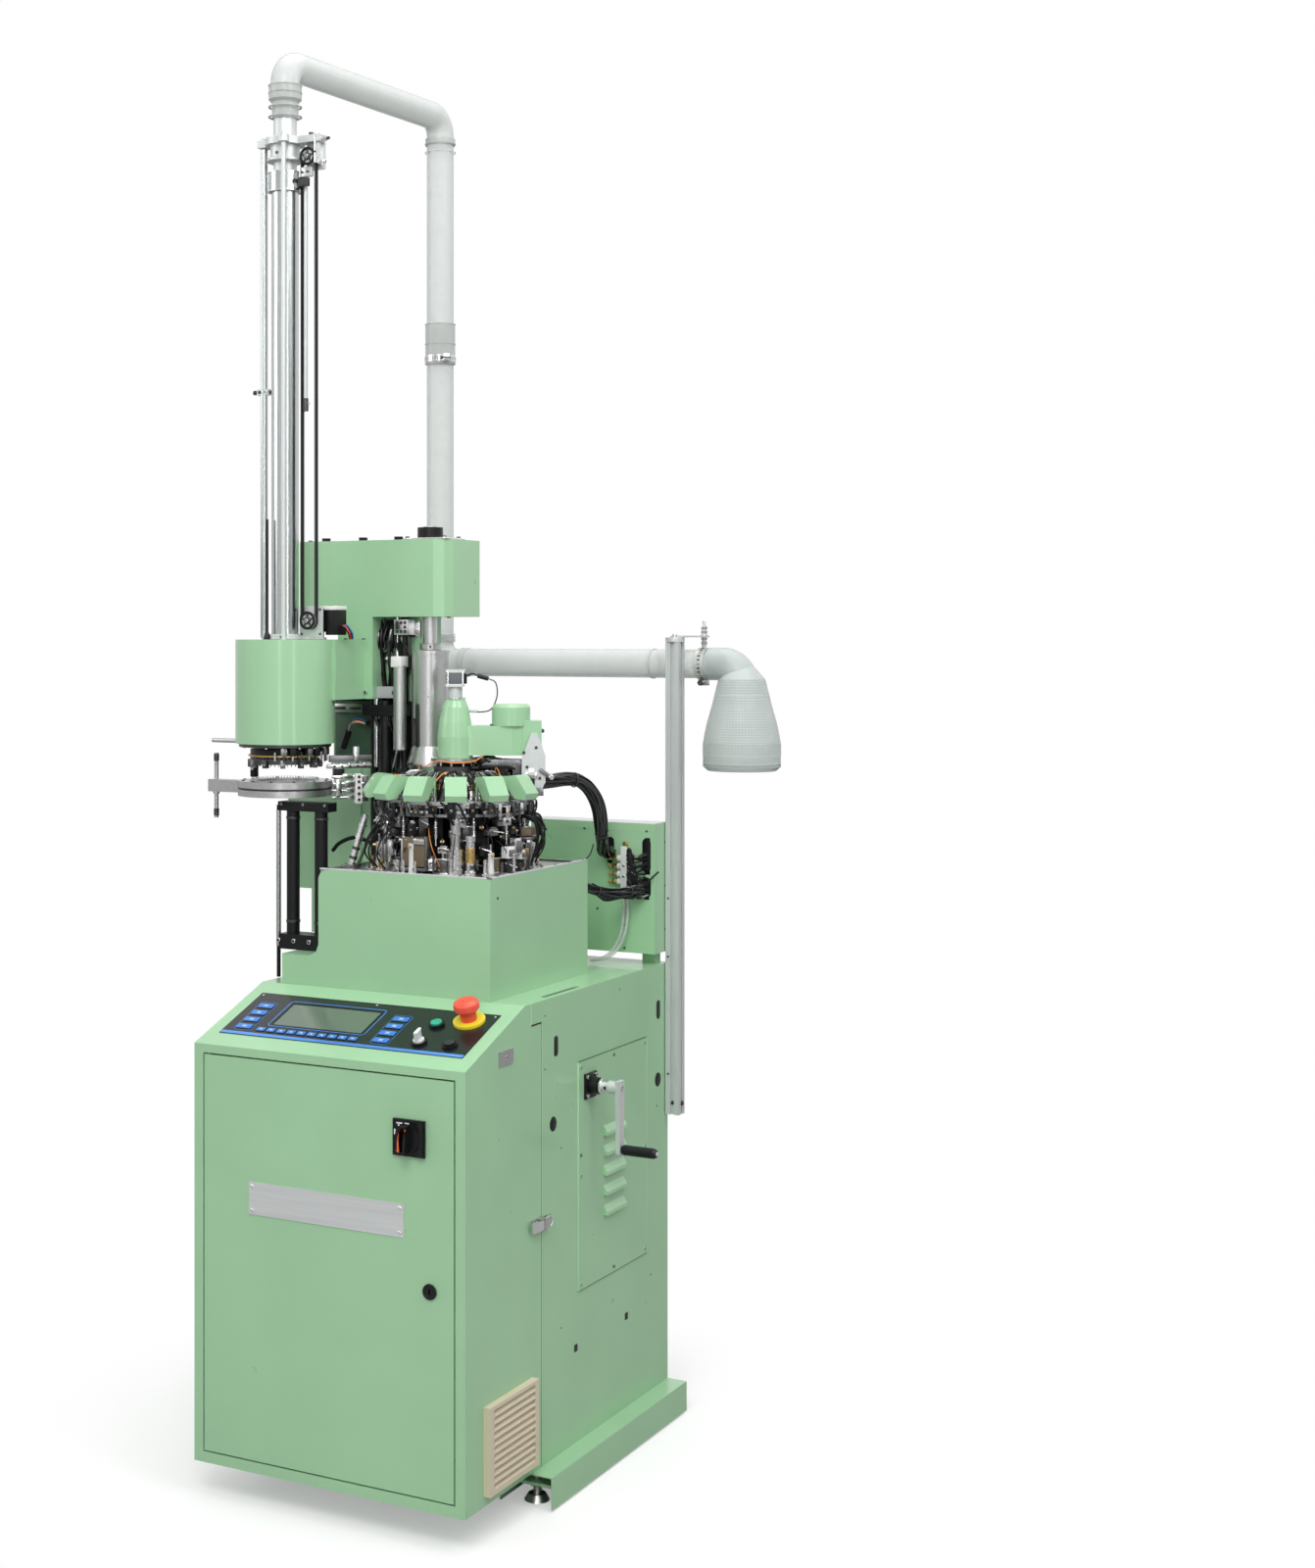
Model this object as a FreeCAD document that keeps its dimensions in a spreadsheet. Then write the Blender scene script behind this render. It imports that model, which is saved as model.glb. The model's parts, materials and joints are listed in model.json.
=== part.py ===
import FreeCAD, Part
import math
import os
import re
import Sketcher

Vector = FreeCAD.Vector
doc = FreeCAD.newDocument("KnittingMachine")
sheet = doc.addObject("Spreadsheet::Sheet", "Sizes")
pieces = []

# Driving dimensions in millimetres and degrees.  The frame has +X to the operator's right,
# +Y to the rear and +Z up from the floor, and its origin lies under the middle of the machine.
SIZES = {
    # stand and sheet-metal cabinet
    "right_x": 280, "body_wide": 581, "front_y": -481, "cabinet_deep": 291, "body_deep": 866,
    "skin": 3, "fit": 0.3, "pad_high": 4, "rail_high": 60, "rail_out": 43, "rail_wide": 110,
    "rail_back": 252, "cross_in": 60, "cross_wide": 40, "foot_radius": 24, "foot_inset_y": 45,
    "foot_stem": 7, "body_high": 930, "slope_rise": 84, "slope_run": 226,
    # cabinet door and what it carries
    "door_margin": 23, "door_head": 19, "door_gap": 3, "door_thick": 18, "door_fold": 14,
    "hinge_radius": 5, "hinge_in": 6, "hinge_pin": 24, "switch_in": 89, "switch_down": 107,
    "switch_side": 65, "switch_plate": 6, "switch_deep": 12, "switch_shaft": 5, "switch_grip": 24,
    "lock_in": 48, "lock_up": 366, "lock_radius": 13.5, "lock_neck": 10.5, "cam_long": 57,
    "cam_wide": 18, "cam_gap": 5, "plate_down": 256, "plate_wide": 332, "plate_tall": 60, "plate_thick": 1.5,
    "rivet_in": 8, "rivet_radius": 3,
    # controls on the slope
    "membrane_margin": 28, "membrane_low": 43, "membrane_tall": 155, "membrane_thick": 1.5,
    "screen_left": 92, "screen_right": 237, "screen_low": 88, "screen_tall": 80, "key_wide": 30,
    "key_tall": 15, "key_pitch": 26, "key_gap": 37, "low_key_gap": 5.5, "low_key_over": 29,
    "start_in": 105, "start_up": 142, "select_in": 107, "select_up": 77, "reset_in": 44,
    "reset_up": 78, "stop_in": 49, "stop_up": 165, "bezel_radius": 15, "bezel_high": 5,
    "stop_disc": 30, "stop_radius": 20, "stop_high": 40, "stop_cap": 14, "button_stroke": 3,
    "button_radius": 11, "button_neck": 8,
    # right side
    "grille_front": 67, "grille_wide": 188, "grille_low": 83, "grille_tall": 158, "grille_deep": 14,
    "grille_rim": 14, "slat_count": 11, "access_front": 444, "access_wide": 314, "access_low": 351,
    "access_tall": 439, "access_lap": 12, "panel_thick": 1.5, "louvre_count": 5, "louvre_down": 145,
    "louvre_pitch": 39, "louvre_wide": 92, "louvre_in": 110, "louvre_deep": 9, "crank_in": 48,
    "crank_down": 51, "crank_out": 66, "crank_throw": 118, "crank_shaft": 9, "grip_long": 72,
    "grip_radius": 10, "grip_pin": 4, "latch_down": 412, "latch_wide": 26, "side_slot_down": 94,
    "side_slot_tall": 36, "side_slot_in": 58, "rear_slot_in": 46, "side_hole_down": 144,
    "side_hole": 10, "catch_in": 148, "catch_down": 82, "top_slot_in": 12, "top_slot_wide": 10,
    "top_slot_long": 150, "top_slot_back": 37,
    # bed and knitting head, each height given above what carries it
    "needle_x": 18, "needle_y": -51, "bed_wide": 378, "bed_front": 204, "bed_back": 206,
    "bed_rise": 227, "bed_step": 59, "bed_wing": 84, "bed_plate": 12, "bed_rim": 9, "bed_bevel": 16,
    "cylinder_radius": 50, "cylinder_wall": 6, "cylinder_tail": 60, "pulley_wide": 34,
    "cylinder_mouth": 12, "needle_count": 28, "needle_slot": 2.4, "needle_deep": 2.5,
    "ring_rise": 135, "cylinder_proud": 30, "ring_plate": 12, "ring_radius": 150, "cover_out": 183,
    "cover_tall": 47, "cover_wide": 42, "cover_count": 6, "cover_step": 27, "cover_first": -81,
    "view_turn": -60.26, "pillar_radius": 11, "pillar_ring": 130, "selector_count": 8,
    "selector_deep": 53, "selector_tall": 62, "selector_gap": 9, "clamp_turn": 50, "clamp_wide": 38,
    "dial_radius": 46, "dial_gap": 4, "dial_thick": 8, "cone_rise": 43, "cone_tall": 115,
    "cone_radius": 35, "cone_top": 20, "spindle_radius": 12, "arm_reach": 110, "arm_turn": 29.7,
    "arm_tall": 58, "arm_cap": 38, "arm_cap_tall": 42, "arm_end": 34, "bracket_out": 28, "stepper_side": 38,
    "stepper_tall": 30, "stepper_foot": 26,
    # column, transfer cylinder and upper housing
    "transfer_x": -81, "transfer_y": 22, "transfer_radius": 37, "transfer_tall": 236,
    "transfer_gap": 68, "shaft_radius": 14, "shaft_bush": 26, "house_x": -376, "house_wide": 349,
    "house_y": -9, "house_deep": 140, "house_rise": 717, "house_tall": 156, "house_corner": 30,
    "house_wall": 4, "leg_x": -282, "leg_wide": 83, "leg_drop": 167, "leg_deep": 46,
    "column_x": -286, "column_wide": 170, "column_back": 50, "column_deep": 86, "column_foot": 14,
    "guard_wide": 150, "guard_step": 91, "guard_neck": 36, "guard_lap": 30,
    "pivot_x": -181, "pivot_y": 12, "pivot_radius": 12, "notch_gap": 8, "lift_post_radius": 8,
    # linking station and its tall tube
    "link_x": -326, "link_y": -138, "link_radius": 100, "drum_drop": 46, "drum_tall": 208,
    "link_wall": 4, "head_bore": 40, "head_rim": 72, "head_neck": 58, "prong_ring": 62,
    "prong_count": 12, "station_drop": 105, "station_thick": 13, "station_radius": 95,
    "station_bore": 62, "hub_radius": 22, "handle_reach": 169, "handle_wide": 26, "handle_down": 52,
    "handle_up": 81,
    "tube_radius": 27.5, "tube_wall": 2.5, "tube_dip": 41, "tube_long": 980, "tube_drop": 235,
    "flange_up": 54, "flange_thick": 14, "neck_up": 20, "inner_radius": 23.5, "inner_wall": 2,
    "guide_radius": 5, "guide_reach": 51, "guide_front": 45, "stay_up": 494, "belt_out": 58,
    "belt_pitch_radius": 17, "idler_up": 27, "driver_up": 38, "belt_wide": 9, "belt_thick": 2,
    "stand_back": 43, "stand_left": 48, "stand_right": 114, "stand_radius": 13, "stand_down": 26,
    # suction pipes, their post and the rear cable box
    "pipe_radius": 30, "pipe_wall": 3, "pipe_x": -291, "pipe_y": 430, "upper_run": 220,
    "lower_run": 51, "elbow_bend": 42, "sleeve": 3, "coupling_down": 503, "coupling_long": 88,
    "collar_long": 14, "bell_x": 427, "bell_up": 30, "bell_tall": 250, "bell_neck": 34,
    "bell_radius": 80, "bell_wall": 3, "bell_bend": 42, "post_x": 297, "post_y": 384,
    "post_side": 30, "post_groove": 8, "post_down": 314, "post_up": 46, "strap_wide": 20,
    "strap_out": 46, "rear_box_wide": 286, "rear_box_deep": 66, "rear_box_gap": 23,
    "rear_box_tall": 267, "cable_in": 102, "cable_up": 230, "manifold_in": 62, "manifold_up": 194,
    "manifold_tall": 84, "nipple_count": 4,
    # drive and control gear inside
    "motor_reach": 240, "motor_radius": 62, "motor_long": 200, "motor_down": 120,
    "motor_shaft": 9, "unit_plate": 4, "unit_margin": 60,
}

# Levels and places that follow from the sizes, worked out from the floor or the body upwards.
LEFT = "(right_x - body_wide)"
SEAM = "(front_y + cabinet_deep)"
REAR = "(front_y + body_deep)"
RAIL_FRONT = "(front_y + rail_back)"
RAIL_TOP = "(pad_high + rail_high)"
FRONT_TOP = "(body_high - slope_rise)"
DOOR_LEFT = "(right_x - body_wide + door_margin)"
DOOR_RIGHT = "(right_x - door_margin)"
DOOR_LOW = "(pad_high + rail_high + door_margin)"
DOOR_TOP = "(body_high - slope_rise - door_head)"
BED_TOP = "(body_high + bed_rise)"
BED_STEP = "(body_high + bed_step)"
RING_TOP = "(body_high + bed_rise + ring_rise)"
RING_LOW = "(body_high + bed_rise + ring_rise - ring_plate)"
CYLINDER_TOP = "(body_high + bed_rise + ring_rise + cylinder_proud)"
DIAL_LOW = "(body_high + bed_rise + ring_rise + cylinder_proud + dial_gap)"
CONE_LOW = "(body_high + bed_rise + ring_rise + cylinder_proud + dial_gap + cone_rise)"
CONE_TOP = "(body_high + bed_rise + ring_rise + cylinder_proud + dial_gap + cone_rise + cone_tall)"
HOUSE_LOW = "(body_high + house_rise)"
HOUSE_TOP = "(body_high + house_rise + house_tall)"
LEG_LOW = "(body_high + house_rise - leg_drop)"
TRANSFER_TOP = "(body_high + house_rise - transfer_gap)"
TRANSFER_LOW = "(body_high + house_rise - transfer_gap - transfer_tall)"
DRUM_TOP = "(body_high + house_rise - drum_drop)"
DRUM_LOW = "(body_high + house_rise - drum_drop - drum_tall)"
STATION_LOW = "(body_high + house_rise - drum_drop - drum_tall - station_drop)"
TUBE_LOW = "(body_high + house_rise - drum_drop - tube_dip)"
TUBE_TOP = "(body_high + house_rise - drum_drop - tube_dip + tube_long)"
FLANGE_LOW = "(%s + flange_up)" % TUBE_TOP
IDLER_UP = "(%s + idler_up)" % TUBE_TOP
DRIVER_UP = "(body_high + house_rise - drum_drop + driver_up)"
UPPER_RUN = "(%s + upper_run)" % TUBE_TOP
LOWER_RUN = "(body_high + house_rise - drum_drop - lower_run)"
COUPLING_UP = "(%s - coupling_down)" % UPPER_RUN
BELT_X = "(link_x + belt_out)"
STAND_Y = "(link_y - stand_back)"
STAND_TOP = "(%s - stand_down)" % STATION_LOW
POST_TOP = "(%s + post_up)" % LOWER_RUN
BOX_LEFT = "(right_x - rear_box_wide)"
BOX_FRONT = "(front_y + body_deep - rear_box_deep)"
BOX_LOW = "(body_high + rear_box_gap)"
BOX_TOP = "(body_high + rear_box_gap + rear_box_tall)"
CRANK_Y = "(front_y + access_front + crank_in)"
CRANK_Z = "(access_low + access_tall - crank_down)"
ACCESS_TOP = "(access_low + access_tall)"


def fill_sheet():
    """Put each size in the sheet as a plain number under its own alias."""
    for row, (name, value) in enumerate(SIZES.items(), start=1):
        sheet.set("A%d" % row, name)
        sheet.set("B%d" % row, str(value))
        sheet.setAlias("B%d" % row, name)
    doc.recompute()


def linked(text):
    """Turn an expression over size names into one over the sheet's cells."""
    return re.sub(r"\b([a-z]\w*)\b(?!\()", r"Sizes.\1", str(text))


def size(text):
    """Value now of an expression over size names."""
    value = sheet.evalExpression(linked(text))
    return float(getattr(value, "Value", value))


def place(thing, x="0", y="0", z="0"):
    """Tie an object's position to size expressions."""
    for axis, text in zip("xyz", (x, y, z)):
        thing.setExpression("Placement.Base." + axis, linked(text))


def box(name, x, y, z):
    """Block between pairs of size expressions along each axis."""
    block = doc.addObject("Part::Box", name)
    for side, (low, high) in zip(("Length", "Width", "Height"), (x, y, z)):
        block.setExpression(side, linked("(%s) - (%s)" % (high, low)))
    place(block, x[0], y[0], z[0])
    return block


TURN = {
    "z": FreeCAD.Rotation(),
    "x": FreeCAD.Rotation(Vector(0, 1, 0), 90),
    "y": FreeCAD.Rotation(Vector(1, 0, 0), -90),
}


def rod(name, radius, x, y, z, long, axis="z"):
    """Cylinder that starts at a point and runs along an axis."""
    bar = doc.addObject("Part::Cylinder", name)
    bar.Placement = FreeCAD.Placement(Vector(), TURN[axis])
    bar.setExpression("Radius", linked(radius))
    bar.setExpression("Height", linked(long))
    place(bar, x, y, z)
    return bar


def cone(name, low_radius, high_radius, x, y, z, long, axis="z"):
    """Tapered turned piece along an axis."""
    taper = doc.addObject("Part::Cone", name)
    taper.Placement = FreeCAD.Placement(Vector(), TURN[axis])
    taper.setExpression("Radius1", linked(low_radius))
    taper.setExpression("Radius2", linked(high_radius))
    taper.setExpression("Height", linked(long))
    place(taper, x, y, z)
    return taper


def joined(name, *parts):
    """One solid from several that meet."""
    whole = doc.addObject("Part::MultiFuse", name)
    whole.Shapes = list(parts)
    whole.Refine = True
    return whole


def less(name, base, *tools):
    """A base with one or more tools taken away."""
    tool = tools[0] if len(tools) == 1 else joined(name + "_tools", *tools)
    rest = doc.addObject("Part::Cut", name)
    rest.Base = base
    rest.Tool = tool
    rest.Refine = True
    return rest


def group(name, *parts):
    """Separate solids kept in one node."""
    several = doc.addObject("Part::Compound", name)
    several.Links = list(parts)
    return several


def keep(label, thing):
    """Name a finished sub-part; the label becomes its file's name."""
    thing.Label = label
    pieces.append(thing)
    return thing


def sketch(body, name, plane, outline):
    """Closed outline on one of the body's own origin planes, each corner tied to the sheet."""
    drawing = body.newObject("Sketcher::SketchObject", name)
    support = [f for f in body.Origin.OriginFeatures if f.Role == plane + "_Plane"][0]
    drawing.AttachmentSupport = [(support, "")]
    drawing.MapMode = "FlatFace"
    spots = [Vector(size(across), size(up), 0) for across, up in outline]
    for start, end in zip(spots, spots[1:] + spots[:1]):
        drawing.addGeometry(Part.LineSegment(start, end))
    for side in range(len(spots)):
        drawing.addConstraint(Sketcher.Constraint("Coincident", side, 2, (side + 1) % len(spots), 1))
    for corner, (across, up) in enumerate(outline):
        for kind, text in (("DistanceX", across), ("DistanceY", up)):
            rule = drawing.addConstraint(Sketcher.Constraint(kind, -1, 1, corner, 1, size(text)))
            drawing.setExpression("Constraints[%d]" % rule, linked(text))
    return drawing


def extruded(name, plane, outline, long, x="0", y="0", z="0", both=False):
    """Body made by padding an outline; the body is placed by size expressions."""
    body = doc.addObject("PartDesign::Body", name)
    pad = body.newObject("PartDesign::Pad", name + "_pad")
    pad.Profile = sketch(body, name + "_outline", plane, outline)
    pad.setExpression("Length", linked(long))
    pad.Midplane = both
    body.Tip = pad
    place(body, x, y, z)
    return body


def turned(name, outline, x="0", y="0", z="0"):
    """Body made by revolving a (radius, height) outline about the upright axis."""
    body = doc.addObject("PartDesign::Body", name)
    spin = body.newObject("PartDesign::Revolution", name + "_spin")
    spin.Profile = sketch(body, name + "_outline", "XZ", outline)
    spin.ReferenceAxis = (spin.Profile[0], ["V_Axis"])
    spin.Angle = 360
    body.Tip = spin
    place(body, x, y, z)
    return body


def hexagon(name, radius, x, y, z, long, axis="z"):
    """Six-sided bar or screw head that starts at a point and runs along an axis."""
    bar = doc.addObject("Part::Prism", name)
    bar.Polygon = 6
    bar.Placement = FreeCAD.Placement(Vector(), TURN[axis])
    bar.setExpression("Circumradius", linked(radius))
    bar.setExpression("Height", linked(long))
    place(bar, x, y, z)
    return bar


def foot_x(sign):
    """Middle of a rail; the sign is +1 for the right one."""
    return "right_x - body_wide / 2 + (%d) * (body_wide / 2 + rail_out - rail_wide / 2)" % sign


FOOT_Y = (RAIL_FRONT + " + foot_inset_y", REAR + " - foot_inset_y")
FOOT_SHELF = "pad_high + rail_high / 2"


def base_frame():
    """Welded stand: two inverted channels, two cross tubes and a drilled bracket over each foot."""
    solids = []
    holes = []
    for side, sign in (("right", 1), ("left", -1)):
        outer = "right_x - body_wide / 2 + (%d) * (body_wide / 2 + rail_out)" % sign
        inner = "(%s) - (%d) * rail_wide" % (outer, sign)
        edges = (inner, outer) if sign > 0 else (outer, inner)
        rail = box(side + "_rail", edges, (RAIL_FRONT, REAR), ("pad_high", RAIL_TOP))
        within = (edges[0] + " + skin", edges[1] + " - skin")
        trough = box(side + "_trough", within, (RAIL_FRONT + " - 1", REAR + " + 1"),
                     ("pad_high - 1", RAIL_TOP + " - skin"))
        solids.append(less(side + "_channel", rail, trough))
        for end, middle in enumerate(FOOT_Y):
            solids.append(box("%s_bracket_%d" % (side, end), within,
                              (middle + " - foot_radius", middle + " + foot_radius"),
                              (FOOT_SHELF, FOOT_SHELF + " + 2 * skin")))
            holes.append(rod("%s_hole_%d" % (side, end), "foot_stem + fit", foot_x(sign), middle,
                             "pad_high", "rail_high - 2 * skin"))
    between = (LEFT + " - rail_out + rail_wide", "right_x + rail_out - rail_wide")
    for tag, middle in (("front", RAIL_FRONT + " + cross_in"), ("rear", REAR + " - cross_in")):
        solids.append(box(tag + "_cross", between, (middle + " - cross_wide / 2",
                                                    middle + " + cross_wide / 2"),
                          ("pad_high + rail_high / 5", RAIL_TOP)))
    keep("base_frame", less("base_frame", joined("base_solid", *solids), *holes))


def levelling_feet():
    """Four feet, each a pad, a hexagon nut under the bracket and a threaded stem, turned as one."""
    feet = []
    for sign in (1, -1):
        for end, middle in enumerate(FOOT_Y):
            tag = "foot_%d_%d" % (sign + 1, end)
            pad = cone(tag + "_pad", "foot_radius", "foot_radius * 0.7", foot_x(sign), middle, "0",
                       "3 * pad_high")
            stem = rod(tag + "_stem", "foot_stem", foot_x(sign), middle, "1.5 * pad_high",
                       "rail_high - 4 * pad_high")
            nut = hexagon(tag + "_nut", "foot_stem * 2", foot_x(sign), middle, FOOT_SHELF + " - foot_stem",
                          "foot_stem")
            feet.append(joined(tag, pad, stem, nut))
    keep("levelling_feet", group("levelling_feet", *feet))


def side_outline(inset="0"):
    """Side view of the cabinet, kept a wall's thickness inside the outer faces."""
    rise = "(slope_rise / slope_run)"
    lean = "(%s) * sqrt(1 + %s * %s)" % (inset, rise, rise)
    front = "front_y + (%s)" % inset
    back = SEAM + " - (%s)" % inset
    low = RAIL_TOP + " + (%s)" % inset
    top = "body_high - (%s)" % inset
    return [(front, low), (front, FRONT_TOP + " + (%s) * %s - %s" % (inset, rise, lean)),
            ("front_y + slope_run + (%s - (%s)) / %s" % (lean, inset, rise), top), (back, top), (back, low)]


PIVOT_X = "(%s + hinge_in)" % DOOR_LEFT
PIVOT_Y = "(front_y + hinge_in)"
CONTROLS = tuple((name, "(right_x - membrane_margin - %s_in)" % name, name + "_up")
                 for name in ("start", "select", "reset", "stop"))


def cabinet_shell():
    """Folded front cabinet with sloping top, door opening, vent opening and two pivot pins."""
    outer = extruded("cabinet_outer", "YZ", side_outline(), "body_wide", LEFT)
    inner = extruded("cabinet_inner", "YZ", side_outline("skin"), "body_wide - 2 * skin", LEFT + " + skin")
    lining = box("frame_lining", (LEFT, "right_x"), ("front_y", "front_y + door_thick + 2"),
                 (RAIL_TOP, DOOR_TOP + " + 2 * door_gap"))
    cavity = less("cabinet_cavity", inner, lining)
    opening = box("door_opening", (DOOR_LEFT + " - door_gap", DOOR_RIGHT + " + door_gap"),
                  ("front_y - 1", "front_y + door_thick + 3"),
                  (DOOR_LOW + " - door_gap", DOOR_TOP + " + door_gap"))
    vent = box("vent_opening", ("right_x - skin - 1", "right_x + 1"),
               ("front_y + grille_front + grille_rim + 1",
                "front_y + grille_front + grille_wide - grille_rim - 1"),
               ("grille_low + grille_rim", "grille_low + grille_tall - grille_rim"))
    cuts = [cavity, opening, vent]
    for name, across, up in CONTROLS:
        cuts.append(slope_rod(name + "_bore", "button_neck", across, up, "-10 * skin", "20 * skin"))
    pins = [rod("pivot_pin_" + tag, "hinge_radius / 2", PIVOT_X, PIVOT_Y, low, "door_gap + hinge_pin")
            for tag, low in (("low", DOOR_LOW + " - door_gap - hinge_pin / 2"),
                             ("top", DOOR_TOP + " - hinge_pin / 2"))]
    keep("cabinet_shell", joined("cabinet_shell", less("cabinet_folded", outer, *cuts), *pins))


SLOPE = "atan2(slope_rise; slope_run)"


def on_slope(thing, across, up, out):
    """Lay a thing on the slope: across it, up it from its front edge, and out along its normal."""
    thing.setExpression("Placement.Base.x", linked(across))
    thing.setExpression("Placement.Base.y", linked(
        "front_y + (%s) * cos(%s) - (%s) * sin(%s)" % (up, SLOPE, out, SLOPE)))
    thing.setExpression("Placement.Base.z", linked(
        "%s + (%s) * sin(%s) + (%s) * cos(%s)" % (FRONT_TOP, up, SLOPE, out, SLOPE)))
    thing.Placement.Rotation = FreeCAD.Rotation(Vector(1, 0, 0), size(SLOPE))
    thing.setExpression("Placement.Rotation.Angle", linked(SLOPE))
    return thing


def slope_rod(name, radius, across, up, out, long):
    """Cylinder square to the slope."""
    bar = doc.addObject("Part::Cylinder", name)
    bar.setExpression("Radius", linked(radius))
    bar.setExpression("Height", linked(long))
    return on_slope(bar, across, up, out)


def slope_block(name, across, up, wide, tall, out, thick):
    """Block laid on the slope, given by its middle across it and its lower edge."""
    slab = doc.addObject("Part::Box", name)
    slab.setExpression("Length", linked(wide))
    slab.setExpression("Width", linked(tall))
    slab.setExpression("Height", linked(thick))
    return on_slope(slab, "(%s) - (%s) / 2" % (across, wide), up, out)


SWITCH_X = "(%s - switch_in)" % DOOR_RIGHT
SWITCH_Z = "(%s - switch_down)" % DOOR_TOP
LOCK_X = "(%s - lock_in)" % DOOR_RIGHT
LOCK_Z = "(%s + lock_up)" % DOOR_LOW


def cabinet_door():
    """Pan-shaped door, open at the back, drilled for its lock, its switch and its two pivots."""
    slab = box("door_block", (DOOR_LEFT, DOOR_RIGHT), ("front_y", "front_y + door_thick"),
               (DOOR_LOW, DOOR_TOP))
    hollow = box("door_hollow", (DOOR_LEFT + " + door_fold", DOOR_RIGHT + " - door_fold"),
                 ("front_y + skin", "front_y + door_thick + 1"),
                 (DOOR_LOW + " + door_fold", DOOR_TOP + " - door_fold"))
    bores = [rod(tag + "_bore", radius, across, "front_y - 1", up, "door_thick", "y")
             for tag, radius, across, up in (("lock", "lock_neck + fit", LOCK_X, LOCK_Z),
                                             ("switch", "switch_shaft + fit", SWITCH_X, SWITCH_Z))]
    pivots = rod("door_pivot_bores", "hinge_radius / 2 + fit", PIVOT_X, PIVOT_Y, DOOR_LOW + " - 1",
                 DOOR_TOP + " - " + DOOR_LOW + " + 2")
    keep("cabinet_door", less("cabinet_door", slab, hollow, pivots, *bores))


def door_lock():
    """Round lock whose cam hangs down inside the door and turns behind the frame to lock."""
    behind = "front_y + door_thick + cam_gap"
    face = rod("lock_face", "lock_radius", LOCK_X, "front_y - skin", LOCK_Z, "skin - fit", "y")
    barrel = rod("lock_barrel", "lock_neck", LOCK_X, "front_y - 1", LOCK_Z, "door_thick + cam_gap + skin + 2",
                 "y")
    cam = box("lock_cam", (LOCK_X + " - cam_wide / 2", LOCK_X + " + cam_wide / 2"),
              (behind, behind + " + skin"), (LOCK_Z + " - cam_long", LOCK_Z + " + cam_wide / 2"))
    keyway = box("lock_keyway", (LOCK_X + " - skin / 2", LOCK_X + " + skin / 2"),
                 ("front_y - skin - 1", "front_y + skin"), (LOCK_Z + " - 5", LOCK_Z + " + 5"))
    keep("door_lock", less("door_lock", joined("lock_solid", face, barrel, cam), keyway))


def name_plate():
    """Bare plate on four rivets in the middle of the door."""
    middle, up = "(%s + %s) / 2" % (DOOR_LEFT, DOOR_RIGHT), "(%s - plate_down)" % DOOR_TOP
    plate = box("plate_sheet", (middle + " - plate_wide / 2", middle + " + plate_wide / 2"),
                ("front_y - plate_thick", "front_y"), (up + " - plate_tall / 2", up + " + plate_tall / 2"))
    rivets = [hexagon("plate_rivet_%d_%d" % (side + 1, end + 1), "rivet_radius",
                      middle + " + (%d) * (plate_wide / 2 - rivet_in)" % side, "front_y - 2 * plate_thick",
                      up + " + (%d) * (plate_tall / 2 - rivet_in)" % end, "plate_thick", "y")
              for side in (-1, 1) for end in (-1, 1)]
    keep("name_plate", joined("name_plate", plate, *rivets))


def main_switch():
    """Square switch plate with a round boss, and the waisted handle on its shaft."""
    half, front = "switch_side / 2", "front_y - switch_deep"
    plate = box("switch_sheet", (SWITCH_X + " - " + half, SWITCH_X + " + " + half),
                ("front_y - switch_plate", "front_y"), (SWITCH_Z + " - " + half, SWITCH_Z + " + " + half))
    boss = rod("switch_boss", "switch_grip + 1", SWITCH_X, front, SWITCH_Z, "switch_deep - switch_plate", "y")
    bore = rod("switch_plate_bore", "switch_shaft", SWITCH_X, front + " - 1", SWITCH_Z, "switch_deep + 2",
               "y")
    keep("main_switch_plate", less("main_switch_plate", joined("switch_solid", plate, boss), bore))
    outline = [("-switch_shaft", "-switch_grip"), ("switch_shaft", "-switch_grip"), ("switch_shaft + 2", "0"),
               ("switch_shaft", "switch_grip"), ("-switch_shaft", "switch_grip"), ("-switch_shaft - 2", "0")]
    grip = extruded("switch_handle", "XZ", outline, "switch_deep + 4", SWITCH_X, front + " - 1", SWITCH_Z)
    stem = rod("switch_stem", "switch_shaft - fit", SWITCH_X, front + " - 1", SWITCH_Z,
               "switch_deep + door_thick", "y")
    keep("main_switch_handle", joined("main_switch_handle", grip, stem))


SCREEN_WIDE = "(body_wide - 2 * membrane_margin - screen_left - screen_right)"
SCREEN_X = "(%s + membrane_margin + screen_left + %s / 2)" % (LEFT, SCREEN_WIDE)
LOW_KEYS = 10
PANEL_MIDDLE = "(right_x - body_wide / 2)"


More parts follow.
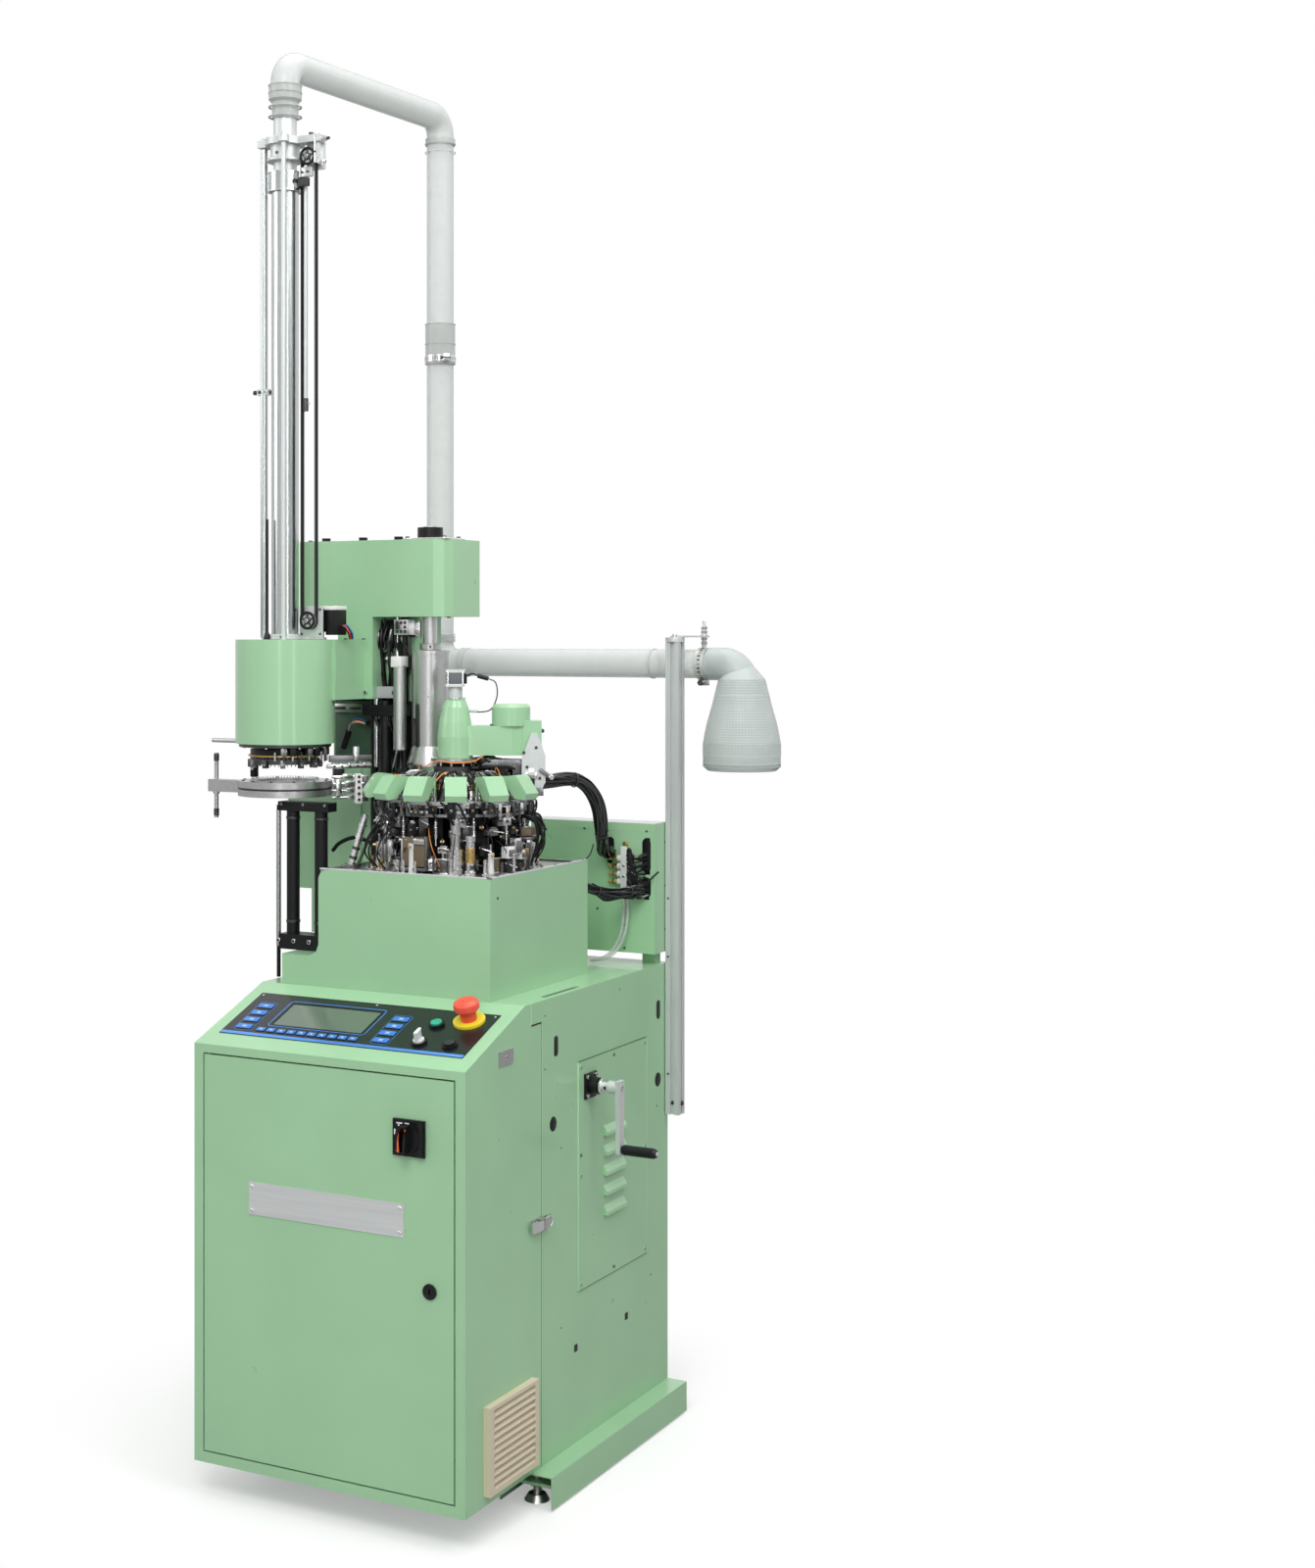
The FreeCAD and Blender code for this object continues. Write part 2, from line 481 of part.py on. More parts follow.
def control_panel():
    """Membrane keyboard with raised keys, open over its screen and bored for the controls."""
    sheet_part = slope_block("membrane", PANEL_MIDDLE, "membrane_low", "body_wide - 2 * membrane_margin",
                             "membrane_tall", "0", "membrane_thick")
    window = slope_block("screen_window", SCREEN_X, "screen_low", SCREEN_WIDE, "screen_tall",
                         "-1", "membrane_thick + 2")
    bores = [slope_rod(name + "_membrane_bore", "button_neck", across, up, "-1", "membrane_thick + 2")
             for name, across, up in CONTROLS]
    keys = []
    for row in range(4):
        up = "screen_low - key_pitch + 2 + %d * key_pitch" % row
        for side, sign in (("left", "-"), ("right", "+")):
            across = "%s %s (%s / 2 + key_gap + key_wide / 2)" % (SCREEN_X, sign, SCREEN_WIDE)
            keys.append(slope_block("key_%s_%d" % (side, row), across, up, "key_wide", "key_tall",
                                    "membrane_thick", "1"))
    pitch = "((%s + low_key_over) / %d)" % (SCREEN_WIDE, LOW_KEYS)
    for column in range(LOW_KEYS):
        across = "%s - %s / 2 + (%d - 0.5) * %s" % (SCREEN_X, SCREEN_WIDE, column, pitch)
        keys.append(slope_block("key_low_%d" % column, across, "membrane_low + key_tall + 2",
                                pitch + " - low_key_gap", "key_tall - 2", "membrane_thick", "1"))
    keep("control_panel", joined("control_panel", less("membrane_cut", sheet_part, window, *bores), *keys))
    keep("display_screen", slope_block("display_screen", SCREEN_X, "screen_low + fit",
                                       SCREEN_WIDE + " - 2 * fit",
                                       "screen_tall - 2 * fit", "0", "membrane_thick / 2"))


def control_bezels():
    """Threaded ring round each control; the stop's ring is a wide disc."""
    rings = []
    for name, across, up in CONTROLS:
        radius = "stop_disc" if name == "stop" else "bezel_radius"
        ring = slope_rod(name + "_ring", radius, across, up, "membrane_thick", "bezel_high")
        mouth = slope_rod(name + "_mouth", "button_radius", across, up, "membrane_thick + fit", "bezel_high")
        bore = slope_rod(name + "_ring_bore", "button_neck", across, up, "0", "bezel_high")
        rings.append(less(name + "_bezel_ring", ring, mouth, bore))
    keep("control_bezels", group("control_bezels", *rings[:3]))
    keep("stop_bezel", rings[3])


def panel_controls():
    """Two push buttons, the selector with its blade and the mushroom stop, each on a stem."""
    base = "membrane_thick + button_stroke"
    solids = {}
    for name, across, up in CONTROLS:
        high = "stop_high - " + base if name == "stop" else "bezel_high"
        cap = slope_rod(name + "_cap", "button_radius - fit", across, up, base, high)
        stem = slope_rod(name + "_stem", "button_neck - fit", across, up, "-2 * stop_disc / 3",
                         "2 * stop_disc / 3 + %s + 1" % base)
        solids[name] = [cap, stem]
        if name == "select":
            solids[name].append(slope_block("select_blade", across, up + " - button_neck", "button_neck - 1",
                                            "2 * button_neck", base + " + bezel_high - 1", "2 * button_neck"))
        if name == "stop":
            solids[name].append(slope_rod("stop_head", "stop_radius", across, up, "stop_high - stop_cap",
                                          "2 * stop_cap / 3"))
            crown = doc.addObject("Part::Cone", "stop_crown")
            crown.setExpression("Radius1", linked("stop_radius"))
            crown.setExpression("Radius2", linked("3 * stop_radius / 4"))
            crown.setExpression("Height", linked("stop_cap / 3"))
            solids[name].append(on_slope(crown, across, up, "stop_high - stop_cap / 3"))
    for name, label in (("start", "start_button"), ("reset", "reset_button"), ("select", "selector_knob"),
                        ("stop", "stop_button")):
        keep(label, joined(label, *solids[name]))


def vent_grille():
    """Moulded vent cover: a raised frame with sloping slats and open gaps between them."""
    front, low = "(front_y + grille_front)", "(grille_low + grille_rim / 2)"
    rim = "grille_rim"
    frame = box("grille_block", ("right_x", "right_x + grille_deep"), (front, front + " + grille_wide"),
                ("grille_low", "grille_low + grille_tall"))
    window = box("grille_window", ("right_x - 1", "right_x + grille_deep + 1"),
                 (front + " + " + rim, front + " + grille_wide - " + rim),
                 (low, "grille_low + grille_tall - grille_rim / 2"))
    slats = []
    pitch = "((grille_tall - grille_rim) / slat_count)"
    for row in range(int(size("slat_count"))):
        up = "%s + %d * %s" % (low, row, pitch)
        outline = [("skin", up), ("grille_deep", up), ("grille_deep", up + " + skin"),
                   ("2 * skin", up + " + " + pitch + " * 0.72"), ("skin", up + " + " + pitch + " * 0.72")]
        slats.append(extruded("slat_%d" % row, "XZ", outline, "grille_wide - 2 * grille_rim + 2", "right_x",
                              front + " + grille_wide - grille_rim + 1"))
    keep("vent_grille", joined("vent_grille", less("grille_frame", frame, window), *slats))


def body_shell():
    """Main sheet-metal body behind the cabinet, open below, with its slots and access opening."""
    side = ("right_x - skin - 1", "right_x + 1")
    through = ("body_high - skin - 1", "body_high + 1")
    outer = box("body_outer", (LEFT, "right_x"), (SEAM, REAR), (RAIL_TOP, "body_high"))
    inner = box("body_inner", (LEFT + " + skin", "right_x - skin"), (SEAM + " + skin", REAR + " - skin"),
                (RAIL_TOP + " - 1", "body_high - skin"))
    access = box("access_opening", side, ("front_y + access_front + access_lap",
                                          "front_y + access_front + access_wide - access_lap"),
                 ("access_low + access_lap", ACCESS_TOP + " - access_lap"))
    room = "(cylinder_radius + cylinder_mouth)"
    bed_hole = box("bed_opening", ("needle_x - " + room, "needle_x + " + room),
                   ("needle_y - " + room, "needle_y + " + room), through)
    edge = box("top_slot", ("right_x - top_slot_in - top_slot_wide", "right_x - top_slot_in"),
               (SEAM + " + top_slot_back", SEAM + " + top_slot_back + top_slot_long"), through)
    cuts = [inner, access, bed_hole, edge]
    for tag, middle in (("front", SEAM + " + side_slot_in"), ("rear", REAR + " - rear_slot_in")):
        up = "(body_high - side_slot_down)"
        cuts.append(box("side_slot_" + tag, side, (middle + " - side_slot_tall / 6",
                                                   middle + " + side_slot_tall / 6"),
                        (up + " - side_slot_tall / 2", up + " + side_slot_tall / 2")))
        cuts.append(rod("side_hole_" + tag, "side_hole", "right_x - skin - 1",
                        middle + " - side_slot_tall / 6",
                        up + " - side_hole_down", "skin + 2", "x"))
    keep("body_shell", less("body_shell", outer, *cuts))


def access_panel():
    """Screwed inspection panel with pressed louvres and the crank's bearing hole."""
    front = "(front_y + access_front)"
    face = "(right_x + panel_thick)"
    sheet_part = box("access_sheet", ("right_x", face), (front, front + " + access_wide"),
                     ("access_low", ACCESS_TOP))
    hoods = []
    slots = []
    for row in range(int(size("louvre_count"))):
        up = "(%s - louvre_down - %d * louvre_pitch)" % (ACCESS_TOP, row)
        near = front + " + louvre_in"
        outline = [("0", up + " - 1.8 * louvre_deep"), ("louvre_deep", up + " - 1.8 * louvre_deep"),
                   ("louvre_deep - 1", up + " - 1.1 * louvre_deep"), ("0", up + " + skin")]
        hoods.append(extruded("louvre_hood_%d" % row, "XZ", outline, "louvre_wide", face,
                              near + " + louvre_wide"))
        slots.append(box("louvre_slot_%d" % row, ("right_x - 1", face + " + louvre_deep - panel_thick"),
                         (near + " + skin", near + " + louvre_wide - skin"),
                         (up + " - 2 * louvre_deep", up + " - 1.2 * louvre_deep")))
    screws = []
    inset = "access_lap / 2 + 4"
    for across in (inset, "access_wide - " + inset.replace("+", "-")):
        for up in (inset, "access_tall / 2", "access_tall - " + inset.replace("+", "-")):
            screws.append(hexagon("panel_screw_%d" % len(screws), "access_lap / 3 + 1", face,
                                  front + " + " + across, "access_low + " + up, "panel_thick", "x"))
    bore = rod("crank_panel_bore", "crank_shaft + 5", "right_x - 1", CRANK_Y, CRANK_Z, "panel_thick + 2", "x")
    panel = less("access_cut", joined("access_solid", sheet_part, *hoods), bore, *slots)
    keep("side_access_panel", joined("side_access_panel", panel, *screws))


def hand_crank():
    """Bearing bracket, crank shaft with its arm, and the grip that spins on the arm's pin."""
    face = "(right_x + panel_thick)"
    half = "2.7 * crank_shaft"
    flange = box("crank_flange", (face, face + " + crank_shaft / 2"),
                 (CRANK_Y + " - " + half, CRANK_Y + " + " + half),
                 (CRANK_Z + " - " + half, CRANK_Z + " + " + half))
    boss = rod("crank_boss", "1.8 * crank_shaft", face, CRANK_Y, CRANK_Z, "crank_out / 3", "x")
    bore = rod("crank_bore", "crank_shaft + fit", "right_x - 2", CRANK_Y, CRANK_Z, "crank_out", "x")
    keep("crank_bracket", less("crank_bracket", joined("crank_bracket_solid", flange, boss), bore))
    shaft = rod("crank_shaft_bar", "crank_shaft", "right_x - crank_out", CRANK_Y, CRANK_Z, "2 * crank_out",
                "x")
    collar = rod("crank_collar", "1.4 * crank_shaft", "right_x + 2 * crank_out / 3", CRANK_Y, CRANK_Z,
                 "crank_out / 3", "x")
    end = "(crank_throw + crank_shaft + 4)"
    outline = [("-crank_shaft - 3", "crank_shaft + 5"), ("-crank_shaft", "-%s + 5" % end),
               ("-crank_shaft / 2", "-" + end), ("crank_shaft / 2", "-" + end),
               ("crank_shaft", "-%s + 5" % end),
               ("crank_shaft + 3", "crank_shaft + 5")]
    arm = extruded("crank_arm_plate", "YZ", outline, "crank_shaft", "right_x + crank_out - crank_shaft / 2",
                   CRANK_Y, CRANK_Z)
    pin = rod("crank_pin", "grip_pin", "right_x + crank_out", CRANK_Y, CRANK_Z + " - crank_throw",
              "grip_long + 2 * grip_pin", "x")
    pulley = rod("crank_pulley", "3 * crank_shaft", "right_x - crank_out", CRANK_Y, CRANK_Z,
                 "2 * crank_shaft", "x")
    keep("hand_crank", joined("hand_crank", shaft, collar, arm, pin, pulley))
    grip = turned("grip_body", [("grip_pin + fit", "0"), ("grip_radius - 2", "0"), ("grip_radius", "5"),
                                ("grip_radius", "grip_long - 5"), ("grip_radius - 3", "grip_long"),
                                ("grip_pin + fit", "grip_long")])
    grip.Placement.Rotation = TURN["x"]
    place(grip, "right_x + crank_out + crank_shaft / 2 + 1", CRANK_Y, CRANK_Z + " - crank_throw")
    keep("crank_grip", grip)


def side_fittings():
    """Toggle latch across the seam and the small catch plate below the slope."""
    latch_up = "(body_high - latch_down)"
    half = "latch_wide / 2"
    base = box("latch_base_plate", ("right_x", "right_x + skin"), (SEAM + " - 42", SEAM + " - 8"),
               (latch_up + " - " + half, latch_up + " + " + half))
    ears = [box("latch_ear_%d" % (side + 1), ("right_x", "right_x + 12"), (SEAM + " - 22", SEAM + " - 8"),
                ("%s + (%d) * (%s - 1.5) - 1" % (latch_up, side, half),
                 "%s + (%d) * (%s - 1.5) + 1" % (latch_up, side, half))) for side in (-1, 1)]
    pin = rod("latch_pin", "2", "right_x + 8", SEAM + " - 14", latch_up + " - " + half, "latch_wide")
    latch_base = joined("latch_base", base, pin, *ears)
    lever = extruded("latch_lever_plate", "XY", [("6", "-52"), ("10", "-52"), ("12", "-30"), ("12", "-11"),
                                                 ("4.5", "-11"), ("4.5", "-40")], "latch_wide - 7", "right_x",
                     SEAM,
                     latch_up + " - latch_wide / 2 + 3.5")
    eye = rod("latch_eye", "2 + fit", "right_x + 8", SEAM + " - 14", latch_up + " - " + half, "latch_wide")
    keep("latch_lever", less("latch_lever", lever, eye))
    hook = extruded("latch_hook", "XY", [("0", "2"), ("0", "36"), ("2", "36"), ("2", "20"), ("11", "16"),
                                         ("11", "-6"), ("8", "-6"), ("8", "12"), ("2", "14"), ("2", "2")],
                    "latch_wide - 6", "right_x", SEAM, latch_up + " - latch_wide / 2 + 3")
    plate_y, plate_z = "(front_y + catch_in)", "(body_high - catch_down)"
    plate = box("catch_plate", ("right_x", "right_x + skin"),
                (plate_y + " - latch_wide", plate_y + " + latch_wide"),
                (plate_z + " - " + half, plate_z + " + " + half))
    hole = rod("catch_hole", "4", "right_x - 1", plate_y, plate_z, "2 * skin", "x")
    keep("side_plates", group("side_plates", latch_base, hook, less("catch_drilled", plate, hole)))


NOTCH_X = "(column_x + column_wide + notch_gap)"
NOTCH_Y = "(pivot_y - 2 * notch_gap)"


def bed():
    """Stepped cover of the knitting bed and the rimmed steel plate that closes its top."""
    left, right = "(needle_x - bed_wide / 2)", "(needle_x + bed_wide / 2)"
    front, back = "(needle_y - bed_front)", "(needle_y + bed_back)"
    outline = [(left + " - bed_wing", "body_high"), (right, "body_high"), (right, BED_TOP),
               (left + " + bed_bevel", BED_TOP), (left + " + bed_bevel / 3", BED_TOP + " - bed_bevel / 3"),
               (left, BED_TOP + " - bed_bevel"), (left, BED_STEP + " + 1.4 * bed_bevel"),
               (left + " - bed_bevel / 2.7", BED_STEP + " + bed_bevel / 2.2"),
               (left + " - 1.4 * bed_bevel", BED_STEP), (left + " - bed_wing", BED_STEP)]
    outer = extruded("bed_outer", "XZ", outline, "bed_front + bed_back", "0", back)
    depth = (front + " + skin", back + " - skin")
    inside = box("bed_inside", (left + " + skin", right + " - skin"), depth,
                 ("body_high - 1", BED_TOP + " + 1"))
    wing = box("bed_wing_inside", (left + " - bed_wing + skin", left + " + skin + 1"), depth,
               ("body_high - 1", BED_STEP + " - skin"))
    void = joined("bed_void", inside, wing)
    near = ("column_x - bed_wing", NOTCH_X)
    corner = box("bed_notch", near, (NOTCH_Y, back + " + 1"), ("body_high - 1", BED_TOP + " + 1"))
    kept = box("bed_notch_wall", (near[0], near[1] + " + skin"), (NOTCH_Y + " - skin", back + " + 1"),
               ("body_high - 1", BED_TOP + " + 1"))
    keep("bed_box", less("bed_box", outer, corner, less("bed_cavity", void, kept)))
    plate = box("bed_plate_slab", (left + " + skin", right + " - skin"), depth,
                (BED_TOP + " - bed_plate", BED_TOP))
    dish = box("bed_plate_dish", (left + " + skin + bed_rim", right + " - skin - bed_rim"),
               (front + " + skin + bed_rim", back + " - skin - bed_rim"),
               (BED_TOP + " - bed_plate / 3", BED_TOP + " + 1"))
    mouth = rod("bed_mouth", "cylinder_radius + cylinder_mouth", "needle_x", "needle_y",
                BED_TOP + " - bed_plate - 1", "bed_plate + 2")
    relief = box("bed_plate_notch", (near[0], near[1] + " + skin"), (NOTCH_Y + " - skin", back + " + 1"),
                 ("body_high", BED_TOP + " + 1"))
    keep("bed_plate", less("bed_plate", plate, dish, mouth, relief))


def needle_cylinder():
    """Rotating cylinder with a needle slot at every step round its upper end, on a toothed pulley."""
    wall_in = "cylinder_radius - cylinder_wall"
    low = "(body_high - cylinder_tail)"
    rim = "(cylinder_wall / 2)"
    barrel = turned("cylinder_barrel", [
        (wall_in, low + " - pulley_wide"), ("cylinder_radius + cylinder_wall", low + " - pulley_wide"),
        ("cylinder_radius + cylinder_wall", low + " - pulley_wide + " + rim),
        ("cylinder_radius + " + rim, low + " - pulley_wide + " + rim),
        ("cylinder_radius + " + rim, low + " - " + rim),
        ("cylinder_radius + cylinder_wall", low + " - " + rim), ("cylinder_radius + cylinder_wall", low),
        ("cylinder_radius", low), ("cylinder_radius", CYLINDER_TOP), (wall_in, CYLINDER_TOP)], "needle_x",
                    "needle_y")
    slots = []
    count = int(size("needle_count"))
    for turn in range(count):
        slots.append(radial_box("needle_slot_%d" % turn, turn * 360.0 / count,
                                "cylinder_radius - needle_deep",
                                "cylinder_radius + 1", "needle_slot", RING_LOW + " - cylinder_wall",
                                CYLINDER_TOP + " + 1"))
    keep("needle_cylinder", less("needle_cylinder", barrel, *slots))


def radial_box(name, angle, near, far, wide, low, high):
    """Block that points outward from the needle axis at an angle given in degrees."""
    block = doc.addObject("Part::Box", name)
    block.setExpression("Length", linked("(%s) - (%s)" % (far, near)))
    block.setExpression("Width", linked(wide))
    block.setExpression("Height", linked("(%s) - (%s)" % (high, low)))
    block.Placement.Rotation = FreeCAD.Rotation(Vector(0, 0, 1), angle)
    cosine, sine = math.cos(math.radians(angle)), math.sin(math.radians(angle))
    place(block, "needle_x + (%s) * %.6f + (%s) / 2 * %.6f" % (near, cosine, wide, sine),
          "needle_y + (%s) * %.6f - (%s) / 2 * %.6f" % (near, sine, wide, cosine), low)
    return block


def cover_angle(turn):
    """Direction of one yarn feed from the needle axis, in degrees."""
    return size("view_turn + cover_first + %d * cover_step" % turn)


def feeder_ring():
    """Fixed ring on four pillars over the bed, with its bush, finger stacks and cable block."""
    inner, collar = "(cylinder_radius + dial_gap)", "(%s + cylinder_proud / 2)" % RING_TOP
    ring = turned("ring_disc", [(inner, RING_LOW), ("ring_radius", RING_LOW), ("ring_radius", RING_TOP),
                                (inner + " + 26", RING_TOP), (inner + " + 18", collar), (inner, collar)],
                  "needle_x", "needle_y")
    solids = [ring, radial_box("cable_clamp", size("clamp_turn"), "ring_radius - 34", "ring_radius - 2",
                               "clamp_wide",
                               RING_TOP + " - 1", RING_TOP + " + cover_tall - 5")]
    for turn in range(4):
        angle = math.radians(size("view_turn") + 90 * turn)
        across = "needle_x + pillar_ring * %.6f" % math.cos(angle)
        along = "needle_y + pillar_ring * %.6f" % math.sin(angle)
        floor = "(%s - bed_plate / 3)" % BED_TOP
        solids.append(rod("pillar_foot_%d" % turn, "1.6 * pillar_radius", across, along, floor,
                          "2 * bed_plate / 3"))
        solids.append(rod("pillar_stem_%d" % turn, "pillar_radius", across, along, floor,
                          RING_LOW + " - " + floor))
    for turn in range(int(size("cover_count"))):
        angle = cover_angle(turn)
        solids.append(radial_box("finger_stack_%d" % turn, angle, inner + " + 4", "ring_radius - 34", "26",
                                 RING_TOP + " - 1", RING_TOP + " + 0.7 * cover_tall"))
        solids.append(radial_box("finger_arm_%d" % turn, angle, "ring_radius - 60", "ring_radius - 10", "14",
                                 RING_TOP + " - 1", RING_TOP + " + cover_tall / 8"))
    keep("feeder_ring", joined("feeder_ring", *solids))


def yarn_finger_covers():
    """Bent sheet covers over the yarn fingers, one over each stack."""
    covers = []
    low, high = "(%s + 1)" % RING_TOP, "(%s + 1 + cover_tall)" % RING_TOP
    near, far = "(ring_radius - 28)", "cover_out"
    outline = [(near, high + " - 8"), (near + " + 2", high + " - 3"), (near + " + 30", high),
               (near + " + 38", high + " - 3"), (far, low + " + 12"), (far + " - 6", low),
               (near + " + 34", low + " + 2")]
    for turn in range(int(size("cover_count"))):
        cover = extruded("finger_cover_%d" % turn, "XZ", outline, "cover_wide", both=True)
        cover.Placement.Rotation = FreeCAD.Rotation(Vector(0, 0, 1), cover_angle(turn))
        place(cover, "needle_x", "needle_y", "0")
        covers.append(cover)
    keep("yarn_finger_covers", group("yarn_finger_covers", *covers))


def selector_units():
    """Needle selectors round the cylinder: each a coil block, grooved across, under a narrower head."""
    blocks = []
    near = "(cylinder_radius + selector_gap)"
    count = int(size("selector_count"))
    for turn in range(count):
        angle = size("view_turn") + (turn + 0.5) * 360.0 / count
        shelf = "(%s + selector_tall)" % BED_TOP
        floor = "(%s - bed_plate / 3)" % BED_TOP
        low = radial_box("selector_low_%d" % turn, angle, near, near + " + selector_deep", "44", floor, shelf)
        high = radial_box("selector_high_%d" % turn, angle, near, near + " + 0.9 * selector_deep", "34",
                          shelf, RING_LOW)
        grooves = [radial_box("selector_groove_%d_%d" % (turn, row), angle, near + " + 0.8 * selector_deep",
                              near + " + selector_deep + 1", "46",
                              "%s + %.2f * selector_tall" % (floor, share),
                              "%s + %.2f * selector_tall" % (floor, share + 0.08))
                   for row, share in enumerate((0.25, 0.45, 0.65, 0.85))]
        blocks.append(less("selector_%d" % turn, joined("selector_solid_%d" % turn, low, high), *grooves))
    keep("selector_units", group("selector_units", *blocks))


def about_needle(thing, angle, across="0", up="0"):
    """Turn a thing about the needle axis; across and up move it along its own turned axis and up."""
    thing.Placement.Rotation = FreeCAD.Rotation(Vector(0, 0, 1), size(angle))
    place(thing, "needle_x + (%s) * cos(%s)" % (across, angle), "needle_y + (%s) * sin(%s)" % (across, angle),
          up)
    return thing


def dial_plate():
    """Rotating dial with its spindle, over the needle cylinder."""
    top = "(%s - 2 * spindle_radius)" % CONE_TOP
    keep("dial_plate", turned("dial_disc", [
        ("0", DIAL_LOW), ("dial_radius", DIAL_LOW), ("dial_radius", DIAL_LOW + " + dial_thick / 2"),
        ("dial_radius - 10", DIAL_LOW + " + dial_thick"), ("spindle_radius", DIAL_LOW + " + dial_thick"),
        ("spindle_radius", top), ("0", top)], "needle_x", "needle_y"))


def dial_arm_cover():
    """Arm over the dial: a domed cover round the spindle, a tapered web and a capped drive cover."""
    inner, roof = "(spindle_radius + 1)", "(%s - 2 * spindle_radius + 1)" % CONE_TOP
    dome = turned("cone_cover", [(inner, CONE_LOW), ("cone_radius", CONE_LOW),
                                 ("cone_radius", CONE_LOW + " + 0.36 * cone_tall"),
                                 ("cone_radius - 3", CONE_LOW + " + 0.6 * cone_tall"),
                                 ("cone_radius - 9", CONE_LOW + " + 0.86 * cone_tall"),
                                 ("cone_top", CONE_TOP + " - 2"), ("cone_top - 3", CONE_TOP), ("0", CONE_TOP),
                                 ("0", roof),
                                 (inner, roof)], "needle_x", "needle_y")
    web = extruded("dial_arm_web", "XY", [(inner, "-22"), ("arm_reach", "-32"),
                                          ("arm_reach + arm_end", "-24"),
                                          ("arm_reach + arm_end", "24"), ("arm_reach", "32"), (inner, "22")],
                   "arm_tall")
    about_needle(web, "arm_turn", "0", CONE_LOW + " + 5")
    near, far = "arm_reach + 22", "arm_reach + arm_end + 25"
    end = extruded("dial_arm_end", "XY", [(near, "-bracket_out"), (far, "-bracket_out"), (far, "bracket_out"),
                                          (near, "bracket_out")], "arm_tall + 10")
    about_needle(end, "arm_turn", "0", CONE_LOW + " + 5")
    cap = turned("drive_cover", [("0", "0"), ("arm_cap", "0"), ("arm_cap", "arm_cap_tall - 6"),
                                 ("arm_cap - 5", "arm_cap_tall"), ("0", "arm_cap_tall")])
    about_needle(cap, "arm_turn", "arm_reach", CONE_LOW + " + 5 + arm_tall")
    well = rod("arm_well", inner, "needle_x", "needle_y", CONE_LOW + " - 1", roof + " + 1 - " + CONE_LOW)
    keep("dial_arm_cover", less("dial_arm_cover", joined("dial_arm_solid", dome, web, end, cap), well))


def dial_arm_bracket():
    """Slotted bracket that holds the arm over the ring, and the small flanged stepper on the dome."""
    foot, slot = "arm_reach + 20", "arm_reach + 33"
    outline = [(foot, RING_TOP), (foot + " + 30", RING_TOP), (foot + " + 46", RING_TOP + " + cylinder_proud"),
               (foot + " + 46", CONE_LOW + " + 5"), (foot + " + 30", CONE_LOW + " + arm_tall - 9"),
               (foot + " + 18", CONE_LOW + " + arm_tall - 9"), (foot, CONE_LOW)]
    plate = extruded("bracket_plate", "XZ", outline, "8", both=True)
    plate.Placement.Rotation = FreeCAD.Rotation(Vector(0, 0, 1), size("arm_turn"))
    place(plate, "needle_x + (bracket_out + 4) * sin(arm_turn)",
          "needle_y - (bracket_out + 4) * cos(arm_turn)")
    window = doc.addObject("Part::Box", "bracket_slot")
    for side, text in (("Length", "12"), ("Width", "12"), ("Height", "cone_rise")):
        window.setExpression(side, linked(text))
    window.Placement.Rotation = FreeCAD.Rotation(Vector(0, 0, 1), size("arm_turn"))
    place(window, "needle_x + (%s) * cos(arm_turn) + (bracket_out + 10) * sin(arm_turn)" % slot,
          "needle_y + (%s) * sin(arm_turn) - (bracket_out + 10) * cos(arm_turn)" % slot,
          RING_TOP + " + cylinder_proud / 2")
    base = CONE_TOP
    foot = rod("stepper_foot_ring", "cone_top - 6", "needle_x", "needle_y", base, "stepper_foot")
    solids = [foot]
    for tag, side, low, tall in (("lower_flange", "stepper_side", "stepper_foot - 2", "4"),
                                 ("case", "stepper_side - 4", "stepper_foot", "stepper_tall"),
                                 ("upper_flange", "stepper_side", "stepper_foot + stepper_tall - 2", "4")):
        block = doc.addObject("Part::Box", "stepper_" + tag)
        for edge, text in (("Length", side), ("Width", side), ("Height", tall)):
            block.setExpression(edge, linked(text))
        block.Placement.Rotation = FreeCAD.Rotation(Vector(0, 0, 1), size("arm_turn"))
        half = "(%s) / 2" % side
        place(block, "needle_x - %s * cos(arm_turn) + %s * sin(arm_turn)" % (half, half),
              "needle_y - %s * sin(arm_turn) - %s * cos(arm_turn)" % (half, half), "%s + %s" % (base, low))
        solids.append(block)
    keep("dial_arm_bracket", group("dial_arm_bracket", less("bracket_cut", plate, window),
                                   joined("dial_stepper", *solids)))


def rear_column():
    """Cast column behind the needle bed, on its foot flange, with the guard plate on its left."""
    front = "(house_y + column_back)"
    column = box("column_block", ("column_x", "column_x + column_wide"), (front, front + " + column_deep"),
                 ("body_high", HOUSE_LOW))
    foot = box("column_foot", ("column_x - 10", "column_x + column_wide + notch_gap / 2"),
               (front + " - 4", front + " + column_deep + 20"), ("body_high", "body_high + column_foot"))
    edge, step = "column_x - guard_wide", "column_x - guard_step"
    outline = [("column_x + guard_lap", BED_STEP), ("column_x + guard_lap", LEG_LOW),
               ("column_x - guard_neck", LEG_LOW),
               ("column_x - guard_neck", STATION_LOW + " - skin"), (edge, STATION_LOW + " - skin"),
               (edge, BED_STEP + " + guard_step"), (step, BED_STEP + " + guard_step"), (step, BED_STEP)]
    guard = extruded("column_guard", "XZ", outline, "skin", "0", front)
    fold = box("guard_fold", (edge, edge + " + skin"), (front + " - 1", front + " + 5 * skin"),
               (BED_STEP + " + guard_step", STATION_LOW + " - skin"))
    keep("rear_column", joined("rear_column", column, foot, guard, fold))


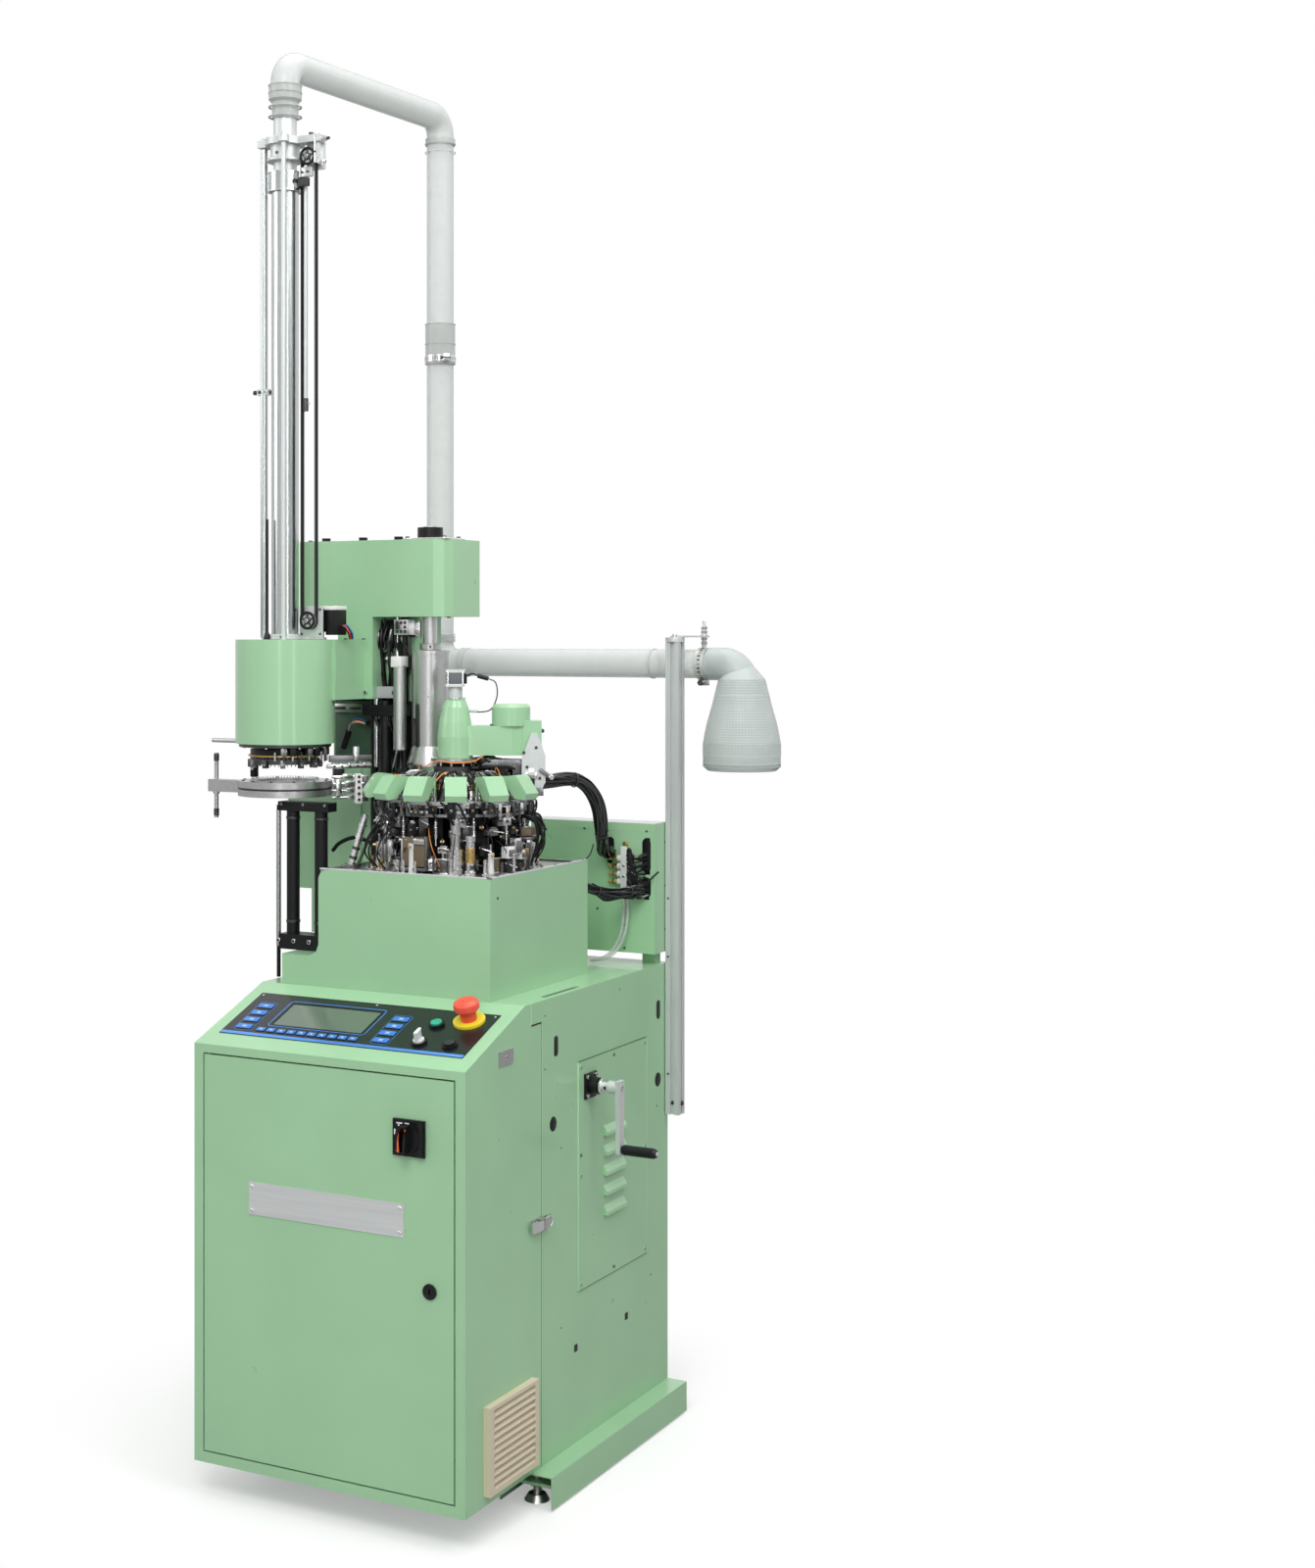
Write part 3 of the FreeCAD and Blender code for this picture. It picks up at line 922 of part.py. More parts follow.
def gear_housing():
    """Upper housing with one rounded corner, hollow inside, and the leg that carries the drum."""
    left, right = "house_x", "(house_x + house_wide)"
    front, back = "house_y", "(house_y + house_deep)"
    chamfer = "0.29 * house_corner"
    ring = [(left, front), (right + " - house_corner", front),
            (right + " - " + chamfer, front + " + " + chamfer),
            (right, front + " + house_corner"), (right, back), (left, back)]
    block = extruded("house_block", "XY", ring, "house_tall", "0", "0", HOUSE_LOW)
    leg = box("house_leg", ("leg_x", "leg_x + leg_wide"), (front, front + " + leg_deep"),
              (LEG_LOW, HOUSE_LOW + " + 1"))
    hollow = box("house_hollow", (left + " + house_wall", right + " - 3 * house_wall"),
                 (front + " + 3 * house_wall", back + " - house_wall"),
                 (HOUSE_LOW + " + house_wall", HOUSE_TOP + " - house_wall"))
    bore = rod("house_bore", "shaft_radius + 1", "transfer_x", "transfer_y", HOUSE_LOW + " - 1",
               "house_tall + 2")
    keep("gear_housing", less("gear_housing", joined("house_solid", block, leg), hollow, bore))


def transfer_cylinder():
    """Plated cylinder that comes down over the needles, tapered below, on its shaft."""
    bar = rod("transfer_bar", "shaft_radius", "transfer_x", "transfer_y", TRANSFER_TOP + " - 10",
              HOUSE_TOP + " + 36 - " + TRANSFER_TOP)
    barrel = turned("transfer_barrel", [
        ("0", TRANSFER_LOW), ("transfer_radius * 0.43", TRANSFER_LOW),
        ("transfer_radius", TRANSFER_LOW + " + 26"),
        ("transfer_radius", TRANSFER_TOP + " - 8"), ("transfer_radius + 2", TRANSFER_TOP + " - 8"),
        ("transfer_radius + 2", TRANSFER_TOP), ("0", TRANSFER_TOP)], "transfer_x", "transfer_y")
    slot = box("transfer_slot", ("transfer_x - 26", "transfer_x - 14"), ("transfer_y - 50", "transfer_y"),
               (TRANSFER_LOW + " + 40", TRANSFER_LOW + " + 100"))
    keep("transfer_cylinder", less("transfer_cylinder", joined("transfer_solid", bar, barrel), slot))


def housing_caps():
    """Shaft bush and three blind caps on top of the housing."""
    boss = turned("boss_ring", [("shaft_radius + 1", HOUSE_TOP), ("shaft_bush", HOUSE_TOP),
                                ("shaft_bush", HOUSE_TOP + " + 24"),
                                ("shaft_radius + 1", HOUSE_TOP + " + 24")], "transfer_x", "transfer_y")
    caps = [rod("house_cap_%d" % n, "9", across, "house_y + 40", HOUSE_TOP, "8")
            for n, across in enumerate(("house_x + 40", "house_x + 130", "house_x + 215"))]
    keep("housing_caps", group("housing_caps", boss, *caps))


def lift_posts():
    """Two guide posts tied by a clamp, and the pivot bar of the pick-up ring between them."""
    near, far = "pivot_x - 35", "pivot_x + 37"
    posts = [rod("lift_post_%d" % n, "lift_post_radius", across, "pivot_y + 15", "body_high",
                 top + " - body_high")
             for n, (across, top) in enumerate(((near, LEG_LOW), (far, HOUSE_LOW)))]
    clamp = box("lift_clamp", (near + " - 11", far + " + 15"), ("pivot_y - 16", "pivot_y + 28"),
                (LEG_LOW + " - 34", LEG_LOW + " - 12"))
    clear = rod("clamp_bore", "pivot_radius + 1", "pivot_x", "pivot_y", LEG_LOW + " - 40", "60")
    shaft = rod("pivot_bar", "pivot_radius", "pivot_x", "pivot_y", "body_high", LEG_LOW + " - 4 - body_high")
    keep("lift_posts", group("lift_posts", less("lift_clamped", joined("lift_solid", clamp, *posts), clear),
                             shaft))


def linking_housing():
    """Drum of the linking station, open below, and the arm that joins it to the housing's leg."""
    arm = box("drum_arm", ("leg_x", "leg_x + leg_wide - 20"), ("link_y + 20", "house_y"), (LEG_LOW, DRUM_TOP))
    drum = rod("drum_body", "link_radius", "link_x", "link_y", DRUM_LOW, "drum_tall")
    hollow = rod("drum_hollow", "link_radius - link_wall", "link_x", "link_y", DRUM_LOW + " - 1",
                 "drum_tall - link_wall + 1")
    tube_hole = rod("drum_tube_hole", "tube_radius + 1", "link_x", "link_y", DRUM_TOP + " - 20", "40")
    keep("linking_housing", less("linking_housing", joined("drum_solid", drum, arm), hollow, tube_hole))


def linking_head():
    """Turning head under the drum with a ring of prongs, and the bearing ring that carries it."""
    rim, neck = "head_rim", "head_neck"
    head = turned("head_rings", [("head_bore", DRUM_LOW + " - 26"), (rim + " - 2", DRUM_LOW + " - 26"),
                                 (rim + " - 2", DRUM_LOW + " - 12"), (neck, DRUM_LOW + " - 12"),
                                 (neck, DRUM_LOW + " + 30"),
                                 (rim, DRUM_LOW + " + 30"), (rim, DRUM_LOW + " + 44"),
                                 ("head_bore", DRUM_LOW + " + 44")],
                  "link_x", "link_y")
    prongs = []
    count = int(size("prong_count"))
    for turn in range(count):
        angle = 2 * math.pi * turn / count
        prongs.append(hexagon("head_prong_%d" % turn, "3", "link_x + prong_ring * %.6f" % math.cos(angle),
                              "link_y + prong_ring * %.6f" % math.sin(angle), DRUM_LOW + " - 48", "24"))
    keep("linking_head", joined("linking_head", head, *prongs))
    keep("linking_bearing", turned("liner_ring", [
        ("head_rim + 4", DRUM_LOW + " + 4"), ("link_radius - link_wall", DRUM_LOW + " + 4"),
        ("link_radius - link_wall", DRUM_LOW + " + 60"), ("head_bore + 2", DRUM_LOW + " + 60"),
        ("head_bore + 2", DRUM_LOW + " + 50"), ("head_rim + 4", DRUM_LOW + " + 50")], "link_x", "link_y"))


def pickup_ring():
    """Two-layer pick-up ring on the arm that swings about the pivot bar, with its handle and pin."""
    hub = turned("station_hub", [("pivot_radius + fit", STATION_LOW + " - 8"),
                                 ("hub_radius", STATION_LOW + " - 8"),
                                 ("hub_radius", STATION_LOW + " + 2 * station_thick"),
                                 ("pivot_radius + fit", STATION_LOW + " + 2 * station_thick")], "pivot_x",
                 "pivot_y")
    middle, top = STATION_LOW + " + station_thick", STATION_LOW + " + 2 * station_thick + 4"
    plate = turned("station_plate", [("station_bore", STATION_LOW), ("station_radius", STATION_LOW),
                                     ("station_radius", middle), ("station_radius - 3", middle + " + 2"),
                                     ("station_radius", middle + " + 4"), ("station_radius", top),
                                     ("station_bore", top)],
                   "link_x", "link_y")
    reach = "(sqrt((pivot_x - link_x) ^ 2 + (pivot_y - link_y) ^ 2) - hub_radius + 1)"
    arm = extruded("station_arm", "XY", [("0.75 * station_radius", "-17"), (reach, "-13"), (reach, "13"),
                                         ("0.75 * station_radius", "17")], "1.4 * station_thick")
    arm.Placement.Rotation = FreeCAD.Rotation(Vector(0, 0, 1),
                                              size("atan2(pivot_y - link_y; pivot_x - link_x)"))
    place(arm, "link_x", "link_y", STATION_LOW + " + 3")
    handle = box("station_handle", ("link_x - handle_reach - 12", "link_x - station_radius + 8"),
                 ("link_y - handle_wide / 2", "link_y + handle_wide / 2"),
                 (STATION_LOW + " + 2", top + " - 3"))
    pin = rod("station_pin", "4.5", "link_x - handle_reach", "link_y", STATION_LOW + " - handle_down",
              "handle_down + handle_up")
    keep("pickup_ring", joined("pickup_ring", hub, plate, arm, handle, pin))


def stand_columns():
    """Two short columns on a foot under the pick-up ring, and the slim guide rod beside them."""
    left, right = "(link_x + stand_left)", "(link_x + stand_right)"
    floor = "(%s + stand_radius)" % BED_STEP
    bars = [rod("stand_bar_%d" % n, "stand_radius", across, STAND_Y, floor, STAND_TOP + " - " + floor)
            for n, across in enumerate((left, right))]
    top = box("stand_top", (left + " - 2 * stand_radius", right + " + 2 * stand_radius"),
              (STAND_Y + " - 16", STAND_Y + " + 16"), (STAND_TOP, STAND_TOP + " + 18"))
    foot = box("stand_foot", (left + " - 20", "needle_x - bed_wide / 2 - 1.5 * bed_bevel + 1"),
               (STAND_Y + " - 22", STAND_Y + " + 22"), (BED_STEP, BED_STEP + " + 30"))
    guide = rod("stand_rod", "4", left + " - 32", STAND_Y + " - 4", "body_high",
                STAND_TOP + " - body_high + 10")
    keep("stand_columns", group("stand_columns", joined("stand_frame", top, foot, *bars), guide))


def rounded_path(points, radii):
    """Wire of straight runs joined by tangent arcs of given radii at the inner points."""
    edges = []
    start = points[0]
    for before, corner, after, radius in zip(points, points[1:], points[2:], radii):
        into, out = (corner - before).normalize(), (after - corner).normalize()
        turn = into.getAngle(out)
        trim = radius * math.tan(turn / 2)
        first, last = corner - into * trim, corner + out * trim
        middle = corner + (out - into).normalize() * (radius / math.cos(turn / 2) - radius)
        edges.append(Part.LineSegment(start, first).toShape())
        edges.append(Part.Arc(first, middle, last).toShape())
        start = last
    edges.append(Part.LineSegment(start, points[-1]).toShape())
    return Part.Wire(edges)


def swept(path, radius):
    """Solid round bar along a path."""
    start = path.Edges[0]
    circle = Part.Circle(start.valueAt(start.FirstParameter), start.tangentAt(start.FirstParameter), radius)
    return path.makePipeShell([Part.Wire([circle.toShape()])], True, False)


def feature(name, shape):
    """Document object for a shape that no primitive or sketch gives."""
    thing = doc.addObject("Part::Feature", name)
    thing.Shape = shape
    return thing


def cord(name, route, radius):
    """Hanging bundle or hose: arcs as large as the runs on each side of a point allow."""
    points = [Vector(*spot) for spot in route]
    radii = []
    for before, corner, after in zip(points, points[1:], points[2:]):
        into, out = corner - before, after - corner
        half = into.getAngle(out) / 2
        radii.append(0.45 * min(into.Length, out.Length) / math.tan(half))
    path = rounded_path(points, radii)
    print(name, "radii", [round(value) for value in radii], "length", round(path.Length))
    keep(name, feature(name, swept(path, radius)))


GUIDE_X = "(link_x - guide_front * sin(-90 - view_turn))"
GUIDE_Y = "(link_y - guide_front * cos(-90 - view_turn))"


def suction_tube():
    """Tube that the belt lowers through the drum, with its carriage ring and belt clamp."""
    bore = "(tube_radius - tube_wall)"
    tube = rod("tall_tube_wall", "tube_radius", "link_x", "link_y", TUBE_LOW, "tube_long")
    ring = rod("carriage_ring", "tube_radius + 6.5", "link_x", "link_y", TUBE_TOP + " - 40", "40")
    clamp = box("carriage_clamp",
                ("link_x - tube_radius - 6.5", BELT_X + " - belt_pitch_radius - belt_thick / 2 - fit"),
                ("link_y - 15", "link_y + 15"), (TUBE_TOP + " - 36", TUBE_TOP + " - 4"))
    inside = rod("carriage_bore", bore, "link_x", "link_y", TUBE_LOW + " - 1", "tube_long + 2")
    keep("suction_tube", less("suction_tube", joined("suction_tube_solid", tube, clamp, ring), inside))


def guide_frame():
    """Top flange with its neck and ears, two guide bars, and the fixed tube inside the moving one."""
    reach = "(link_x - guide_reach)"
    inner = rod("inner_tube_wall", "inner_radius", "link_x", "link_y", TUBE_TOP + " - tube_drop - 30",
                "upper_run - 70 + tube_drop + 30")
    top = rod("frame_top_disc", "40", "link_x", "link_y", FLANGE_LOW, "flange_thick")
    ear = box("frame_top_ear", (reach + " - 9", BELT_X + " + 30"), ("link_y - 12", "link_y + 14"),
              (FLANGE_LOW, FLANGE_LOW + " + flange_thick"))
    neck = rod("frame_neck", "tube_radius + 2.5", "link_x", "link_y", TUBE_TOP + " + neck_up",
               "flange_up - neck_up")
    front = rod("frame_front_ear", "guide_radius + 6", GUIDE_X, GUIDE_Y, FLANGE_LOW, "flange_thick")
    hanger = box("idler_hanger", (BELT_X + " - 12", BELT_X + " + 30"), ("link_y + belt_wide", "link_y + 14"),
                 (IDLER_UP + " - 26", FLANGE_LOW))
    bars = [rod("guide_bar_" + tag, "guide_radius", across, along, DRUM_TOP, FLANGE_LOW + " - " + DRUM_TOP)
            for tag, across, along in (("left", reach, "link_y"), ("front", GUIDE_X, GUIDE_Y))]
    stay = box("guide_stay", (reach + " - 14", reach + " + 14"), ("link_y - 6", "link_y + 6"),
               (DRUM_TOP + " + stay_up", DRUM_TOP + " + stay_up + 12"))
    bore = rod("frame_bore", "inner_radius - inner_wall", "link_x", "link_y", TUBE_TOP + " - tube_drop - 31",
               "upper_run + tube_drop")
    keep("guide_frame", less("guide_frame", joined("guide_solid", top, ear, neck, front, hanger, stay, inner,
                                                   *bars), bore))


def lift_drive():
    """Belt pulleys with rims and stubs, the belt loop over them, and the flanged motor below."""
    near, far = "link_y - belt_wide / 2", "link_y + belt_wide / 2"
    for name, level in (("idler_pulley", IDLER_UP), ("drive_pulley", DRIVER_UP)):
        drum = rod(name + "_drum", "belt_pitch_radius - belt_thick / 2 - fit", BELT_X, near + " - 1", level,
                   "belt_wide + 2", "y")
        rims = [rod("%s_rim_%d" % (name, n), "belt_pitch_radius + 1.5", BELT_X, start, level, "1", "y")
                for n, start in enumerate((near + " - 2", far + " + 1"))]
        stub = rod(name + "_stub", "4", BELT_X, near + " - 4", level, "2 * belt_wide - 1", "y")
        keep(name, joined(name, drum, stub, *rims))
    loop = []
    for name, grow in (("outer", "belt_thick / 2"), ("inner", "-belt_thick / 2")):
        reach = "belt_pitch_radius + (%s)" % grow
        ends = [rod("belt_%s_%s" % (name, end), reach, BELT_X, near, level, "belt_wide", "y")
                for end, level in (("top", IDLER_UP), ("low", DRIVER_UP))]
        run = box("belt_%s_run" % name, (BELT_X + " - (%s)" % reach, BELT_X + " + " + reach), (near, far),
                  (DRIVER_UP, IDLER_UP))
        loop.append(joined("belt_" + name, run, *ends))
    keep("lift_belt", less("lift_belt", *loop))
    back = "(link_y + belt_wide + 5)"
    bracket = box("motor_bracket", (BELT_X + " - 26", BELT_X + " + 26"), ("link_y + belt_wide", back),
                  (DRUM_TOP, DRIVER_UP + " + 24"))
    body = box("motor_body", (BELT_X + " - 22", BELT_X + " + 22"), (back, back + " + 46"),
               (DRIVER_UP + " - 22", DRIVER_UP + " + 22"))
    shaft_hole = rod("motor_shaft_hole", "4 + fit", BELT_X, "link_y", DRIVER_UP, "30", "y")
    keep("lift_motor", less("lift_motor", joined("lift_motor_solid", bracket, body), shaft_hole))


def suction_pipes():
    """Clear pipes with their bends, from the tall tube over to the bell."""
    low, high, joint = size(LOWER_RUN), size(UPPER_RUN), size(COUPLING_UP)
    near = Vector(size("link_x"), size("link_y"), 0)
    far = Vector(size("pipe_x"), size("pipe_y"), 0)
    end = Vector(size("bell_x - bell_bend - 5"), size("pipe_y"), low)
    upper = [near + Vector(0, 0, high - size("elbow_bend + pipe_radius")), near + Vector(0, 0, high),
             far + Vector(0, 0, high), far + Vector(0, 0, joint)]
    lower = [far + Vector(0, 0, joint), far + Vector(0, 0, low), end]
    runs = []
    for name, points in (("upper_pipe", upper), ("lower_pipe", lower)):
        path = rounded_path(points, [size("elbow_bend")] * (len(points) - 2))
        runs.append(feature(name, swept(path, size("pipe_radius")).cut(swept(path,
                                                                             size("pipe_radius - pipe_wall")))))
    keep("suction_pipes", group("suction_pipes", *runs))


def pipe_couplings():
    """Sleeve over the pipe joint, the reducer on the tall tube's neck, and two glued collars."""
    outside, over = "(pipe_radius + fit)", "(pipe_radius + sleeve + fit)"
    foot = "(%s - elbow_bend - pipe_radius)" % UPPER_RUN
    rings = [turned("collar_" + tag, [(outside, low), (over, low), (over, low + " + " + long),
                                      (outside, low + " + " + long)],
                    "pipe_x", "pipe_y")
             for tag, low, long in (("joint", "(%s - coupling_long / 2)" % COUPLING_UP, "coupling_long"),
                                    ("high", "(%s - elbow_bend - 19)" % UPPER_RUN, "collar_long"),
                                    ("low", "(%s + elbow_bend + 3)" % LOWER_RUN, "collar_long"))]
    inside = "(inner_radius + fit)"
    reducer = turned("pipe_reducer", [
        (inside, foot + " - 40"), (inside + " + sleeve", foot + " - 40"),
        (inside + " + sleeve", foot + " - 8"),
        (over, foot + " - 2"), (over, foot + " + 26"), (outside, foot + " + 26"), (outside, foot),
        (inside, foot)],
        "link_x", "link_y")
    keep("pipe_couplings", group("pipe_couplings", reducer, *rings))


def delivery_bell():
    """Moulded bell: a hood round the end of the pipe that turns down and widens into a skirt."""
    low = "(%s + bell_up - bell_tall)" % LOWER_RUN
    wall = [("0.3 * bell_radius", LOWER_RUN + " - 4"), ("0.6 * bell_radius", LOWER_RUN + " - 31"),
            ("0.75 * bell_radius", LOWER_RUN + " - 81"), ("0.89 * bell_radius", LOWER_RUN + " - 120"),
            ("bell_radius", low + " + 58"), ("bell_radius", low + " + 14"), ("bell_radius - 10", low)]
    inside = [(across + " - bell_wall", up) for across, up in wall]
    inside[0] = (inside[0][0], LOWER_RUN + " - 10")
    body = turned("bell_body", [("0", wall[0][1])] + wall + [("0", low)], "bell_x", "pipe_y")
    hollow = turned("bell_hollow", [("0", inside[0][1])] + inside + [("0", low)], "bell_x", "pipe_y")
    center = Vector(size("bell_x"), size("pipe_y"), size(LOWER_RUN))
    arc = rounded_path([center - Vector(size("bell_bend + 0.8 * bell_neck"), 0, 0), center,
                        center - Vector(0, 0, size("bell_bend + 2"))], [size("bell_bend")])
    hood = feature("bell_hood", swept(arc, size("bell_neck")))
    bore = feature("bell_bore", swept(arc, size("pipe_radius + fit")))
    keep("delivery_bell", less("delivery_bell", joined("bell_solid", body, hood), hollow, bore))


def support_post():
    """Grooved profile post with its cap, and the bolted strap that holds the pipe."""
    half, groove = "post_side / 2", "post_groove / 2"
    low = "(body_high - post_down)"
    post = box("post_bar", ("post_x - " + half, "post_x + " + half), ("post_y - " + half, "post_y + " + half),
               (low, POST_TOP))
    across = {"front": ("post_x - " + groove, "post_x + " + groove),
              "rear": ("post_x - " + groove, "post_x + " + groove),
              "right": ("post_x + %s - 6" % half, "post_x + %s + 1" % half)}
    along = {"front": ("post_y - %s - 1" % half, "post_y - %s + 6" % half),
             "rear": ("post_y + %s - 6" % half, "post_y + %s + 1" % half),
             "right": ("post_y - " + groove, "post_y + " + groove)}
    grooves = [box("post_groove_" + face, across[face], along[face],
                   (low + " - 1", POST_TOP + " + 1")) for face in across]
    cap = rod("post_cap", half + " + 5", "post_x", "post_y", POST_TOP, "9")
    plate = (POST_TOP + " + 9", POST_TOP + " + 13")
    strap = turned("clamp_strap", [("pipe_radius + fit", "-strap_wide / 2"),
                                   ("pipe_radius + 3.5", "-strap_wide / 2"),
                                   ("pipe_radius + 3.5", "strap_wide / 2"),
                                   ("pipe_radius + fit", "strap_wide / 2")])
    strap.Placement.Rotation = TURN["x"]
    place(strap, "post_x + strap_out", "pipe_y", LOWER_RUN)
    arm = box("clamp_arm", ("post_x - 8", "post_x + strap_out + 14"), ("post_y - 6", "post_y + 8"), plate)
    link = box("clamp_link", ("post_x + strap_out - 10", "post_x + strap_out + 10"),
               ("post_y + 8", "pipe_y + 4"), plate)
    screw = rod("clamp_screw", "5", "post_x + strap_out", "pipe_y", LOWER_RUN + " + pipe_radius + 2",
                POST_TOP + " + 24 - pipe_radius - " + LOWER_RUN)
    keep("support_post", joined("support_post", less("post_profile", post, *grooves), cap, strap, arm, link,
                                screw))


def rear_cable_box():
    """Open-backed sheet box for the cables on two legs, with three slots in its front."""
    outer = box("rear_box_outer", (BOX_LEFT, "right_x"), (BOX_FRONT, REAR), (BOX_LOW, BOX_TOP))
    inner = box("rear_box_inner", (BOX_LEFT + " + skin", "right_x - skin"),
                (BOX_FRONT + " + skin", REAR + " + 1"),
                (BOX_LOW + " + skin", BOX_TOP + " - skin"))
    level = "(body_high + cable_up)"
    slots = [box("rear_slot_" + tag, (across + " - 6", across + " + 6"),
                 (BOX_FRONT + " - 1", BOX_FRONT + " + skin + 1"),
                 (level + low, level + high))
             for tag, across, low, high in (("middle", "right_x - cable_in", " - 24", " + 24"),
                                            ("upper", "right_x - 16", " - 44", " + 32"),
                                            ("lower", "right_x - 18", " - 96", " - 52"))]
    legs = [box("rear_leg_%d" % n, (across, across + " + 30"), (REAR + " - 30", REAR + " - 6"),
                ("body_high", BOX_LOW + " + skin"))
            for n, across in enumerate((BOX_LEFT + " + 10", "right_x - 44"))]
    keep("rear_cable_box", joined("rear_cable_box", less("rear_box_shell", outer, inner, *slots), *legs))


def air_manifold():
    """Small air manifold on the box's front, with a row of hose nipples and two end plugs."""
    middle, level = "(right_x - manifold_in)", "(body_high + manifold_up)"
    front = BOX_FRONT + " - 9"
    bar = box("manifold_bar", (middle + " - 7", middle + " + 7"), (BOX_FRONT + " - 16", BOX_FRONT),
              (level + " - manifold_tall / 2", level + " + manifold_tall / 2"))
    nipples = [rod("nipple_%d" % n, "4", middle + " - 24", front, level + " + 24 - %d * 16" % n, "20", "x")
               for n in range(int(size("nipple_count")))]
    ends = [rod("manifold_end_%d" % n, "4.5", middle, front, start, "10")
            for n, start in enumerate((level + " - manifold_tall / 2 - 9",
                                       level + " + manifold_tall / 2 - 1"))]
    keep("air_manifold", joined("air_manifold", bar, *nipples, *ends))


def main_drive():
    """Motor on two rails across the body, and the pulley that drives the needle cylinder."""
    along = "(needle_y + motor_reach)"
    low = "(body_high - motor_down - motor_long)"
    foot_low = "(body_high - motor_down)"
    wide = "(motor_radius + 8)"
    body = rod("main_motor_body", "motor_radius", "needle_x", along, low, "motor_long")
    foot = box("main_motor_foot", ("needle_x - %s - 10" % wide, "needle_x + %s + 10" % wide),
               (along + " - " + wide, along + " + " + wide), (foot_low, foot_low + " + 10"))
    rails = [box("motor_rail_%d" % n, (LEFT + " + skin", "right_x - skin"), (start, start + " + 20"),
                 (foot_low + " - 10", foot_low)) for n, start in
             enumerate((along + " - " + wide, along + " + " + wide + " - 20"))]
    bore = rod("main_motor_bore", "motor_shaft + fit", "needle_x", along, foot_low + " - 20", "40")
    keep("main_motor", less("main_motor", joined("main_motor_solid", body, foot, *rails), bore))
    shaft = rod("motor_shaft_bar", "motor_shaft", "needle_x", along, foot_low + " - 19", "80")
    disc = rod("motor_disc", "(cylinder_radius + cylinder_wall / 2) / 2", "needle_x", along,
               "body_high - cylinder_tail - pulley_wide", "pulley_wide")
    keep("motor_pulley", joined("motor_pulley", shaft, disc))


def control_unit():
    """Mounting plate on the cabinet's back wall with its three boxed units."""
    back = "(front_y + cabinet_deep - skin)"
    left = "(%s + unit_margin)" % LEFT
    plate = box("mounting_plate", (left, "right_x - unit_margin"), (back + " - unit_plate", back),
                (RAIL_TOP + " + unit_margin", FRONT_TOP + " - unit_margin"))
    units = [box("control_box_%d" % n, (left + " + " + start, left + " + " + start + " + " + wide),
                 (back + " - " + deep, back + " - unit_plate / 2"),
                 (RAIL_TOP + " + " + low, RAIL_TOP + " + " + low + " + " + tall))
             for n, (start, wide, deep, low, tall) in enumerate((
                 ("unit_margin / 3", "170", "120", "396", "240"), ("220", "120", "150", "416", "200"),
                 ("unit_margin / 3", "320", "90", "136", "150")))]
    keep("control_unit", joined("control_unit", plate, *units))


# The head's bundle leaves the clamp level, rises a little and falls into the box's middle slot;
# the lower bundle runs from the needle selectors to the lower slot.
HEAD_ROUTE = ((113.4, 62.6, 1316), (137.8, 91.6, 1316), (166, 126, 1321), (192, 162, 1317), (207, 196, 1281),
              (203, 228, 1228), (190, 262, 1182), (178, 293, 1160), (178, 319, 1160))
REAR_ROUTE = ((194, 155, 1100), (194, 178, 1100), (202, 209, 1090), (223, 241, 1084), (247, 270, 1087),
              (260, 297, 1089), (260, 319, 1089))


def cables():
    """Cable bundles that hang between the knitting head and the rear box."""
    cord("head_cable_bundle", HEAD_ROUTE, 15)
    cord("rear_cable_bundle", REAR_ROUTE, 10)


def failed_objects():
    """Names of document objects that did not compute."""
    return [thing.Name for thing in doc.Objects if set(thing.State) & {"Invalid", "Error"}]


def export():
    """Check every object and write each sub-part to its own file."""
    doc.recompute()
    bad = failed_objects()
    for thing in pieces:
        if thing.Shape.isNull() or not thing.Shape.isValid() or thing.Shape.Volume <= 0:
            bad.append(thing.Label)
    if bad:
        raise RuntimeError("not built: " + ", ".join(bad))
    os.makedirs("parts", exist_ok=True)
    for thing in pieces:
        thing.Shape.exportStep("parts/%s.step" % thing.Label)
    print("%d sub-parts written" % len(pieces))


fill_sheet()
for build in (base_frame, levelling_feet, cabinet_shell, cabinet_door, door_lock, name_plate, main_switch,
              control_panel, control_bezels, panel_controls, vent_grille, body_shell, access_panel,
              hand_crank,
              side_fittings, bed, needle_cylinder, feeder_ring, yarn_finger_covers, selector_units,
              dial_plate,
              dial_arm_cover, dial_arm_bracket, rear_column, gear_housing, transfer_cylinder, housing_caps,
              lift_posts, linking_housing, linking_head, pickup_ring, stand_columns, suction_tube,
              guide_frame,
              lift_drive, suction_pipes, pipe_couplings, delivery_bell, support_post, rear_cable_box,
              air_manifold, main_drive, control_unit, cables):
    build()
export()
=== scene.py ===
import bmesh
import bpy
import json
import random
from math import atan2, cos, pi, radians, remainder, sin, tau
from mathutils import Matrix, Vector


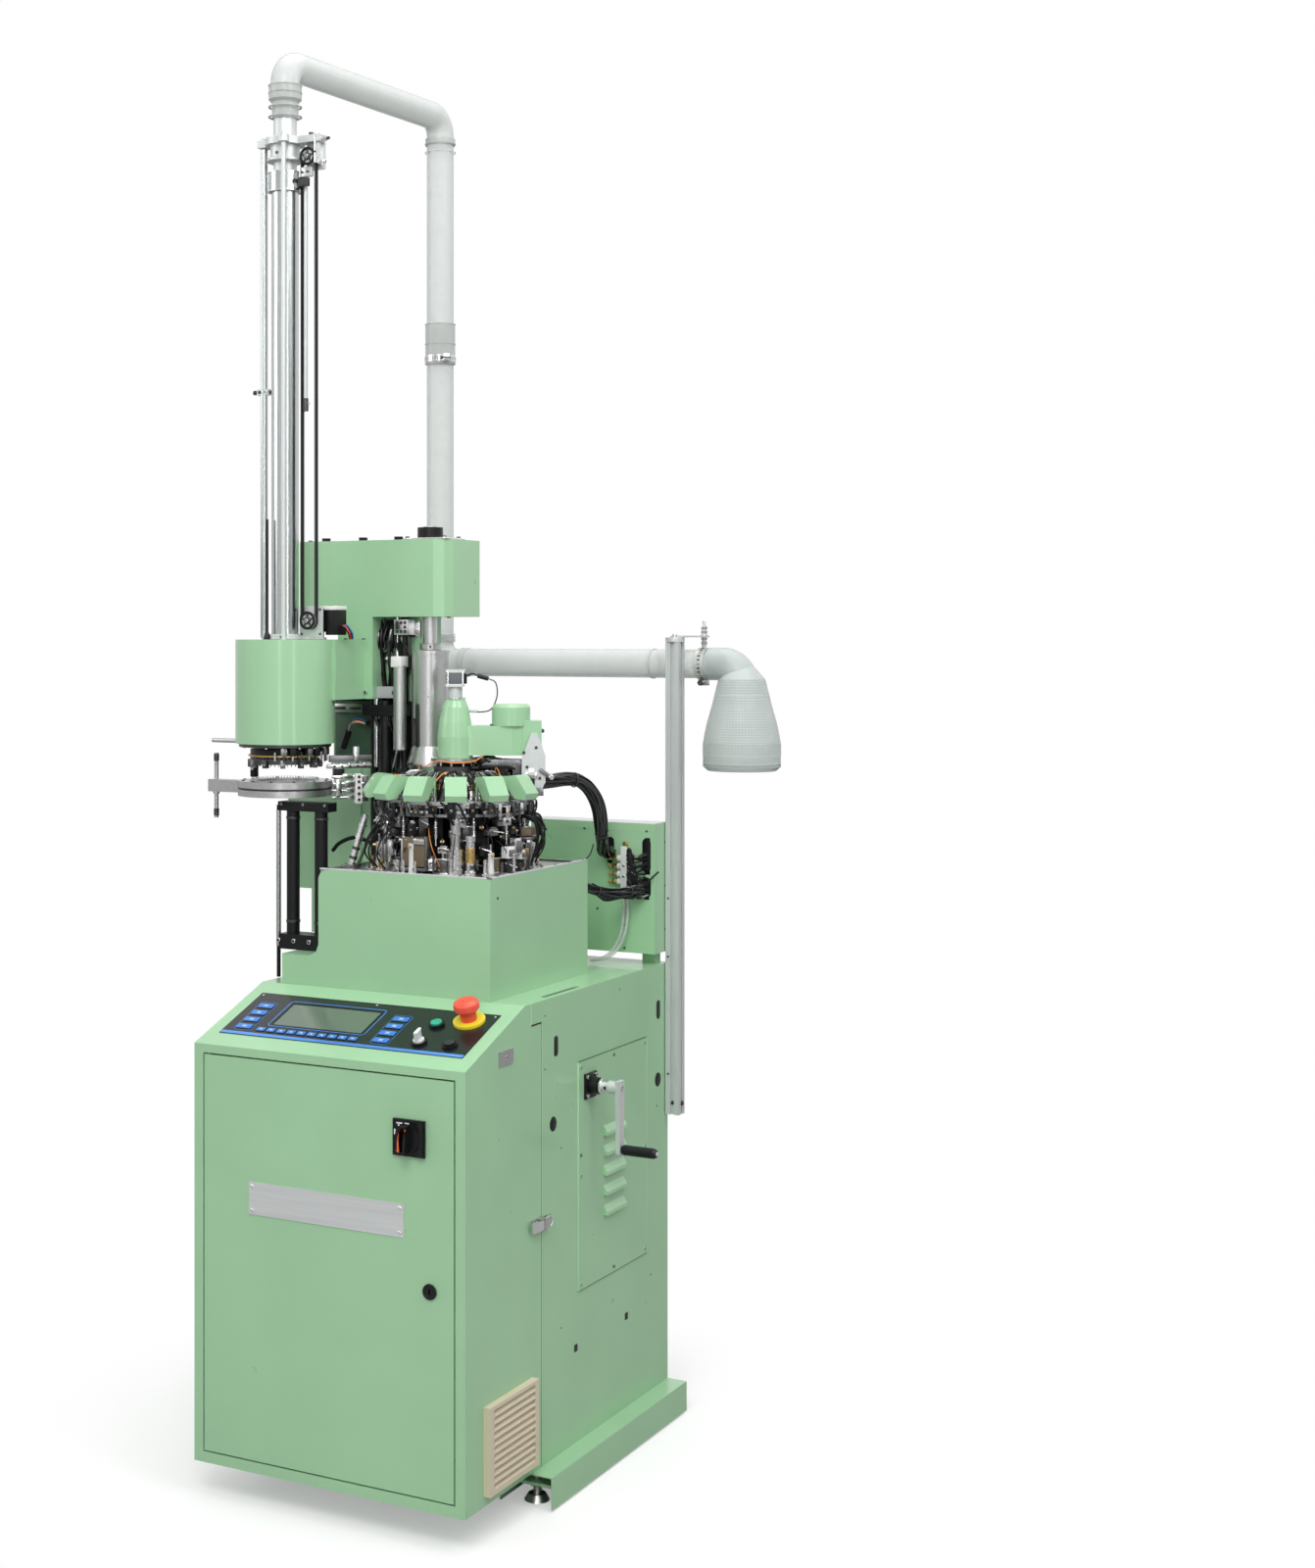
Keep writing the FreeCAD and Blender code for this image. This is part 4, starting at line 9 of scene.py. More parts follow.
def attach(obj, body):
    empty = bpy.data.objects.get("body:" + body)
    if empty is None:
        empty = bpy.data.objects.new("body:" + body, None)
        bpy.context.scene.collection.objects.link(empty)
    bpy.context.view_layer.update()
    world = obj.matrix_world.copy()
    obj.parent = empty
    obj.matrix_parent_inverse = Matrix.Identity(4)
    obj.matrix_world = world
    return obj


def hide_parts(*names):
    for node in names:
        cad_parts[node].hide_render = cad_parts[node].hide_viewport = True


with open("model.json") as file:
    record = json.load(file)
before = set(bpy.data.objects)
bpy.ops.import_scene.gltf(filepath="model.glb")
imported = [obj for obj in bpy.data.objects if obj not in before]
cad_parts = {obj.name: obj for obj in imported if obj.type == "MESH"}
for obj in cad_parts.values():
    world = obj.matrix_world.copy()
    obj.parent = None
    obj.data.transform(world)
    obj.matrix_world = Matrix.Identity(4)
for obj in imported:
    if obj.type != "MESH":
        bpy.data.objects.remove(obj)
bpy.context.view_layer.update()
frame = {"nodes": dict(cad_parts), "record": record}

MM = 0.001
scene = bpy.context.scene


# ---------------------------------------------------------------- camera and lamps

PHOTO_LONG_SIDE = 1600
FOCAL_PIXELS = 2280
SENSOR = 36.0
EYE = Vector((2.1778, -3.8883, 1.608))
HEADING = radians(29.74)
AXIS_LEFT_OF_MIDDLE = 221
AXIS_ABOVE_MIDDLE = 151

LAMPS = {  # place, target, width, height, watts
    "key_light": ((1.3, -3.7, 4.7), (0, 0, 1.6), 2.2, 2.2, 128),
    "fill_light": ((-4.0, -2.8, 3.2), (0, 0, 1.6), 2.5, 2.5, 58),
    "side_light": ((2.9, -0.9, 4.0), (0.1, 0.1, 1.7), 1.8, 1.8, 52),
    "top_light": ((0.2, 0.6, 5.5), (0, 0, 1.0), 3.0, 3.0, 90),
    "left_strip": ((1.37, -4.40, 2.3), (0, 0, 1.7), 0.30, 2.4, 17),
    "right_strip": ((3.48, -2.99, 2.3), (0, 0, 1.7), 0.30, 2.4, 17),
}


def make_camera():
    """Level camera with the photograph's viewpoint and framing."""
    data = bpy.data.cameras.new("photo_camera")
    data.sensor_width = SENSOR
    data.lens = FOCAL_PIXELS / PHOTO_LONG_SIDE * SENSOR
    data.shift_x = AXIS_LEFT_OF_MIDDLE / PHOTO_LONG_SIDE
    data.shift_y = -AXIS_ABOVE_MIDDLE / PHOTO_LONG_SIDE
    data.clip_end = 60
    camera = bpy.data.objects.new("photo_camera", data)
    camera.location = EYE
    camera.rotation_euler = (pi / 2, 0, HEADING)
    scene.collection.objects.link(camera)
    scene.camera = camera


def make_lamps():
    """Soft flat lamps, each aimed at a point."""
    for name, (place, target, wide, tall, watts) in LAMPS.items():
        data = bpy.data.lights.new(name, "AREA")
        data.shape = "RECTANGLE"
        data.size = wide
        data.size_y = tall
        data.energy = watts
        lamp = bpy.data.objects.new(name, data)
        lamp.location = place
        lamp.rotation_euler = (Vector(target) - Vector(place)).to_track_quat("-Z", "Y").to_euler()
        scene.collection.objects.link(lamp)


# ---------------------------------------------------------------- shader nodes, world and floor

FILL_STRENGTH = 0.37
MIRRORED_WAY = (0.05, -0.93, -0.36)
# Grey of the mirrored room by its share of that way; it ends in a small dark spot.
MIRRORED_GREYS = ((0.0, 1.0), (0.5, 0.75), (0.74, 0.34), (1.0, 1.0), (1.0, 0.12))
FLOOR_HALF = 20
FLOOR_TONE_UNSEEN = 0.45
SHADOW_REACH = (0.50, 1.0)
WHITE_NEARBY = 0.35


def add_node(tree, kind, operation=None, **values):
    """Shader node with its operation and its input values, "_" standing for a space in a socket's name."""
    node = tree.nodes.new("ShaderNode" + kind)
    if operation:
        node.operation = operation
    for socket, value in values.items():
        node.inputs[socket.replace("_", " ")].default_value = value
    return node


def fed(tree, node, *outputs):
    """First output of a node whose first inputs are linked to the given outputs."""
    for socket, output in enumerate(outputs):
        tree.links.new(output, node.inputs[socket])
    return node.outputs[0]


def ramped(tree, output, stops):
    """Colour read from a ramp of (place, colour) stops."""
    ramp = add_node(tree, "ValToRGB")
    marks = ramp.color_ramp.elements
    while len(marks) < len(stops):
        marks.new(1.0)
    for mark, (place, colour) in zip(marks, stops):
        mark.position = place
        mark.color = (*colour, 1)
    return fed(tree, ramp, output)


def seen_rays(tree):
    """1 for what the camera sees, straight or through clear plastic, and 0 for all other light."""
    rays = add_node(tree, "LightPath")
    return fed(tree, add_node(tree, "Math", "MAXIMUM"), rays.outputs["Is Camera Ray"],
               rays.outputs["Is Transmission Ray"])


def make_world():
    """White surroundings to the eye, an even fill for the light, and a room of greys for metal to mirror."""
    world = bpy.data.worlds.new("studio")
    scene.world = world
    world.use_nodes = True
    tree = world.node_tree
    tree.nodes.clear()
    white = add_node(tree, "Background", Color=(1, 1, 1, 1), Strength=1.0)
    fill = add_node(tree, "Background", Color=(1, 1, 1, 1), Strength=FILL_STRENGTH)
    mirrored = add_node(tree, "Background", Strength=1.0)
    toward = add_node(tree, "VectorMath", "DOT_PRODUCT")
    toward.inputs[1].default_value = MIRRORED_WAY
    tree.links.new(add_node(tree, "TexCoord").outputs["Generated"], toward.inputs[0])
    share = fed(tree, add_node(tree, "MapRange", From_Min=-1, From_Max=1), toward.outputs["Value"])
    greys = [(place, (grey,) * 3) for place, grey in MIRRORED_GREYS]
    room = fed(tree, mirrored, ramped(tree, share, greys))
    glossy = add_node(tree, "LightPath").outputs["Is Glossy Ray"]
    unseen = fed(tree, add_node(tree, "MixShader"), glossy, fill.outputs[0], room)
    shown = fed(tree, add_node(tree, "MixShader"), seen_rays(tree), unseen, white.outputs[0])
    tree.links.new(shown, add_node(tree, "OutputWorld").inputs["Surface"])


def make_floor():
    """Plain pale floor that keeps the machine's soft shadow and fades to white away from it."""
    mesh = bpy.data.meshes.new("floor")
    corners = [(-FLOOR_HALF, -FLOOR_HALF, 0), (FLOOR_HALF, -FLOOR_HALF, 0), (FLOOR_HALF, FLOOR_HALF, 0),
               (-FLOOR_HALF, FLOOR_HALF, 0)]
    mesh.from_pydata(corners, [], [(0, 1, 2, 3)])
    floor = bpy.data.objects.new("floor", mesh)
    scene.collection.objects.link(floor)
    mat, tree, shader = new_material("floor_white")
    shader.inputs["Roughness"].default_value = 0.9
    seen = seen_rays(tree)
    tone = add_node(tree, "MapRange", To_Min=FLOOR_TONE_UNSEEN, To_Max=1.0)
    tree.links.new(fed(tree, tone, seen), shader.inputs["Base Color"])
    away = add_node(tree, "VectorMath", "LENGTH")
    tree.links.new(add_node(tree, "TexCoord").outputs["Object"], away.inputs[0])
    fade = add_node(tree, "MapRange", From_Min=SHADOW_REACH[0], From_Max=SHADOW_REACH[1], To_Min=WHITE_NEARBY)
    fade.interpolation_type = "SMOOTHSTEP"
    amount = fed(tree, add_node(tree, "Math", "MULTIPLY"), seen, fed(tree, fade, away.outputs["Value"]))
    white = add_node(tree, "Emission", Color=(1, 1, 1, 1), Strength=1.0)
    overlay(tree, amount, shader.outputs[0], white.outputs[0])
    mesh.materials.append(mat)


# ---------------------------------------------------------------- materials

BRIGHT, DARK, GUNMETAL, MACHINED = "bright_steel", "dark_metal", "gun_metal", "machined_steel"
TURNED, CHROME, ALLOY, BRASS = "turned_steel", "chrome", "aluminium", "brass"
BLACK, WHITE, SLEEVE, NET = "black_plastic", "white_plastic", "clear_sleeve", "net_plastic"
ENAMEL, SEAM_AND_SHADE, LIT_EDGE, BROWN = "black_paint", "seam_and_painted_shade_green", "painted_highlight_green", "solenoid_brown"
CABLE, SHEEN, GREY, ORANGE = "cable_black", "cable_sheen", "cable_grey", "orange_wire"

PAINTS = {  # colour, roughness, and what differs from plain enamel or plastic
    "green_paint": ((0.322, 0.555, 0.332), 0.30, {"coat": 0.25}),
    ENAMEL: ((0.007, 0.007, 0.008), 0.36, {"gloss": 0.3}),
    BLACK: ((0.007, 0.007, 0.008), 0.32, {"gloss": 0.3}),
    "orange_plastic": ((0.78, 0.14, 0.025), 0.3),
    "membrane": ((0.008, 0.012, 0.012), 0.25, {"spread": 0.1, "relief": 0.00004}),
    "display": ((0.115, 0.165, 0.12), 0.16, {"relief": 0.00002}),
    "yellow_plastic": ((0.80, 0.66, 0.03), 0.35),
    "green_plastic": ((0.03, 0.36, 0.24), 0.3),
    "silver_plastic": ((0.62, 0.63, 0.62), 0.3),
    "red_plastic": ((0.78, 0.085, 0.045), 0.3),
    "beige_plastic": ((0.62, 0.545, 0.41), 0.5),
    "belt_rubber": ((0.01, 0.01, 0.0105), 0.6, {"gloss": 0.3}),
    "motor_grey": ((0.12, 0.13, 0.14), 0.45),
    "unit_grey": ((0.42, 0.43, 0.44), 0.45),
    CABLE: ((0.005, 0.005, 0.0055), 0.42, {"gloss": 0.25}),
    "blue_key": ((0.04, 0.19, 0.58), 0.3),
    "blue_band": ((0.075, 0.26, 0.70), 0.3, {"spread": 0.25}),
    # painted highlight: lighter green for the lit edges and folds of the cabinet side
    LIT_EDGE: ((0.42, 0.68, 0.44), 0.4),
    "blue_line": ((0.05, 0.20, 0.60), 0.3),
    # painted shade: darker green for the holes, the shaded area beside the transfer shaft and, with the dark
    # joints, the seams
    SEAM_AND_SHADE: ((0.045, 0.105, 0.06), 0.5, {"spread": 0.35}),
    BROWN: ((0.13, 0.10, 0.06), 0.45),
    WHITE: ((0.78, 0.78, 0.76), 0.4),
    "key_print": ((0.62, 0.72, 0.90), 0.4),
    "start_cap_plastic": ((0.035, 0.38, 0.25), 0.28),
    "reset_cap_plastic": ((0.02, 0.02, 0.022), 0.3),
    ORANGE: ((0.75, 0.25, 0.04), 0.4),
    GREY: ((0.035, 0.035, 0.037), 0.3),
    SHEEN: ((0.008, 0.008, 0.009), 0.14, {"coat": 0.4}),
}
METALS = {  # colour, roughness, and what differs from plain bare metal
    MACHINED: ((0.50, 0.50, 0.49), 0.30),
    CHROME: ((0.74, 0.745, 0.745), 0.20, {"scratch": 0.02, "spread": 0.04}),
    ALLOY: ((0.60, 0.63, 0.62), 0.42,
            {"stretch": (1, 1, 0.05), "scratch": 0.02, "spread": 0.02, "scale": 160, "metallic": 0.4}),
    "tube_metal": ((0.52, 0.55, 0.55), 0.24, {"stretch": (6, 6, 0.15), "spread": 0.12, "scale": 60}),
    "name_plate_metal": ((0.66, 0.68, 0.68), 0.42, {"stretch": (0.03, 1, 1), "scratch": 0.04, "spread": 0.05,
                                                    "scale": 160, "metallic": 0.55}),
    BRASS: ((0.60, 0.42, 0.16), 0.28),
    BRIGHT: ((0.78, 0.78, 0.78), 0.2),
    DARK: ((0.10, 0.10, 0.10), 0.35),
    TURNED: ((0.56, 0.565, 0.56), 0.34, {"scratch": 0.03, "spread": 0.05}),
    GUNMETAL: ((0.26, 0.26, 0.265), 0.30),
}
CLEARS = {  # tint, veil and roughness
    "clear_pipe": ((0.74, 0.77, 0.755), 0.30, 0.12),
    SLEEVE: ((0.60, 0.63, 0.61), 0.45, 0.08),
    "clear_bell": ((0.60, 0.66, 0.64), 0.34, 0.10),
    NET: ((0.80, 0.84, 0.82), 0.30, 0.2),
}
FINISH = {  # solids that take another look than their slot's
    "transfer_cylinder": TURNED, "pickup_ring": TURNED, "side_plates": TURNED,
    "main_switch_handle": BLACK, "crank_bracket": ENAMEL,
}


def new_material(name):
    """Node material with its tree and its main shader."""
    mat = bpy.data.materials.new(name)
    mat.use_nodes = True
    return mat, mat.node_tree, mat.node_tree.nodes["Principled BSDF"]


def overlay(tree, amount, below, above):
    """Show one shader over another by an amount."""
    tree.links.new(fed(tree, add_node(tree, "MixShader"), amount, below, above),
                   tree.nodes["Material Output"].inputs["Surface"])


def noise(tree, scale, detail=2.0, stretch=None):
    """Noise in the object's own coordinates, if wanted stretched along an axis."""
    source = add_node(tree, "TexCoord").outputs["Object"]
    if stretch:
        source = fed(tree, add_node(tree, "Mapping", Scale=stretch), source)
    texture = add_node(tree, "TexNoise", Scale=scale, Detail=detail)
    tree.links.new(source, texture.inputs["Vector"])
    return texture.outputs["Fac"]


def shade(colour, factor):
    """Colour made lighter or darker."""
    return tuple(min(1.0, value * factor) for value in colour)


def clouded(tree, shader, marks, colour, spread):
    """Colour that varies a little with a texture."""
    stops = ((0.3, shade(colour, 1 - spread)), (0.7, shade(colour, 1 + spread)))
    tree.links.new(ramped(tree, marks, stops), shader.inputs["Base Color"])


def worn(tree, shader, marks, low, high):
    """Roughness between two values, by a texture."""
    tree.links.new(fed(tree, add_node(tree, "MapRange", To_Min=low, To_Max=high), marks),
                   shader.inputs["Roughness"])


def bumped(tree, shader, marks, strength, distance):
    """Relief from a texture."""
    bump = add_node(tree, "Bump", Strength=strength, Distance=distance)
    tree.links.new(marks, bump.inputs["Height"])
    tree.links.new(bump.outputs[0], shader.inputs["Normal"])


def painted(name, colour, rough, relief=0.00012, spread=0.03, coat=0.0, gloss=0.5):
    """Enamel or moulded plastic: slight cloudiness of colour and a fine orange-peel surface."""
    mat, tree, shader = new_material(name)
    clouded(tree, shader, noise(tree, 6), colour, spread)
    worn(tree, shader, noise(tree, 30), rough - 0.05, rough + 0.05)
    bumped(tree, shader, noise(tree, 900), 0.35, relief)
    shader.inputs["Coat Weight"].default_value = coat
    shader.inputs["Specular IOR Level"].default_value = gloss
    return mat


def metal(name, colour, rough, stretch=(1, 1, 1), scratch=0.08, spread=0.1, scale=220, metallic=1.0):
    """Bare metal with drawn or turned marks along one way."""
    mat, tree, shader = new_material(name)
    shader.inputs["Metallic"].default_value = metallic
    marks = noise(tree, scale, 3, stretch)
    clouded(tree, shader, marks, colour, spread)
    worn(tree, shader, marks, max(0.04, rough - 0.08), rough + 0.1)
    bumped(tree, shader, marks, scratch, 0.0002)
    return mat


def clear(name, tint, veil, rough):
    """Clear plastic: partly see-through, milkier and greyer where it is seen edge on."""
    mat, tree, shader = new_material(name)
    shader.inputs["Roughness"].default_value = rough
    shader.inputs["IOR"].default_value = 1.3
    edge = add_node(tree, "LayerWeight", Blend=0.35).outputs["Facing"]
    tone = ramped(tree, edge, ((0.45, tint), (1.0, shade(tint, 0.45))))
    tree.links.new(tone, shader.inputs["Base Color"])
    cloud = noise(tree, 25)
    bumped(tree, shader, cloud, 0.05, 0.001)
    span = add_node(tree, "MapRange", To_Min=veil, To_Max=min(1.0, veil + 0.5))
    amount = add_node(tree, "Math", "MULTIPLY_ADD")
    amount.inputs[1].default_value = 0.10
    tree.links.new(fed(tree, span, edge), amount.inputs[2])
    overlay(tree, fed(tree, amount, cloud), add_node(tree, "BsdfTransparent").outputs[0], shader.outputs[0])
    return mat


def make_materials():
    """One material for each kind of surface on the machine."""
    made = {}
    for name, (colour, rough, *rest) in PAINTS.items():
        made[name] = painted(name, colour, rough, **dict(*rest))
    for name, (colour, rough, *rest) in METALS.items():
        made[name] = metal(name, colour, rough, **dict(*rest))
    for name, (tint, veil, rough) in CLEARS.items():
        made[name] = clear(name, tint, veil, rough)
    return made


def dress_nodes():
    """Give each carried-over solid the material of its slot."""
    for row in frame["record"]["subparts"]:
        mesh = frame["nodes"][row["node"]].data
        mesh.materials.clear()
        mesh.materials.append(surface[FINISH.get(row["node"], row["material_slot"])])


# ---------------------------------------------------------------- mesh building, in millimetres

UP = Vector((0, 0, 1))
FORE = (0, -1, 0)
RIGHT = (1, 0, 0)
VIEW_ANGLE = -60.26
VIEW_TURN = radians(VIEW_ANGLE)
SMOOTH_ANGLE = radians(32)
ROUNDING = 0.6


def upright(point):
    """Frame at a point."""
    return Matrix.Translation(point)


def heading(angle):
    """Level direction at an angle from the X axis."""
    return Vector((cos(angle), sin(angle), 0))


def on_circle(middle, angle, reach, height):
    """Point at an angle, a reach and a height from a middle."""
    return middle + Vector((reach * cos(angle), reach * sin(angle), height))


def draws(seed):
    """Random draws between two values and from a set, the same in every run."""
    chance = random.Random(seed)
    return chance.uniform, chance.choice


def facing(origin, out, up=UP):
    """Frame at a point whose Z looks out and whose Y leans up."""
    z = Vector(out).normalized()
    x = Vector(up).cross(z)
    x = x.normalized() if x.length > 1e-06 else Vector(RIGHT)
    y = z.cross(x)
    turn = Matrix((x, y, z)).transposed().to_4x4()
    return upright(Vector(origin)) @ turn


def around(origin, angle):
    """Frame at a point, turned about the upright axis."""
    return upright(Vector(origin)) @ Matrix.Rotation(angle, 4, "Z")


def smooth_path(points, steps=7):
    """Points of a smooth line through the given ones."""
    points = [Vector(point) for point in points]
    ends = [points[0] * 2 - points[1], *points, points[-1] * 2 - points[-2]]
    path = []
    for before, start, end, after in zip(ends, ends[1:], ends[2:], ends[3:]):
        for step in range(steps):
            t = step / steps
            bend = (2 * before - 5 * start + 4 * end - after) * t * t
            sway = (3 * start - before - 3 * end + after) * t ** 3
            path.append(0.5 * (2 * start + (end - before) * t + bend + sway))
    path.append(points[-1])
    return path


def frames_along(points):
    """Direction, side and upper vectors at each point of a line, carried along without twist."""
    frames = []
    lean = None
    for n in range(len(points)):
        ahead = (points[min(n + 1, len(points) - 1)] - points[max(n - 1, 0)]).normalized()
        lean = lean or ahead.orthogonal().normalized()
        lean = (lean - ahead * lean.dot(ahead)).normalized()
        frames.append((ahead, lean, ahead.cross(lean)))
    return frames


def skin(form, rings):
    """Faces between rings of points that follow one another; a ring may be a single point."""
    count = max(len(ring) for ring in rings)
    for low, high in zip(rings, rings[1:]):
        for n in range(count):
            lower = (low[n % len(low)], low[(n + 1) % len(low)])
            upper = (high[(n + 1) % len(high)], high[n % len(high)])
            unique = list(dict.fromkeys(lower + upper))
            if len(unique) > 2:
                form.faces.new(unique)


class Piece:
    """One mesh gathered from bevelled forms, each with its own material."""

    def __init__(self, name):
        self.name = name
        self.points = []
        self.faces = []
        self.kinds = []
        self.materials = []

    def take(self, form, kind, place=None):
        """Add a small mesh with a material and free it."""
        if kind not in self.materials:
            self.materials.append(kind)
        start = len(self.points)
        index = self.materials.index(kind)
        for vert in form.verts:
            self.points.append(tuple(place @ vert.co if place else vert.co))
        form.verts.index_update()
        for face in form.faces:
            self.faces.append([start + vert.index for vert in face.verts])
            self.kinds.append(index)
        form.free()

    def block(self, low, high, kind, cut=1.0, place=None, segments=2):
        """Block with rounded edges between two corners."""
        form = bmesh.new()
        size = Vector(high) - Vector(low)
        middle = (Vector(high) + Vector(low)) / 2
        bmesh.ops.create_cube(form, size=1, matrix=upright(middle) @ Matrix.Diagonal((*size, 1)))
        cut = min(cut, 0.45 * min(size))
        if cut > 0:
            bmesh.ops.bevel(form, geom=form.edges[:], offset=cut, segments=segments, affect="EDGES",
                            profile=ROUNDING)
        self.take(form, kind, place)

    def lathe(self, profile, kind, place=None, sides=32):
        """Turned form from (radius, height) pairs, closed at radius 0 where the profile gets there."""
        form = bmesh.new()
        rings = []
        for radius, height in profile:
            if radius < 1e-06:
                rings.append([form.verts.new((0, 0, height))])
                continue
            loop = [on_circle(Vector(), tau * n / sides, radius, height) for n in range(sides)]
            rings.append([form.verts.new(corner) for corner in loop])
        skin(form, rings)
        self.take(form, kind, place)

    def band(self, inner, outer, low, high, slope, kind, place, sides):
        """Ring round an axis with sloped edges."""
        self.lathe([(inner, low), (outer, low + slope), (outer, high - slope), (inner, high)], kind, place,
                   sides)

    def collar(self, inner, outer, low, high, ease, kind, place, sides):
        """Ring round an axis with flat ends and eased corners."""
        self.lathe([(inner, low), (outer - ease, low), (outer, low + ease), (outer, high - ease),
                    (outer - ease, high), (inner, high)], kind, place, sides)

    def rod(self, start, end, radius, kind, sides=20, place=None, cut=None):
        """Round bar with eased ends between two points."""
        start, end = Vector(start), Vector(end)
        if place:
            start, end = place @ start, place @ end
        way = end - start
        long = way.length
        ease = min(radius, long) * 0.16 if cut is None else cut
        profile = [(0, 0), (radius - ease, 0), (radius, ease), (radius, long - ease), (radius - ease, long),
                   (0, long)]
        lean = UP if abs(way.normalized().z) < 0.99 else Vector((0, 1, 0))
        self.lathe(profile, kind, facing(start, way, lean), sides)

    def pipe(self, path, radius, kind, sides=10):
        """Round tube that follows points."""
        path = [Vector(point) for point in path]
        turns = [tau * n / sides for n in range(sides)]
        form = bmesh.new()
        rings = []
        for point, (_, lean, side) in zip(path, frames_along(path)):
            loop = [point + lean * radius * cos(turn) + side * radius * sin(turn) for turn in turns]
            rings.append([form.verts.new(corner) for corner in loop])
        skin(form, rings)
        form.faces.new(list(reversed(rings[0])))
        form.faces.new(rings[-1])
        self.take(form, kind)

    def slab(self, outline, thick, kind, place=None, cut=0.6):
        """Plate cut to an outline in its own XY plane, standing out along Z, with eased edges."""
        form = bmesh.new()
        face = form.faces.new([form.verts.new((x, y, 0)) for x, y in outline])
        bmesh.ops.recalc_face_normals(form, faces=[face])
        if face.normal.z < 0:
            face.normal_flip()
        grown = bmesh.ops.extrude_face_region(form, geom=[face])
        raised = [part for part in grown["geom"] if isinstance(part, bmesh.types.BMVert)]
        bmesh.ops.translate(form, vec=(0, 0, thick), verts=raised)
        bmesh.ops.recalc_face_normals(form, faces=form.faces[:])
        if cut:
            rim = [edge for edge in form.edges if abs(edge.verts[0].co.z - edge.verts[1].co.z) < 1e-06]
            bmesh.ops.bevel(form, geom=rim, offset=cut, segments=2, affect="EDGES", profile=ROUNDING)
        self.take(form, kind, place)

    def wire(self, path, radius, kind, sides=8, steps=7):
        """Round tube that bends smoothly through points."""
        self.pipe(smooth_path(path, steps), radius, kind, sides)

    def plate(self, corners, radius, thick, kind, place=None, cut=0.6, steps=4):
        """Plate with rounded corners."""
        self.slab(round_corners(*corners, radius, steps), thick, kind, place, cut)

    def screw(self, origin, out, radius, kind, tall=None, place=None, socket=True):
        """Domed or cap screw head with a hexagon socket, seated at a point."""
        if place:
            origin, out = place @ Vector(origin), place.to_3x3() @ Vector(out)
        tall = radius * 0.9 if tall is None else tall
        seat = facing(origin, out, UP if abs(Vector(out).normalized().z) < 0.9 else Vector((0, 1, 0)))
        rim = radius * 0.12
        deep = tall * 0.55 if socket else tall * 0.9
        hole = radius * 0.55
        self.lathe([(0, -0.3), (radius, -0.3), (radius, tall - rim), (radius - rim, tall), (hole, tall)],
                   kind, seat, 20)
        self.lathe([(hole, tall), (radius * 0.5, deep), (0, deep)], DARK, seat, 6)

    def finish(self, body):
        """Make the object and let it ride on a body."""
        mesh = bpy.data.meshes.new(self.name)
        mesh.from_pydata([(x * MM, y * MM, z * MM) for x, y, z in self.points], [], self.faces)
        mesh.polygons.foreach_set("material_index", self.kinds)
        for kind in self.materials:
            mesh.materials.append(surface[kind])
        mesh.shade_smooth()
        mesh.set_sharp_from_angle(angle=SMOOTH_ANGLE)
        thing = bpy.data.objects.new(self.name, mesh)
        scene.collection.objects.link(thing)
        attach(thing, body)
        return thing


# ---------------------------------------------------------------- cabinet front, slope and right side

FRONT = -481.0
SIDE = 280.0
LATCH_UP = 518
SLOPE_LOW = 846.0
SLOPE_TILT = atan2(84, 226)
SLOPE = upright((0, FRONT, SLOPE_LOW)) @ Matrix.Rotation(SLOPE_TILT, 4, "X")
SCREEN = (-83.0, 88.0, 196.0, 80.0)
MEMBRANE = (-273.0, 252.0, 43.0, 198.0)
MEMBRANE_FACE = 1.5


def round_corners(low_x, high_x, low_y, high_y, radius, steps=4):
    """Outline of a rectangle with rounded corners."""
    outline = []
    for across, up, start in ((high_x - radius, low_y + radius, -90), (high_x - radius, high_y - radius, 0),
                              (low_x + radius, high_y - radius, 90), (low_x + radius, low_y + radius, 180)):
        for step in range(steps + 1):
            angle = radians(start + 90 * step / steps)
            outline.append((across + radius * cos(angle), up + radius * sin(angle)))
    return outline


def frame_strip(piece, box, wide, thick, kind, place, radius=6):
    """Thin line drawn round a rectangle, standing a little proud."""
    inner = round_corners(*box, radius)
    outer = round_corners(box[0] - wide, box[1] + wide, box[2] - wide, box[3] + wide, radius + wide)
    form = bmesh.new()
    levels = ((inner, 0), (inner, thick), (outer, thick), (outer, 0))
    rings = [[form.verts.new((x, y, z)) for x, y in loop] for loop, z in levels]
    skin(form, rings)
    bmesh.ops.recalc_face_normals(form, faces=form.faces[:])
    piece.take(form, kind, place)


def key_places():
    """Middle and size of every key on the membrane."""
    middle, low, wide, _ = SCREEN
    for row in range(4):
        for side in (-1, 1):
            yield (middle + side * (wide / 2 + 52), low - 24 + 26 * row + 7.5, 35, 17.5)
    pitch = (wide + 29) / 10
    for column in range(10):
        yield (middle - wide / 2 + (column - 0.5) * pitch, 66.5, pitch - 2.6, 14.5)


